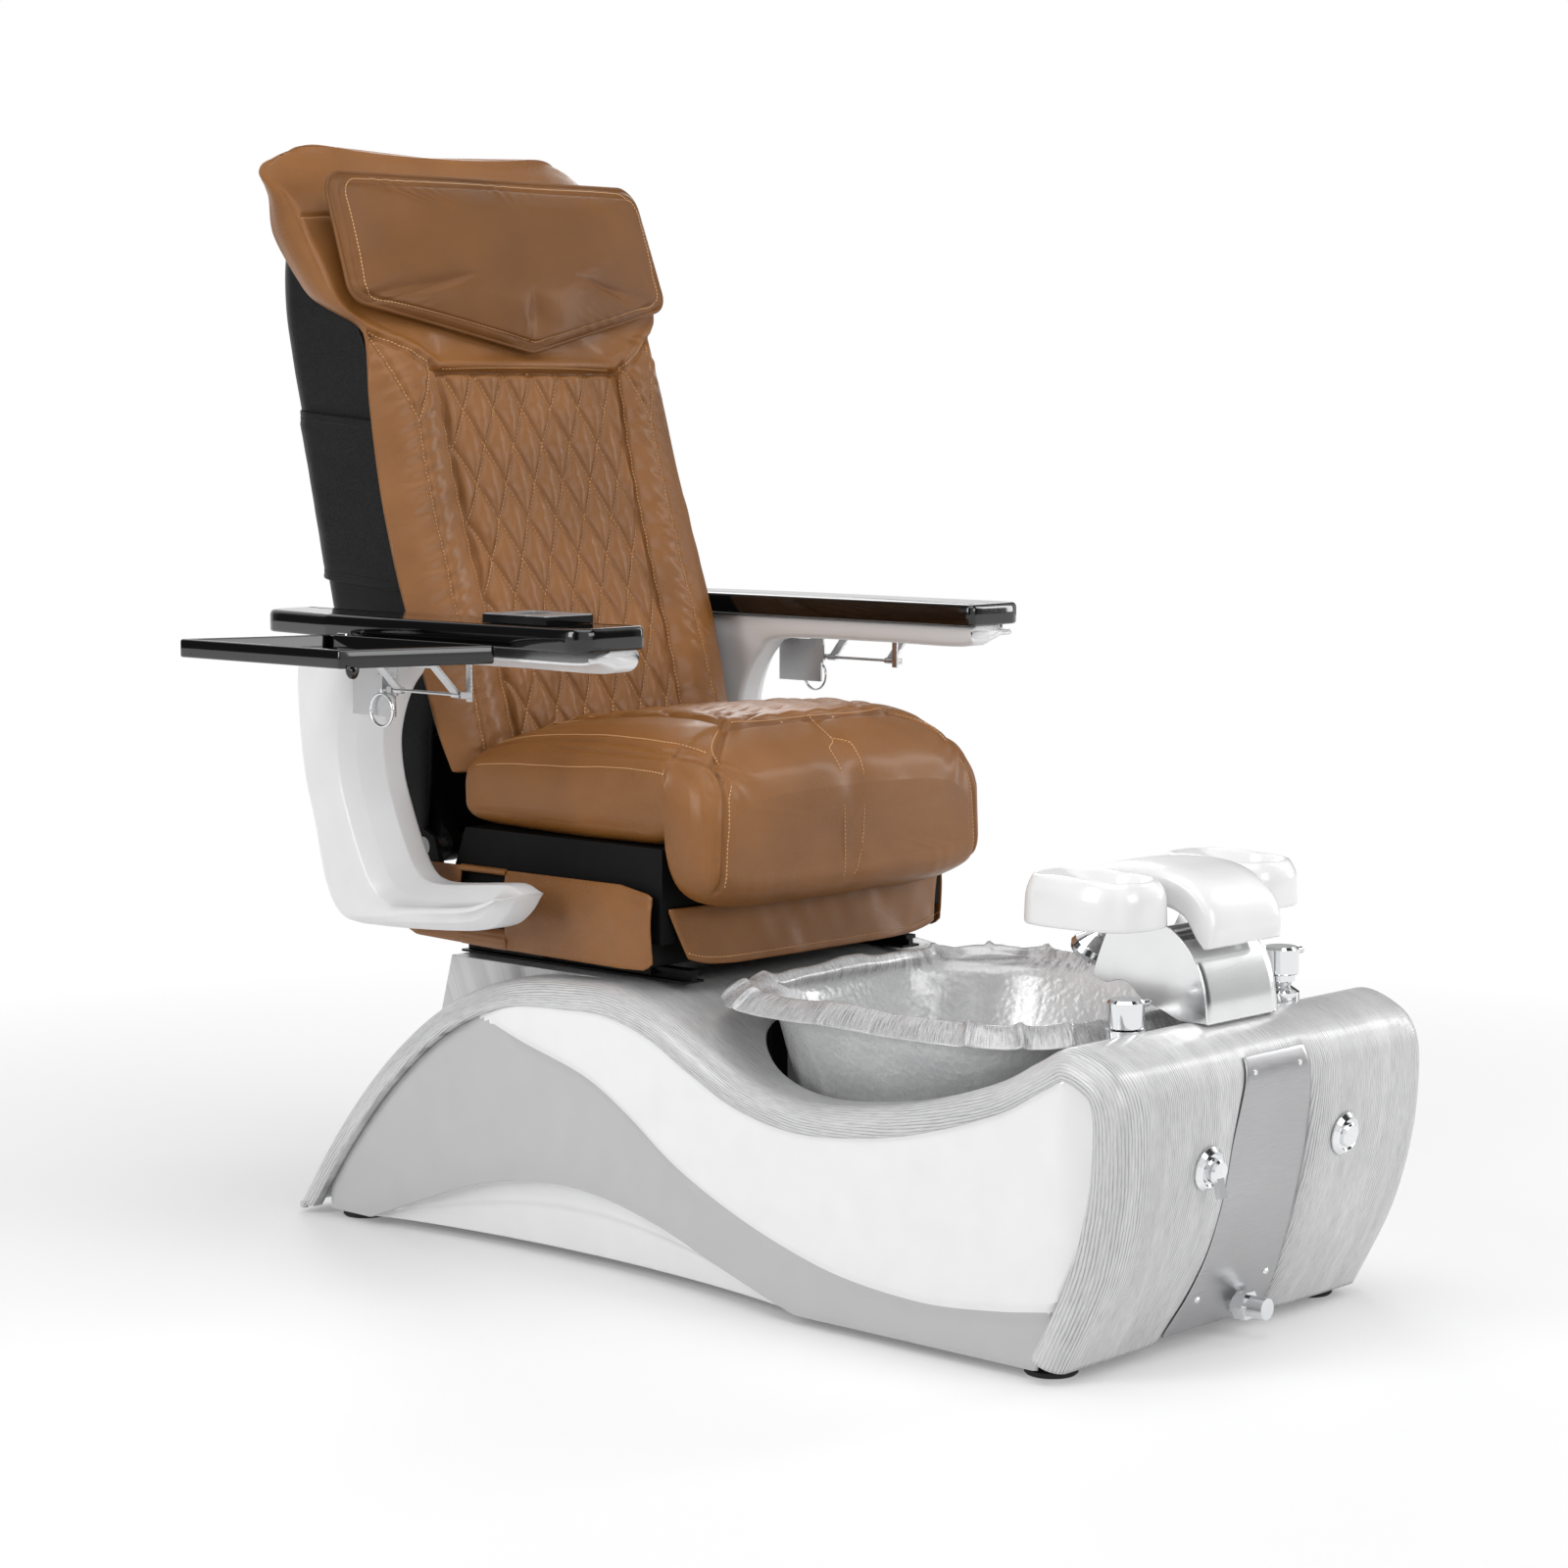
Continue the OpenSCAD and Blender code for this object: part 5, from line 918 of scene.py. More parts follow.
SADDLE = [(-668, 458), (-672, 478), (-664, 505), (-640, 530), (-605, 543), (-560, 545), (-515, 541),
          (-478, 530), (-470, 520)]
SADDLE_FOOT = [(-657, 456), (-651, 461), (-641, 470), (-627, 488), (-603, 497), (-560, 501), (-515, 503),
               (-481, 506), (-472, 512)]
SADDLE_HALF = 68.0
PAD_Z = 481.0
PAD_HALF, PAD_MID = 57.5, 125.8
PAD_FRONT, PAD_REAR = -632.0, -472.0


def make_saddle():
    """Middle block of the footrest: a full padded form that rolls over the nose and down in front of it."""
    line = spline(SADDLE, 6)
    foot = resample(spline(SADDLE_FOOT, 4), len(line))
    x, v = squircle(around(96), SADDLE_HALF, 1.0, 6.5)
    share = (v + 1) / 2
    crown = 1 - np.abs(x / SADDLE_HALF) ** 2.4
    yz = foot[:, None] + (line - foot)[:, None] * share[None, :, None]
    sink = ease((line[:, 1:] - 500) / 30)
    z = yz[..., 1] + sink * (3.4 * crown - 3.4) * ease(share * 2 - 1)
    stack = surface(-x, yz[..., 0], z)
    first, last = (mix(stack[k].mean(0), stack[k], [0.85, 0.91, 0.91]) for k in (0, -1))
    foam = (WHITE_SKIN, "footrest", ["footrest_saddle"], "soft_white")
    outward(add("footrest_saddle_skin", *rings([first, *stack, last]), *foam))
    y0, y1 = AXLE_Y - 14, AXLE_Y + 14
    lug = [(y0, AXLE_Z - 13), (y1, AXLE_Z - 13), (y1, 505), (y0, 505)]
    for side, x in (("right", -58), ("left", 58)):
        bevel(outward(add(f"saddle_lug_{side}", *prism(lug, x - 4, x + 4), *foam, smooth=False)), 2)


def make_foot_pads():
    """Moulded foot rest: upright sides, flat underside, and a foot-shaped dish ringed by a raised roll."""
    sizes = [(0.93, 0.0), (0.985, 0.3), (0.998, 1.6), (1.0, 5), (0.996, 15), (0.99, 25), (0.982, 33)]
    sizes += [(0.966, 39), (0.94, 43.5), (0.905, 47)]
    sizes += [(t, 49.0) for t in np.linspace(0.87, 0.03, 30)]
    stack = []
    for size, height in sizes:
        reach = (PAD_REAR - PAD_FRONT) / 2 * (1 - (1 - size) * 0.96)
        x, y = squircle(around(144), PAD_HALF * size, reach, 3.0)
        rise = 8.0 * (y + 80) / 160
        over = ease((0.97 - size) / 0.12)
        heel = np.hypot((x - 2) / 37, (y + 26) / 38)
        shape = np.where(y < -26, heel, np.minimum(heel, np.abs(x - 2) / 33))
        dish = 1 - ease((shape - 0.55) / 0.5)
        roll = bell((shape - 1.18) / 0.2) * ease((70 - y) / 60)
        z = over * (rise - 10.5 * dish * ease((74 - y) / 50) + 4.0 * roll - 3.0 * (x / 54) ** 4)
        stack.append(np.stack([x + PAD_MID, y + (PAD_FRONT + PAD_REAR) / 2, PAD_Z + height + z], -1))
    skin = rings(np.array(stack))
    add("foot_pad_left", *skin, WHITE_SKIN, "footrest", ["footrest_pads"], "soft_white")
    add("foot_pad_right", *mirrored(*skin), WHITE_SKIN, "footrest", ["footrest_pads"], "soft_white")


make_base_shell()
make_side_panels()
make_toe_panels()
make_front_panel()
make_basin()
make_bracket()
make_saddle()
make_foot_pads()


# ---------------------------------------------------------------- soft goods: tools
def fine_grid(p, rows, cols, closed=False):
    """The same surface on a finer grid: a smooth curve through every column, then through every row."""
    p = np.asarray(p, float)
    down = np.stack([spline(p[:, i], rows) for i in range(p.shape[1])], 1)
    if not closed:
        return np.stack([spline(down[j], cols) for j in range(len(down))], 0)
    wrap = np.concatenate([down[:, -1:], down, down[:, :2]], 1)
    fine = np.stack([spline(wrap[j], cols) for j in range(len(wrap))], 0)
    return fine[:, cols : cols + p.shape[1] * cols]


def puffed(stack, pressure=4.0, cap=9.0, hold=None, frames=14, relax=1):
    """Rings of a closed form blown up by cloth simulation; held points stay, and no point moves past the cap.

    The form is a grid of rings, so its rows and columns are kept and seams can be sewn along them later.
    """
    p = np.asarray(stack, float)
    points, faces = rings(p)
    mesh = bpy.data.meshes.new("blank")
    mesh.from_pydata((points * MM).tolist(), [], faces)
    obj = bpy.data.objects.new("blank", mesh)
    scene.collection.objects.link(obj)
    group = obj.vertex_groups.new(name="held")
    held = np.zeros(p.shape[:2], bool) if hold is None else hold
    for k in np.flatnonzero(held.reshape(-1)):
        group.add([int(k)], 1.0, "REPLACE")
    cloth = obj.modifiers.new("cloth", "CLOTH")
    s = cloth.settings
    s.quality = 5
    s.mass = 0.4
    s.tension_stiffness = 22
    s.compression_stiffness = 9
    s.shear_stiffness = 6
    s.bending_stiffness = 0.7
    s.use_pressure = True
    s.uniform_pressure_force = pressure
    s.vertex_group_mass = "held"
    s.effector_weights.gravity = 0
    cloth.collision_settings.use_collision = False
    for f in range(1, frames + 1):
        scene.frame_set(f)
    done = obj.evaluated_get(bpy.context.evaluated_depsgraph_get()).data
    out = np.empty(len(done.vertices) * 3)
    done.vertices.foreach_get("co", out)
    bpy.data.objects.remove(obj)
    bpy.data.meshes.remove(mesh)
    scene.frame_set(1)
    move = out.reshape(-1, 3)[: p.shape[0] * p.shape[1]].reshape(p.shape) / MM - p
    for _ in range(relax):
        move = (np.roll(move, 1, 1) + 2 * move + np.roll(move, -1, 1)) / 4
        move[1:-1] = (move[:-2] + 2 * move[1:-1] + move[2:]) / 4
    length = np.linalg.norm(move, axis=-1, keepdims=True)
    return p + move * np.minimum(1, cap / np.maximum(length, 1e-6))


def seam_field(uv, lines, width):
    """A bell of a width across the seam lines, and the distance to them, in the grid's own plane."""
    best = np.full(uv.shape[:-1], 1e9)
    for line in lines:
        c = np.asarray(line, float)
        for a, b in zip(c[:-1], c[1:]):
            ab = b - a
            t = np.clip(((uv - a) @ ab) / max(ab @ ab, 1e-9), 0, 1)
            best = np.minimum(best, np.linalg.norm(uv - a - t[..., None] * ab, axis=-1))
    return bell(best / width), best


THREAD_LIFT = 0.2


def stitches(path, normals, pitch=5.0, length=3.4, radius=0.72):
    """A row of thread stitches: short lens-shaped beads laid along a seam, one per pitch."""
    c = np.asarray(path, float)
    s = lengths(c)
    count = max(int(s[-1] / pitch), 1)
    mid = (np.arange(count) + 0.5) * s[-1] / count
    centre = at_length(mid, s, c)
    ahead = unit(at_length(np.minimum(mid + 0.5, s[-1]), s, c) - at_length(np.maximum(mid - 0.5, 0), s, c))
    up = unit(at_length(mid, s, np.asarray(normals, float)))
    side = np.cross(ahead, up)
    a = around(6)
    station = [(-0.5, 0.35), (-0.25, 0.95), (0.25, 0.95), (0.5, 0.35)]
    local = [(t * length, w * radius * math.cos(k), w * radius * math.sin(k)) for t, w in station for k in a]
    l, w, h = np.array(local).T[:, None, :, None]
    pts = centre[:, None] + l * ahead[:, None] + w * side[:, None] + (h + THREAD_LIFT) * up[:, None]
    one = grid_faces(4, 6, closed=True) + [[5, 4, 3, 2, 1, 0], [18, 19, 20, 21, 22, 23]]
    faces = [[i + 24 * k for i in f] for k in range(count) for f in one]
    return pts.reshape(-1, 3), faces


def sew(name, runs, body, thread=None, **how):
    """All stitch rows of one piece as one mesh."""
    parts = [stitches(path, normals, **how) for path, normals in runs]
    add(name, *joined(*parts), thread or THREAD, body, slot="black_leather" if thread else "tan_leather")


def diamonds(across, along, length):
    """Diamond quilting: distance to the nearest stitched line, and fullness of the cell at each point."""
    a = across / DIAMOND_W + along / length
    b = across / DIAMOND_W - along / length
    off = np.minimum(np.abs(a - np.round(a)), np.abs(b - np.round(b))) / math.hypot(1 / DIAMOND_W, 1 / length)
    return off, np.abs(np.sin(math.pi * a) * np.sin(math.pi * b)) ** 0.55


def quilt_lines(reach, start, along, length, half):
    """The stitched lines of diamond quilting as (across, along) points, cut off at a half-width."""
    lines = []
    for k in range(-reach, reach + 1):
        for sign in (-1, 1):
            across = (k - sign * (along - start) / length) * DIAMOND_W
            ok = np.abs(across) < half
            if ok.sum() > 6:
                lines.append(np.stack([across[ok], along[ok]], -1))
    return lines


def wrinkle(a, b, seed):
    """Slow uneven waves, as a sum of five sines with fixed phases."""
    r = np.random.default_rng(seed)
    total = np.zeros_like(a * 1.0)
    for k in range(5):
        across, up = r.uniform(0.5, 2.2) * (1 + k * 0.6), r.uniform(0.4, 1.6) * (1 + k * 0.5)
        phase = r.uniform(0, 6.28)
        total = total + np.sin(a * across + b * up * r.choice([-1, 1]) + phase) / (1 + 0.55 * k)
    return total / 2.4


# ---------------------------------------------------------------- back cover
PAD_KNOTS = [(352, 600), (372, 660), (402, 760), (437, 860), (468, 960), (492, 1060), (506, 1118),
             (522, 1160), (545, 1200), (572, 1240), (600, 1282), (632, 1326), (662, 1362), (680, 1386), (688, 1402)]
COVER_HALF = [(600, 256), (640, 262), (700, 267), (805, 273), (900, 272), (981, 268), (1060, 263),
              (1110, 256), (1145, 252), (1158, 256), (1172, 271), (1188, 283), (1210, 290), (1260, 294), (1320, 292),
              (1350, 290), (1370, 287), (1384, 280), (1394, 268), (1402, 246)]
COVER_THICKNESS = [(600, 30), (640, 35), (1140, 35), (1200, 44), (1260, 54), (1340, 56), (1372, 46), (1390, 32),
                   (1402, 20)]
YOKE_EDGE = [(0, 1102), (158, 1102), (176, 1110), (214, 1131), (256, 1152), (300, 1172)]
QUILT_HALF_TOP, QUILT_HALF_LOW = 160.0, 150.0
CREST = 1402.0
QUILT_TOP, QUILT_LOW = 1100.0, 640.0
DIAMOND_W, DIAMOND_H = 51.0, 96.0
STRIP, BOLSTER_IN = 214.0, 155.0
WELT_END, YOKE_CORNER = (250, 1146), (172, 1112)


def quilt_half(z):
    """Half-width of the quilted field at a height."""
    return mix(QUILT_HALF_LOW, QUILT_HALF_TOP, (z - QUILT_LOW) / (QUILT_TOP - QUILT_LOW))


def cover_middle(z):
    """Place of the cover's front face along the middle."""
    return look(z, spline([(z0, y0) for y0, z0 in PAD_KNOTS], 10))


def cover_half(z):
    """Half-width of the cover at a height."""
    return look(z, spline(COVER_HALF, 8))


def cover_thickness(z):
    """Thickness of the cover: thin foam over the shell, thicker in the head wings, thin again at the top."""
    return look(z, COVER_THICKNESS)


def ear_dip(u):
    """How far the top edge lies under its crest: a slack middle and corners that drop away."""
    return 17 * (1 - np.abs(u) ** 2.6) + 24 * np.abs(u) ** 12


def ear_roll(z):
    """How far the wings come forward at their sides."""
    return 12 * ease((z - 1165) / 90) * ease((1400 - z) / 90)


def yoke_edge(x):
    """Height of the lapped lower edge of the yoke: level over the quilt, rising to the notches."""
    return look(np.abs(x), YOKE_EDGE)


def make_back_cover():
    """Topper of the back: quilted middle, side bolsters, puckered strips, smooth yoke and head wings."""
    spans = ((600, 1140, 46), (1150, 1340, 19), (1348, CREST, 11))
    z = np.concatenate([np.linspace(*span) for span in spans])
    nf = 44
    u = np.linspace(-1, 1, nf + 1)
    half = cover_half(z)[:, None]
    x = u[None, :] * half
    mid = cover_middle(z)[:, None]
    low = 1 - ease((z - 1090) / 70)[:, None]
    side = np.clip((np.abs(x) - BOLSTER_IN) / (half - BOLSTER_IN), 0, 1)
    bolster = (13 * np.sin(math.pi * side**0.85) - 17 * side**3) * low
    hug = (8 * (1 - u**2) - 10 * u[None, :] ** 6) * (1 - low)
    front = surface(x, mid - bolster - hug, z[:, None])
    high = ease((z - 1310) / (CREST - 1310))[:, None]
    front[..., 2] -= high * ear_dip(u)
    front[..., 1] -= ear_roll(z)[:, None] * np.abs(u) ** 5
    nb = 22
    ub = np.sin(np.linspace(math.pi / 2, -math.pi / 2, nb + 1))[1:-1]
    flap = 34 * ease((z - 1155) / 45) * ease((1350 - z) / 80)
    thick = cover_thickness(z)[:, None] * mix(1.0, 0.72, np.abs(ub) ** 6)
    thick = thick + flap[:, None] * ease((np.abs(ub) - 0.86) / 0.06)
    back = surface(ub[None, :] * (half - 3), mid + thick, z[:, None])
    back[..., 2] -= high * ear_dip(ub)
    belly = (3 + 5 * ease((z - 1150) / 60))[:, None, None] * np.array([1.0, 0, 0])
    turns = [(t, belly * math.sin(math.pi * t)) for t in (0.14, 0.36, 0.64, 0.86)]
    edge = [mix(front[:, -1:], back[:, :1], t) + out for t, out in turns]
    far = [mix(back[:, -1:], front[:, :1], t) - out for t, out in turns]
    ring = np.concatenate([front, *edge, back, *far], 1)
    ends = []
    for row, step in ((ring[0], -1), (ring[-1], 1)):
        c = row.mean(0)
        for k, share in enumerate((0.96, 0.8, 0.5)):
            squeezed = c + (row - c) * [1 - (1 - share) * 0.06, share, 1]
            ends.append(squeezed + [0, 0, step * (1.5, 2.8, 3.4)[k]])
    blank = np.concatenate([ends[:3][::-1], ring, ends[3:]])
    hold = np.zeros(blank.shape[:2], bool)
    hold[:, nf + 1 + 3 : -3] = True
    hold[:4] = hold[-4:] = True
    for mark in (-1, -0.995, 0.995, 1):
        hold[:, int(round((mark + 1) / 2 * nf))] = True
    rows = np.flatnonzero(z < 1110)
    for edge_x in (-STRIP, -BOLSTER_IN, BOLSTER_IN, STRIP):
        col = np.round((edge_x / half[:, 0] + 1) / 2 * nf).astype(int)
        hold[3 + rows, col[rows]] = True
    soft = puffed(blank, pressure=3.0, cap=6.0, hold=hold)
    fine = fine_grid(soft, 5, 5, closed=True)
    front_cols = nf * 5 + 1
    plane = np.stack([fine[..., 0], fine[..., 2]], -1)
    face = np.arange(fine.shape[1])[None, :] < front_cols
    normal = grid_normals(fine, closed=True)
    px, pz = plane[..., 0], plane[..., 1]
    beside = np.abs(px) - quilt_half(pz)
    inside = ease(-beside / 4) * ease((QUILT_TOP - pz) / 5)
    off, cell = diamonds(px, pz - QUILT_TOP, DIAMOND_H)
    puff = inside * (7.4 * cell - 2.2 * bell(off / 1.7) + 0.7 * wrinkle(px / 9, pz / 7, 3) * cell)
    deep_lines = both_ways([(QUILT_HALF_LOW, 600), (QUILT_HALF_TOP, QUILT_TOP)])
    deep_lines += both_ways([YOKE_CORNER, (QUILT_HALF_TOP, QUILT_TOP), (0, QUILT_TOP)])
    flat_lines = both_ways([(STRIP + 2, 600), (STRIP - 4, 1040), WELT_END])
    flat_lines += both_ways([(STRIP - 4, 1040), YOKE_CORNER])
    flat_lines += both_ways([YOKE_CORNER, (250, 1150)]) + both_ways([(300, 1296), (236, 1300)])
    deep, _ = seam_field(plane, deep_lines, 4.5)
    flat, near = seam_field(plane, flat_lines, 2.8)
    gather = bell(near / 26) * (np.abs(px) > STRIP - 30) * (pz < 1150)
    pucker = np.sin((pz + 0.45 * np.abs(px)) / 3.4 + 2.4 * wrinkle(pz / 40, px / 60, 5)) * gather
    groove = bell((beside - 12) / 20) * (pz < QUILT_TOP) * np.sin(pz / 6 + 2 * wrinkle(pz / 60, px / 40, 8))
    long_folds = wrinkle(px / 60, pz / 34, 11) * ease(beside / 30)
    yoke = np.sin((np.abs(px) * 0.55 + pz) / 13) * bell((pz - 1128) / 26) * ease((np.abs(px) - 40) / 90)
    lap = pz - yoke_edge(px)
    lapped = 5.5 * bell((lap - 7) / 9) - 5.0 * bell((lap + 3) / 3.2)
    lift = puff - 7.5 * deep - 3.4 * flat + lapped
    lift = lift + 0.81 * pucker + 0.8 * groove + 1.56 * long_folds + 1.76 * yoke
    fade = ease((pz - 598) / 8) * ease((CREST - 6 - pz) / 12)
    fine = fine + normal * (lift * face * fade)[..., None]
    cover = add("back_cover", *rings(fine), TAN, "back", ["back_pad", "head_wings"], "tan_leather")
    shown = fine[:, :front_cols]
    normals = grid_normals(shown)

    def on_cover(line, n):
        c = resample(line, n)
        row = np.interp(c[:, 1], shown[:, front_cols // 2, 2], np.arange(len(shown)))
        j = np.clip(row.astype(int), 0, len(shown) - 2)
        widths = shown[j][:, :, 0]
        col = np.array([np.interp(x, w, np.arange(front_cols)) for x, w in zip(c[:, 0], widths)])
        i = np.clip(col.astype(int), 0, front_cols - 2)
        fj, fi = (row - j)[:, None], (col - i)[:, None]

        def sample(g):
            return mix(mix(g[j, i], g[j, i + 1], fi), mix(g[j + 1, i], g[j + 1, i + 1], fi), fj)

        return sample(shown), sample(normals)

    beside_quilt = both_ways([(QUILT_HALF_LOW + 6, 612), (QUILT_HALF_TOP + 6, QUILT_TOP - 6)])
    runs = [on_cover(line, 60) for line in flat_lines] + [on_cover(line, 90) for line in beside_quilt]
    runs.append(on_cover([(-150, QUILT_TOP + 6), (150, QUILT_TOP + 6)], 60))
    zs = np.linspace(QUILT_LOW - 26, QUILT_TOP, 200)
    quilt = quilt_lines(18, QUILT_TOP, zs, DIAMOND_H, quilt_half(zs) - 2)
    sew("quilt_thread", [on_cover(line, 60) for line in quilt], "back", pitch=5.6, length=3.6, radius=0.62)
    sew("cover_thread", runs, "back", pitch=5.2)


PILLOW = [(0, 1126), (282, 1190), (277, 1353), (-277, 1353), (-282, 1190)]
PILLOW_RADII = (34, 26, 30, 30, 26)
PILLOW_MID, PILLOW_SEAM = 1248.0, 11.0


def pillow_lean(x, z):
    """Place of the pillow's rim between front and rear: it lies back along the cover, its point forward."""
    v = np.clip((z - 1128) / 222, 0, 1)
    return mix(500, 582, v) - 10 * (1 - (x / 282) ** 2) * (1 - v)


def pillow_fill(x, z):
    """Fullness of the pillow: flat in the middle, rounded towards its four sides, without a ridge."""
    foot = 1112 + 78 * np.sqrt((x / 282) ** 2 + 0.03)
    across = np.clip(np.abs(x) / 283, 0, 1)
    up = np.clip(np.abs(2 * (z - foot) / (1354 - foot) - 1), 0, 1)
    return np.sqrt((1 - across**5) * (1 - up**4))


def make_pillow():
    """Head pillow: a shield with a soft point, blown full between its faces, with a piped seam all round."""
    outline = rounded(PILLOW, PILLOW_RADII, 8)
    closed = resample(np.vstack([outline, outline[:1]]), 181)
    outline = closed[:-1]
    share = np.sin(np.linspace(0, math.pi / 2, 17))[1:]
    middle = np.array([0, PILLOW_MID])
    stack = []
    for s, way in [(t, 1) for t in share[:-1]] + [(t, -1) for t in share[::-1]]:
        x, z = (middle + (outline - middle) * s).T
        _, rim = seam_field(np.stack([x, z], -1), [closed], 1.0)
        full = pillow_fill(x, z) * np.sqrt(1 - (1 - np.clip(rim / 12, 0, 1)) ** 2)
        lean = pillow_lean(x, z)
        space = np.clip(cover_middle(z) - 9 - lean, 4, 26)
        y = lean + (space * full if way > 0 else -30 * full)
        stack.append(np.stack([x, y, z], -1))
    stack = np.array(stack)
    hold = np.zeros(stack.shape[:2], bool)
    hold[: len(share)] = True
    soft = puffed(stack, pressure=5.0, cap=8.0, hold=hold, relax=2)
    fine = fine_grid(soft, 4, 3, closed=True)
    normal = grid_normals(fine, closed=True)
    rim_row = (len(share) - 1) * 4
    plan = np.stack([fine[..., 0], fine[..., 2]], -1)
    rim_line = np.vstack([plan[rim_row, ::6], plan[rim_row, :1]])
    _, border = seam_field(plan, [rim_line], 1.0)
    on_front = (np.arange(len(fine)) > rim_row)[:, None]
    px, pz = plan[..., 0], plan[..., 1]
    turn = around(fine.shape[1])[None, :]
    seam = bell((border - PILLOW_SEAM) / 2.4)
    pucker = bell(border / 26) * np.sin(58 * turn) * ease(wrinkle(3 * turn, 0 * turn, 21) + 0.3)
    slow = wrinkle(px / 120, pz / 80, 23)
    lift = (-2.2 * seam + 0.8 * pucker + 1.4 * slow) * on_front * ease(border / 10)
    fine = fine + normal * lift[..., None]
    # The pillow cover and its piping take the darker copy of the tan leather: painted shade.
    pillow = add("head_pillow_cover", *rings(fine), SHADED_PILLOW_TAN, "back", ["head_pillow"], "tan_leather")
    outward(pillow)
    add("pillow_piping", *hoop(fine[rim_row, ::2], 2.8, 8), SHADED_PILLOW_TAN, "back", slot="tan_leather")
    row = rim_row + int(np.argmin(np.abs(border[rim_row + 1 : rim_row + 30].mean(1) - PILLOW_SEAM))) + 1
    sew("pillow_thread", [(fine[row], normal[row])], "back")


# ---------------------------------------------------------------- back shell and strap
SHELL_ROWS = [(486, 457, 512, 243), (500, 441, 540, 245), (560, 430, 570, 247), (640, 424, 596, 248)]
SHELL_REAR = [(700, 606, 249), (800, 632, 250), (960, 668, 250), (1098, 704, 250), (1180, 722, 248),
              (1240, 730, 242), (1285, 731, 232), (1312, 722, 214)]
SHELL_ROWS += [(z, None, y, w) for z, y, w in SHELL_REAR]


STRAP_LOW, STRAP_HIGH = 838.0, 1052.0


def shell_rows():
    """Rows of the back shell: height, front edge under the cover, rear face, half-width."""
    out = []
    for z, front, rear, half in SHELL_ROWS:
        edge = front if front else float(cover_middle(z) + cover_thickness(z)) - 6
        out.append((z, edge, rear, half))
    return spline(out, 6)


def shell_grid(grow=0.0, corner=44.0, rows=None):
    """Walk from one front edge round the rear to the other: straight side, quarter round, crowned rear."""
    out = []
    for z, front, rear, half in (shell_rows() if rows is None else rows):
        c = min(corner, (rear - front) * 0.45)
        a = np.radians(np.linspace(0, 90, 10))
        side = [(half + grow, mix(front, rear - c, t)) for t in np.linspace(0, 1, 8)[:-1]]
        turn = [(half - c + (c + grow) * math.cos(t), rear - c + (c + grow) * math.sin(t)) for t in a]
        rear_x = np.linspace(half - c, 0, 10)[1:]
        crown = [(x, rear + grow + 7 * (1 - (x / (half - c)) ** 2)) for x in rear_x]
        left = side + turn + crown
        full = left + [(-x, y) for x, y in left[::-1][1:]]
        out.append([(x, y, z) for x, y in full])
    return np.array(out)


def make_back_shell():
    """Black leather back: a deep upholstered tray with rolled top and bottom and side seams."""
    g = shell_grid()
    top, low = g[-1], g[0]
    close_top, close_low = [], []
    for share, dz in ((0.97, 6), (0.86, 11), (0.6, 14), (0.3, 15)):
        c = top.mean(0)
        close_top.append((top - c) * [share, share, 1] + c + [0, 0, dz])
        c = low.mean(0)
        close_low.append((low - c) * [share, share, 1] + c - [0, 0, dz * 0.6])
    g = np.concatenate([close_low[::-1], g, close_top])
    n = grid_normals(g)
    side = np.abs(g[..., 0])
    seam = bell((side - 196) / 2.4) * (g[..., 1] > 560)
    folds = wrinkle(g[..., 0] / 46, g[..., 2] / 38, 31) * 1.1
    g = g + n * (folds - 2.2 * seam)[..., None]
    shell = add("back_upholstery", *slab(g, 7.0, 3), BLACK_LEATHER, "back", ["back_shell"], "black_leather")
    rows = shell_rows()
    pick = rows[(rows[:, 0] > STRAP_LOW - 4) & (rows[:, 0] < STRAP_HIGH + 4)]
    z = np.linspace(STRAP_LOW, STRAP_HIGH, 26)
    band = at_length(z, pick[:, 0], pick)
    band[:, 0] = z
    s = shell_grid(4.6, rows=band)
    t = np.linspace(-1, 1, s.shape[1])
    tilt = 16 * t[None, :] ** 2
    s[..., 2] += -tilt * ease((np.abs(t[None, :]) - 0.1) / 0.9)
    hems = bell((z[:, None] - STRAP_LOW - 8) / 2.0) + bell((z[:, None] - STRAP_HIGH + 8) / 2.0)
    lift = 0.9 * wrinkle(t[None, :] * 7, z[:, None] / 26, 33) - hems
    s = s + grid_normals(s) * lift[..., None]
    strap = add("wrap_strap_leather", *slab(s, 2.6, 3), BLACK_LEATHER, "back", ["wrap_strap"], "black_leather")
    nrm = grid_normals(s)
    sew("strap_thread", [(s[1], nrm[1]), (s[-2], nrm[-2])], "back", BLACK_THREAD)


# ---------------------------------------------------------------- seat cushion
SEAT_ROWS = [(-82, 502, 590, 214), (-79, 486, 612, 236), (-70, 472, 630, 250), (-54, 464, 645, 257),
             (-36, 461, 655, 260), (-18, 466, 661, 262), (-8, 486, 663, 263), (0, 531, 665, 263),
             (30, 531, 668, 264), (70, 531, 668, 265), (120, 531, 666, 266), (170, 531, 662, 266),
             (220, 531, 657, 266), (270, 531, 650, 265), (312, 531, 642, 264), (336, 533, 634, 262),
             (345, 540, 624, 256)]
SEAT_QUILT_HALF, SEAT_QUILT_Y, SEAT_DIAMOND = 150.0, -8.0, 88.0
SEAT_UNDER = 531.0


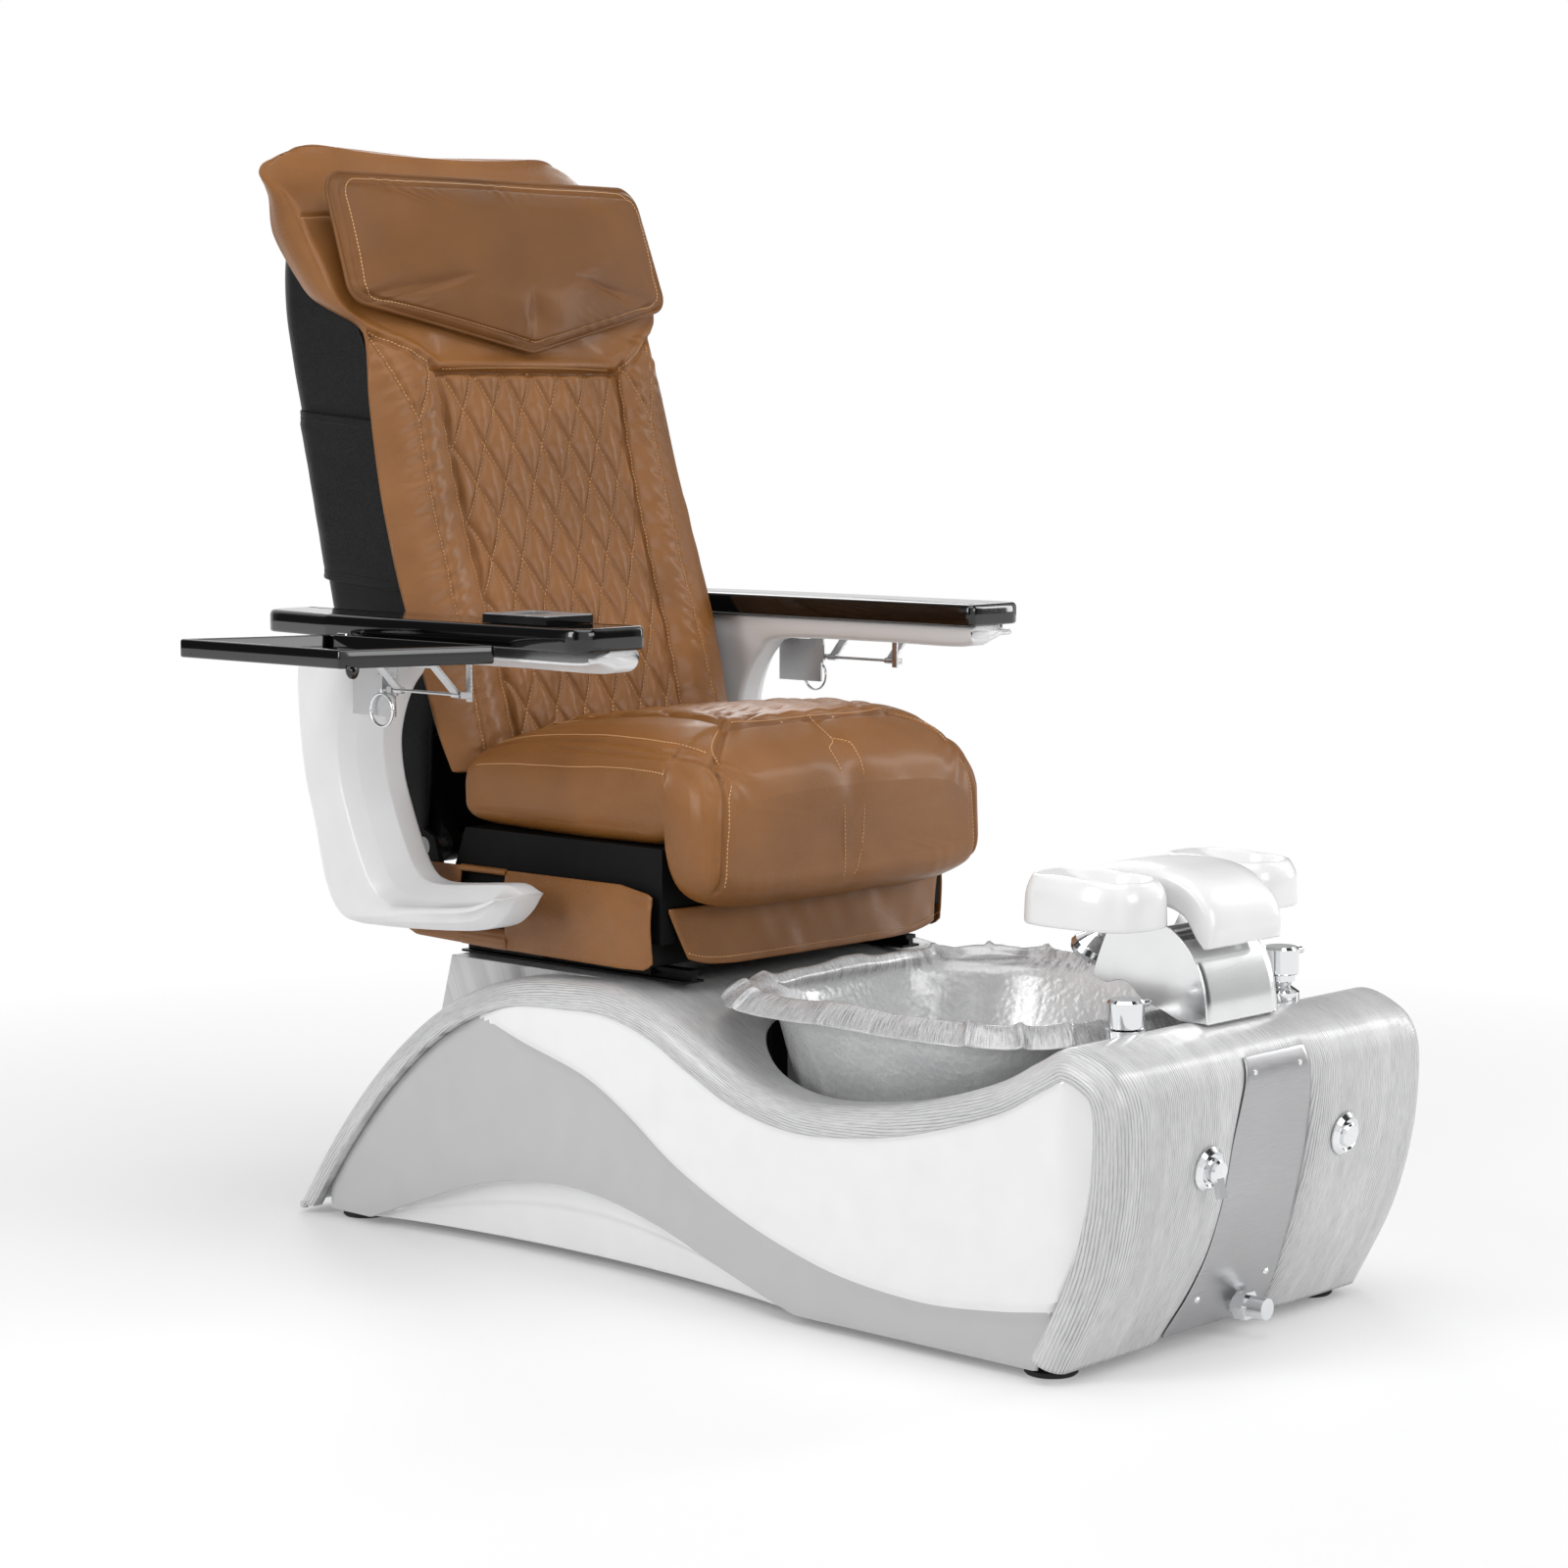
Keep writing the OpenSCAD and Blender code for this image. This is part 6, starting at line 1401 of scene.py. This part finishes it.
def make_seat():
    """Seat cushion: full front roll, quilted middle, plain side bolsters with a welt down each side."""
    rows = []
    for y, low, high, half in SEAT_ROWS:
        x, z = squircle(around(72), half, (high - low) / 2, 5.5)
        dish = np.where(z > 0, 7 * (1 - (x / half) ** 2) - 9 * (np.abs(x) / half) ** 8 - 2, 0)
        rows.append(surface(-x, float(y), (high + low) / 2 + z + dish))
    blank = np.array(rows)
    hold = (blank[..., 2] < SEAT_UNDER + 2) & (blank[..., 1] > 0)
    hold[-1] = hold[0] = True
    soft = puffed(blank, pressure=5.0, cap=8.0, hold=hold, relax=4)
    soft[..., 0] = np.clip(soft[..., 0], -271, 271)
    low = (soft[..., 1] > 4) & (soft[..., 2] < 560)
    soft[..., 2] = np.where(low, np.maximum(soft[..., 2], SEAT_UNDER), soft[..., 2])
    fine = fine_grid(soft, 10, 5, closed=True)
    normal = grid_normals(fine, closed=True)
    px, py, pz = fine[..., 0], fine[..., 1], fine[..., 2]
    top = ease((normal[..., 2] - 0.25) / 0.3)
    inside = top * ease((SEAT_QUILT_HALF - np.abs(px)) / 4) * ease((py - SEAT_QUILT_Y) / 5)
    off, cell = diamonds(px, py - SEAT_QUILT_Y, SEAT_DIAMOND)
    puff = inside * (6.0 * cell - 2.0 * bell(off / 1.7))
    plan = np.stack([px, py], -1)
    edges = both_ways([(SEAT_QUILT_HALF, 350), (SEAT_QUILT_HALF, -2), (214, -50)])
    edges.append([(-SEAT_QUILT_HALF, -6), (SEAT_QUILT_HALF, -6)])
    top_seams, _ = seam_field(plan, edges, 4.6)
    welts, _ = seam_field(plan, both_ways([(232, 350), (238, 20), (222, -46)]), 3.0)
    face = ease((-normal[..., 1] - 0.35) / 0.3)
    wall = np.stack([px, pz], -1)
    centre, _ = seam_field(wall, [[(0, 455), (0, 670)]], 2.6)
    corners, _ = seam_field(wall, both_ways([(236, 455), (230, 560), (218, 640)]), 3.0)
    centre_top, _ = seam_field(plan, [[(0, -90), (0, -6)]], 2.6)
    flank = ease((np.abs(normal[..., 0]) - 0.5) / 0.3)
    flank_seam = bell((pz - (640 - 46 * ease((-py - 40) / 30))) / 2.6) * flank
    folds = wrinkle(px / 52, (py + pz) / 46, 41) * 0.8
    folds = folds + wrinkle(px / 20, pz / 46, 43) * 0.9 * face * ease((540 - pz) / 70)
    fan = np.sin(np.arctan2(pz - 640, np.abs(px) - 226) * 11)
    fan = fan * bell(np.hypot(pz - 628, np.abs(px) - 222) / 46) * face
    lift = puff - 6.0 * top_seams * top - 3.0 * welts * top
    lift = lift - 3.6 * (centre * face + centre_top * top * (1 - face))
    lift = lift - 4.4 * corners * face - 2.6 * flank_seam + folds * (1 - inside) * 0.9 + fan * 1.5
    fade = np.where((normal[..., 2] < -0.5) & (py > 0), 0.0, 1.0)
    fine = fine + normal * (lift * fade)[..., None]
    fine[..., 0] = np.clip(fine[..., 0], -273, 273)
    seat = add("seat_cushion_cover", *rings(fine), TAN, "seat", ["seat_cushion"], "tan_leather")
    sew_seat(fine)


def nearest_rows(fine, targets):
    """Surface points and normals nearest to a list of target points."""
    flat = fine.reshape(-1, 3)
    normal = grid_normals(fine, closed=True).reshape(-1, 3)
    picks = [int(np.argmin(((flat - t) ** 2).sum(1))) for t in targets]
    pts, nrm = flat[picks], normal[picks]
    keep = np.concatenate([[True], np.linalg.norm(np.diff(pts, axis=0), axis=1) > 0.5])
    return pts[keep], nrm[keep]


def smoothed(points, passes=6):
    """A polyline relaxed towards the middle of its neighbours, with its ends kept."""
    p = points.copy()
    for _ in range(passes):
        p[1:-1] = (p[:-2] + 2 * p[1:-1] + p[2:]) / 4
    return p


def sew_seat(fine):
    """Stitch rows of the seat: quilt lines, both sides of each seam, and the centre seam of the roll."""
    runs = []
    for s in (-1, 1):
        line = [(s * (SEAT_QUILT_HALF + 5), y, 668) for y in np.linspace(330, 0, 60)]
        for t in np.linspace(0, 1, 16)[1:]:
            line.append((s * mix(SEAT_QUILT_HALF, 214, t) + s * 5, mix(-2, -50, t), 668))
        for z in np.linspace(640, 470, 34):
            line.append((s * look(z, [(455, 241), (560, 235), (645, 219)]), -110, z))
        runs.append(line)
        welt = [(-46, 222), (20, 240), (350, 236)]
        runs.append([(s * look(y, welt), y, 672) for y in np.linspace(-44, 330, 70)])
        runs.append([(s * 300, y, 634) for y in np.linspace(-20, 330, 60)])
    for off in (-5, 5):
        bow = spline([(-12, 684), (-60, 678), (-96, 652), (-116, 600), (-120, 470)], 14)
        runs.append([(off, y, z) for y, z in bow])
    runs.append([(x, -12, 680) for x in np.linspace(-140, 140, 60)])
    y = np.linspace(-4, 320, 110)
    for line in quilt_lines(10, SEAT_QUILT_Y, y, SEAT_DIAMOND, SEAT_QUILT_HALF - 3):
        runs.append([(across, along, 668) for across, along in line])
    done = []
    for line in runs:
        pts, nrm = nearest_rows(fine, np.array(line, float))
        if len(pts) > 3:
            done.append((smoothed(pts), nrm))
    sew("seat_thread", done, "seat")


# ---------------------------------------------------------------- skirts
SKIRT_OUT = 262.3
HEM_LOW = [(4, 400), (10, 390), (22, 384.5), (60, 383), (300, 385), (430, 388), (448, 395), (458, 404)]
HEM_HIGH = [(4, 468), (12, 474), (60, 482), (400, 481), (440, 474), (458, 462)]
OPENING_START, OPENING_END, OPENING_LOW, OPENING_HIGH = 262.0, 345.0, 407.0, 478.5


def make_skirts():
    """Leather skirts under the seat: side flaps with an arm opening, and a flared front flap."""
    for side, s in (("right", -1), ("left", 1)):
        y = np.concatenate([np.linspace(8, OPENING_START, 40), np.linspace(OPENING_END, 458, 18)])
        low, high = look(y, HEM_LOW), look(y, HEM_HIGH)
        v = np.linspace(0, 1, 22)

        def flap(ys, lo, hi, seed):
            z = mix(lo[None, :], hi[None, :], v[:, None])
            ripple = 1.1 * wrinkle(ys[None, :] / 38 + 0 * z, z / 30, seed)
            hem = -0.8 * (bell((z - lo[None, :] - 8) / 2) + bell((hi[None, :] - z - 8) / 2))
            bulge = np.sin(math.pi * v)[:, None]
            x = SKIRT_OUT + 1.2 + np.clip(3.6 * bulge**0.8 + ripple * bulge + hem, -0.3, 6)
            p = surface(s * x, ys[None, :], z)
            return p if s < 0 else p[:, ::-1]

        front = y <= OPENING_START
        ws = np.linspace(OPENING_START, OPENING_END, 20)
        sets = [
            (y[front], low[front], high[front]),
            (ws, look(ws, HEM_LOW), np.full_like(ws, OPENING_LOW)),
            (ws, np.full_like(ws, OPENING_HIGH), look(ws, HEM_HIGH) + 0.1),
            (y[~front], low[~front], high[~front]),
        ]
        grids = [flap(a, b, c, 51 + k) for k, (a, b, c) in enumerate(sets)]
        skins = [slab(g, 3.0, 3) for g in grids]
        node_name = f"skirt_{side}"
        flap_obj = add(f"side_skirt_{side}", *joined(*skins), TAN, "seat", [node_name], "tan_leather")
        runs = [(g[k], grid_normals(g)[k]) for g in (grids[0], grids[3]) for k in (2, -3)]
        sew(f"skirt_thread_{side}", runs, "seat")
    u = np.linspace(-1, 1, 60)
    v = np.linspace(0, 1, 22)
    half = mix(228, 246, v)[:, None] - 3 * (1 - v[:, None])
    z = mix(386 + 12 * np.abs(u) ** 8, 456, v[:, None])
    flare = 6 * (1 - v[:, None]) ** 1.5
    y = -18.5 + 8 * np.abs(u) ** 4 + 6 * v[:, None] - flare + wrinkle(u[None, :] * 8 + 0 * z, z / 34, 61)
    g = np.stack([u[None, :] * half, y, z], -1)
    front = add("front_skirt", *slab(g, 3.4, 3), TAN, "seat", ["skirt_front"], "tan_leather")
    sew("front_skirt_thread", [(g[2], grid_normals(g)[2])], "seat")


make_back_cover()
make_pillow()
make_back_shell()
make_seat()
make_skirts()


# ---------------------------------------------------------------- arms, trays and control panel
ARM_IN, ARM_OUT = 305.0, 385.0
TOP_IN, TOP_OUT, ARM_Z, TOP_T = 297.0, 405.0, 800.0, 28.0
ARM_FRONT, ARM_REAR = -18.0, 590.0
RAIL_UNDER = 744.0
UNDER_TOP = ARM_Z - TOP_T - 0.3
TRAY_HINGE_X, TRAY_HINGE_Z = TOP_OUT + 5, 766.0
TRAY_W, TRAY_L, TRAY_H = 190.0, 300.0, 22.0
TRAY_FRONT, TRAY_SHEAR = 112.0, 66.0
ARM_OUTER = [(152, 464), (172, 440), (208, 423), (302, 414), (400, 410), (452, 414), (484, 452), (506, 530),
             (526, 600), (535, 680), (533, 740), (505, UNDER_TOP), (350, UNDER_TOP), (160, UNDER_TOP),
             (0, UNDER_TOP), (ARM_FRONT + 10, UNDER_TOP)]
ARM_INNER = [(154, 472), (176, 479), (212, 477), (290, 470), (325, 472), (346, 484), (364, 512), (384, 555),
             (400, 600), (404, 645), (390, 690), (366, 722), (330, RAIL_UNDER - 3), (160, RAIL_UNDER),
             (10, RAIL_UNDER), (ARM_FRONT + 6, RAIL_UNDER + 12)]


def both_sides(name, skin, finish, stands_for, slot):
    """A closed skin on the right side of the chair and its mirror on the left, each on its own arm body."""
    solid, body = stands_for
    for side, half in (("right", skin), ("left", mirrored(*skin))):
        nodes = [f"{solid}_{side}"] if solid else []
        outward(add(f"{name}_{side}", *half, finish, f"{body}_{side}", nodes, slot))


def make_arm_mouldings():
    """White moulding: a C whose outer face falls to its edges in flat facets with soft ridges."""
    steps = 8
    outer, inner = spline(ARM_OUTER, steps), spline(ARM_INNER, steps)
    outer[:, 1] = np.minimum(outer[:, 1], UNDER_TOP)
    across = inner - outer
    width = np.linalg.norm(across, axis=1, keepdims=True)
    across /= width
    inner_edge = [(ARM_IN, 7.5), (ARM_IN + 2, 3), (ARM_IN + 6, 0.3), (ARM_IN + 9, 0)]
    low_facets = [(-33, 0), (-31.5, 0.3), (-30, 1.2), (-9, 12), (-8, 13), (-1, 24), (0, 26)]
    high_facets = [(-46, 0), (-44.5, 0.5), (-43, 1.6), (-18, 18), (-17, 19), (-2, 36), (0, 39)]
    low, high = (inner_edge + [(ARM_OUT + x, t) for x, t in facets] for facets in (low_facets, high_facets))
    ring = []
    for table, start, way in ((low, outer, 1), (high[::-1], inner, -1)):
        for x, t in table:
            edge = start + way * across * np.minimum(t, 0.44 * width)
            ring.append(np.column_stack([np.full(len(edge), -x), edge]))
    stack = np.stack(ring, 1)
    both_sides("arm_moulding", rings(stack), WHITE_SATIN, ("arm_frame", "arm"), "white_plastic")


def shrunk(outline, t):
    """A convex anticlockwise outline moved inwards by t."""
    along = np.roll(outline, -1, 0) - np.roll(outline, 1, 0)
    side = np.stack([-along[:, 1], along[:, 0]], -1)
    return outline + t * unit(side)


def layered(outline, profile):
    """Rings of the outline at the (inset, height) pairs of a profile."""
    return [np.column_stack([shrunk(outline, t), np.full(len(outline), z)]) for t, z in profile]


def rectangle(x0, y0, x1, y1, radius, steps):
    """An upright rectangle with rounded corners."""
    return rounded([(x0, y0), (x1, y0), (x1, y1), (x0, y1)], (radius,) * 4, steps)


def thicken(outline, spacing=14.0):
    """The outline with points added on its long straights."""
    out = []
    for a, b in zip(outline, np.roll(outline, -1, 0)):
        n = max(1, int(np.linalg.norm(b - a) / spacing))
        out += [a + (b - a) * k / n for k in range(n)]
    return np.array(out)


def make_arm_tops():
    """Lacquered arm tops: a thick board with rounded corners, a rolled top edge and a barely crowned face."""
    corners = [(-TOP_IN, ARM_FRONT), (-TOP_IN, ARM_REAR), (-TOP_OUT + 24, ARM_REAR - 4), (-TOP_OUT + 4, 440)]
    corners += [(-TOP_OUT, 330), (-TOP_OUT, ARM_FRONT)]
    outline = thicken(rounded(corners, (10, 14, 30, 60, 200, 26), 8))
    z0 = ARM_Z - TOP_T
    profile = [(3.2, z0), (1.0, z0 + 0.8), (0, z0 + 3)]
    rolled = [(0, -7), (0.5, -4.2), (1.8, -1.9), (3.8, -0.5), (6.5, -0.05), (10, 0), (20, 0)]
    profile += [(t, ARM_Z + z) for t, z in rolled]
    both_sides("arm_board", rings(layered(outline, profile)), BLACK_GLOSS, ("arm_top", "arm"), "black_gloss")


def make_trays():
    """Fold-down trays: a thin floor inside a rolled rim, with two knuckles and a half-round finger tab."""
    x0, x1 = -TRAY_HINGE_X - 6, -TRAY_HINGE_X - TRAY_W
    y0, y1 = TRAY_FRONT, TRAY_FRONT + TRAY_L
    corners = [(x0, y0), (x0, y1), (x1, y1 + TRAY_SHEAR), (x1, y0 + TRAY_SHEAR)]
    outline = thicken(rounded(corners, (5,) * 4, 6), 12)
    z0, z1 = TRAY_HINGE_Z - TRAY_H / 2, TRAY_HINGE_Z + TRAY_H / 2
    profile = [(2.4, z0), (0.7, z0 + 0.7), (0, z0 + 2.4), (0, z1 - 3), (0.6, z1 - 1.2), (2.0, z1 - 0.2)]
    profile += [(3.4, z1), (6.2, z1), (7.3, z1 - 0.4), (7.9, z1 - 1.6), (8.3, z0 + 8.5), (9.2, z0 + 6.2)]
    profile += [(11.5, z0 + 5.2), (15, z0 + 5), (24, z0 + 5)]
    parts = [rings(layered(outline, profile))]
    web_x0, web_x1 = -TRAY_HINGE_X - 7.5, -TRAY_HINGE_X - 2
    web_profile = [(t, TRAY_HINGE_Z + z) for t, z in ((0.6, -3), (0, -2.4), (0, 2.4), (0.6, 3))]
    a = around(20)
    for y in (y0 + 40, y1 - 60):
        sizes = [(3.9, y), (4.5, y + 0.8), (4.5, y + 19.2), (3.9, y + 20)]
        barrel = [surface(r * np.cos(a) - TRAY_HINGE_X, v, TRAY_HINGE_Z - r * np.sin(a)) for r, v in sizes]
        parts.append(rings(barrel))
        web = rectangle(web_x0, y, web_x1, y + 20, 1, 2)
        parts.append(rings(layered(web, web_profile)))
    a = np.linspace(math.pi, 2 * math.pi, 15)
    disc = np.column_stack([9 * np.cos(a), 9 * np.sin(a)]) * [1, 1.35]
    disc = np.vstack([disc, [[9, 3], [-9, 3]]])
    tab_y = TRAY_FRONT + TRAY_SHEAR - 1
    sizes = [(0.92, tab_y - 5.0), (1.0, tab_y - 4.2), (1.0, tab_y - 0.8), (0.92, tab_y)]
    parts.append(rings([surface(x1 + 16 + disc[:, 0] * s, v, z0 + disc[:, 1] * s) for s, v in sizes]))
    both_sides("tray_board", joined(*parts), BLACK_GLOSS, ("tray", "tray"), "black_gloss")
    clip = rectangle(x0 - 1, y1 - 30, x0 + 5, y1 - 12, 1.5, 3)
    clip = rings(layered(clip, [(0.8, z1 - 6), (0, z1 - 5), (0, z1 + 1), (0.8, z1 + 2)]))
    both_sides("tray_clip", clip, CHROME, (None, "tray"), "chrome")


PANEL_MID = (-350.0, 112.0)
PANEL_W, PANEL_L = 76.0, 110.0
KEY_L, KEY_W = 13.0, 44.0


def frame_ring(outer, inner, radius, z0, z1):
    """A flat frame between two upright rectangles with rounded corners."""
    stack = []
    for rect, grow, z in ((inner, 0, z0), (outer, 0, z0), (outer, 0, z1 - 0.8), (outer, -0.8, z1),
                          (inner, 0.8, z1), (inner, 0, z1 - 0.8), (inner, 0, z0)):
        x, y, w, l = rect
        w, l = w / 2 + grow, l / 2 + grow
        ring = rectangle(x - w, y - l, x + w, y + l, radius if rect is outer else radius * 0.5, 5)
        stack.append(np.column_stack([ring, np.full(len(ring), z)]))
    return merged(*rings(stack, False, False), 1e-4)


def make_control_panel():
    """Panel on the sitter's right arm: satin silver frames round the dark screen and round the key slot."""
    z = ARM_Z + 10.3
    x, y = PANEL_MID
    key_y = y - PANEL_L / 2 + 14 + KEY_L / 2
    screen_y = y - PANEL_L / 2 + 64
    split = y - PANEL_L / 2 + 31
    low, high = y - PANEL_L / 2, y + PANEL_L / 2
    frames = [((x, (split + high) / 2, PANEL_W, high - split), (x, screen_y, PANEL_W - 26, 48))]
    frames.append(((x, (split + low) / 2, PANEL_W, split - low), (x, key_y, KEY_W + 1.2, KEY_L + 1.2)))
    trim = joined(*[frame_ring(outer, inner, 4, z, z + 1.6) for outer, inner in frames])
    add("panel_frame", *trim, SILVER_TRIM, "arm_right", slot="black_gloss", smooth=False)
    glass = rectangle(x - 24.5, screen_y - 23.5, x + 24.5, screen_y + 23.5, 3, 5)
    glass = rings(layered(glass, [(0.4, z - 2), (0, z - 1.6), (0, z - 0.5), (0.5, z)]))
    add("panel_screen", *glass, DARK_GLASS, "arm_right", slot="black_gloss")


make_arm_mouldings()
make_arm_tops()
make_trays()
make_control_panel()


# ---------------------------------------------------------------- stage, lights and camera
def make_floor():
    """Pale floor that fades into the white surround away from the object."""
    m, t, s, co = material("pale floor", Roughness=0.55, Specular_IOR_Level=0.2)
    s.inputs["Base Color"].default_value = (0.93, 0.93, 0.93, 1)
    far = node(t, "ShaderNodeVectorMath", {0: co}, operation="LENGTH")
    fade = plus(t, times(t, ramp(t, far.outputs["Value"], 0.5, 2.4), 0.85), 0.15)
    white = node(t, "ShaderNodeEmission", Strength=1.0)
    white.inputs["Color"].default_value = (1, 1, 1, 1)
    blend = node(t, "ShaderNodeMixShader", {0: fade})
    t.links.new(s.outputs[0], blend.inputs[1])
    t.links.new(white.outputs[0], blend.inputs[2])
    t.links.new(blend.outputs[0], t.nodes["Material Output"].inputs["Surface"])
    mesh = bpy.data.meshes.new("floor")
    mesh.from_pydata([(-9, -9, 0), (9, -9, 0), (9, 9, 0), (-9, 9, 0)], [], [(0, 1, 2, 3)])
    floor = bpy.data.objects.new("floor", mesh)
    scene.collection.objects.link(floor)
    mesh.materials.append(m)


FILL = 0.25


def make_world():
    """White surround for the camera, soft fill for matt light, and bright and dark cards for reflections."""
    world = bpy.data.worlds.new("surround")
    scene.world = world
    world.use_nodes = True
    t = world.node_tree
    back = t.nodes["Background"]
    path = node(t, "ShaderNodeLightPath")
    seen = math_node(t, "MAXIMUM", path.outputs["Is Camera Ray"], path.outputs["Is Transmission Ray"])
    way = node(t, "ShaderNodeTexCoord").outputs["Generated"]
    way_xyz = node(t, "ShaderNodeSeparateXYZ", {0: way})
    studio = 1.0
    for east, north, thin, thick in ((0.83, 0.55, 0.2, 0.42), (0.35, -0.93, 0.14, 0.34)):
        along = plus(t, times(t, way_xyz.outputs["X"], east), times(t, way_xyz.outputs["Y"], north))
        studio = times(t, ramp(t, math_node(t, "ABSOLUTE", along), thin, thick), studio)
    studio = plus(t, times(t, studio, 0.8), 0.05)
    glossy = path.outputs["Is Glossy Ray"]
    fill = times(t, math_node(t, "SUBTRACT", 1.0, glossy), FILL)
    strength = math_node(t, "MAXIMUM", seen, plus(t, times(t, glossy, studio), fill))
    t.links.new(strength, back.inputs["Strength"])
    back.inputs["Color"].default_value = (1, 1, 1, 1)


def lamp(name, place, aim, size, power):
    """A soft rectangular lamp that looks at a point."""
    data = bpy.data.lights.new(name, "AREA")
    data.shape = "RECTANGLE"
    data.size, data.size_y = size
    data.energy = power
    obj = bpy.data.objects.new(name, data)
    scene.collection.objects.link(obj)
    obj.location = place
    way = np.array(aim) - np.array(place)
    tilt = math.atan2(math.hypot(way[0], way[1]), -way[2])
    obj.rotation_euler = (tilt, 0, math.atan2(-way[0], way[1]))


CAMERA_PLACE = (-3.272, -2.992, 1.055)
CAMERA_PITCH, CAMERA_YAW, CAMERA_LENS = -6.0, -47.2, 82.4

make_floor()
make_world()
lamp("overhead softbox", (-0.4, -0.6, 3.2), (0, 0, 0.5), (2.6, 2.6), 52)
lamp("left softbox", (-3.4, 0.6, 1.9), (0, 0.1, 0.6), (1.3, 2.2), 62)
lamp("front softbox", (0.4, -3.8, 1.8), (0, -0.2, 0.5), (2.2, 1.6), 42)
lamp("right strip", (2.7, -1.6, 1.7), (0, 0, 0.8), (0.45, 2.2), 26)
lamp("rear softbox", (2.4, 2.6, 2.2), (0, 0.2, 0.8), (1.8, 1.8), 30)

camera_data = bpy.data.cameras.new("camera")
camera_data.lens = CAMERA_LENS
camera_data.sensor_width = 36
camera = bpy.data.objects.new("camera", camera_data)
scene.collection.objects.link(camera)
camera.location = CAMERA_PLACE
camera.rotation_euler = (math.radians(90 + CAMERA_PITCH), 0, math.radians(CAMERA_YAW))
scene.camera = camera
scene.view_settings.view_transform = "Standard"
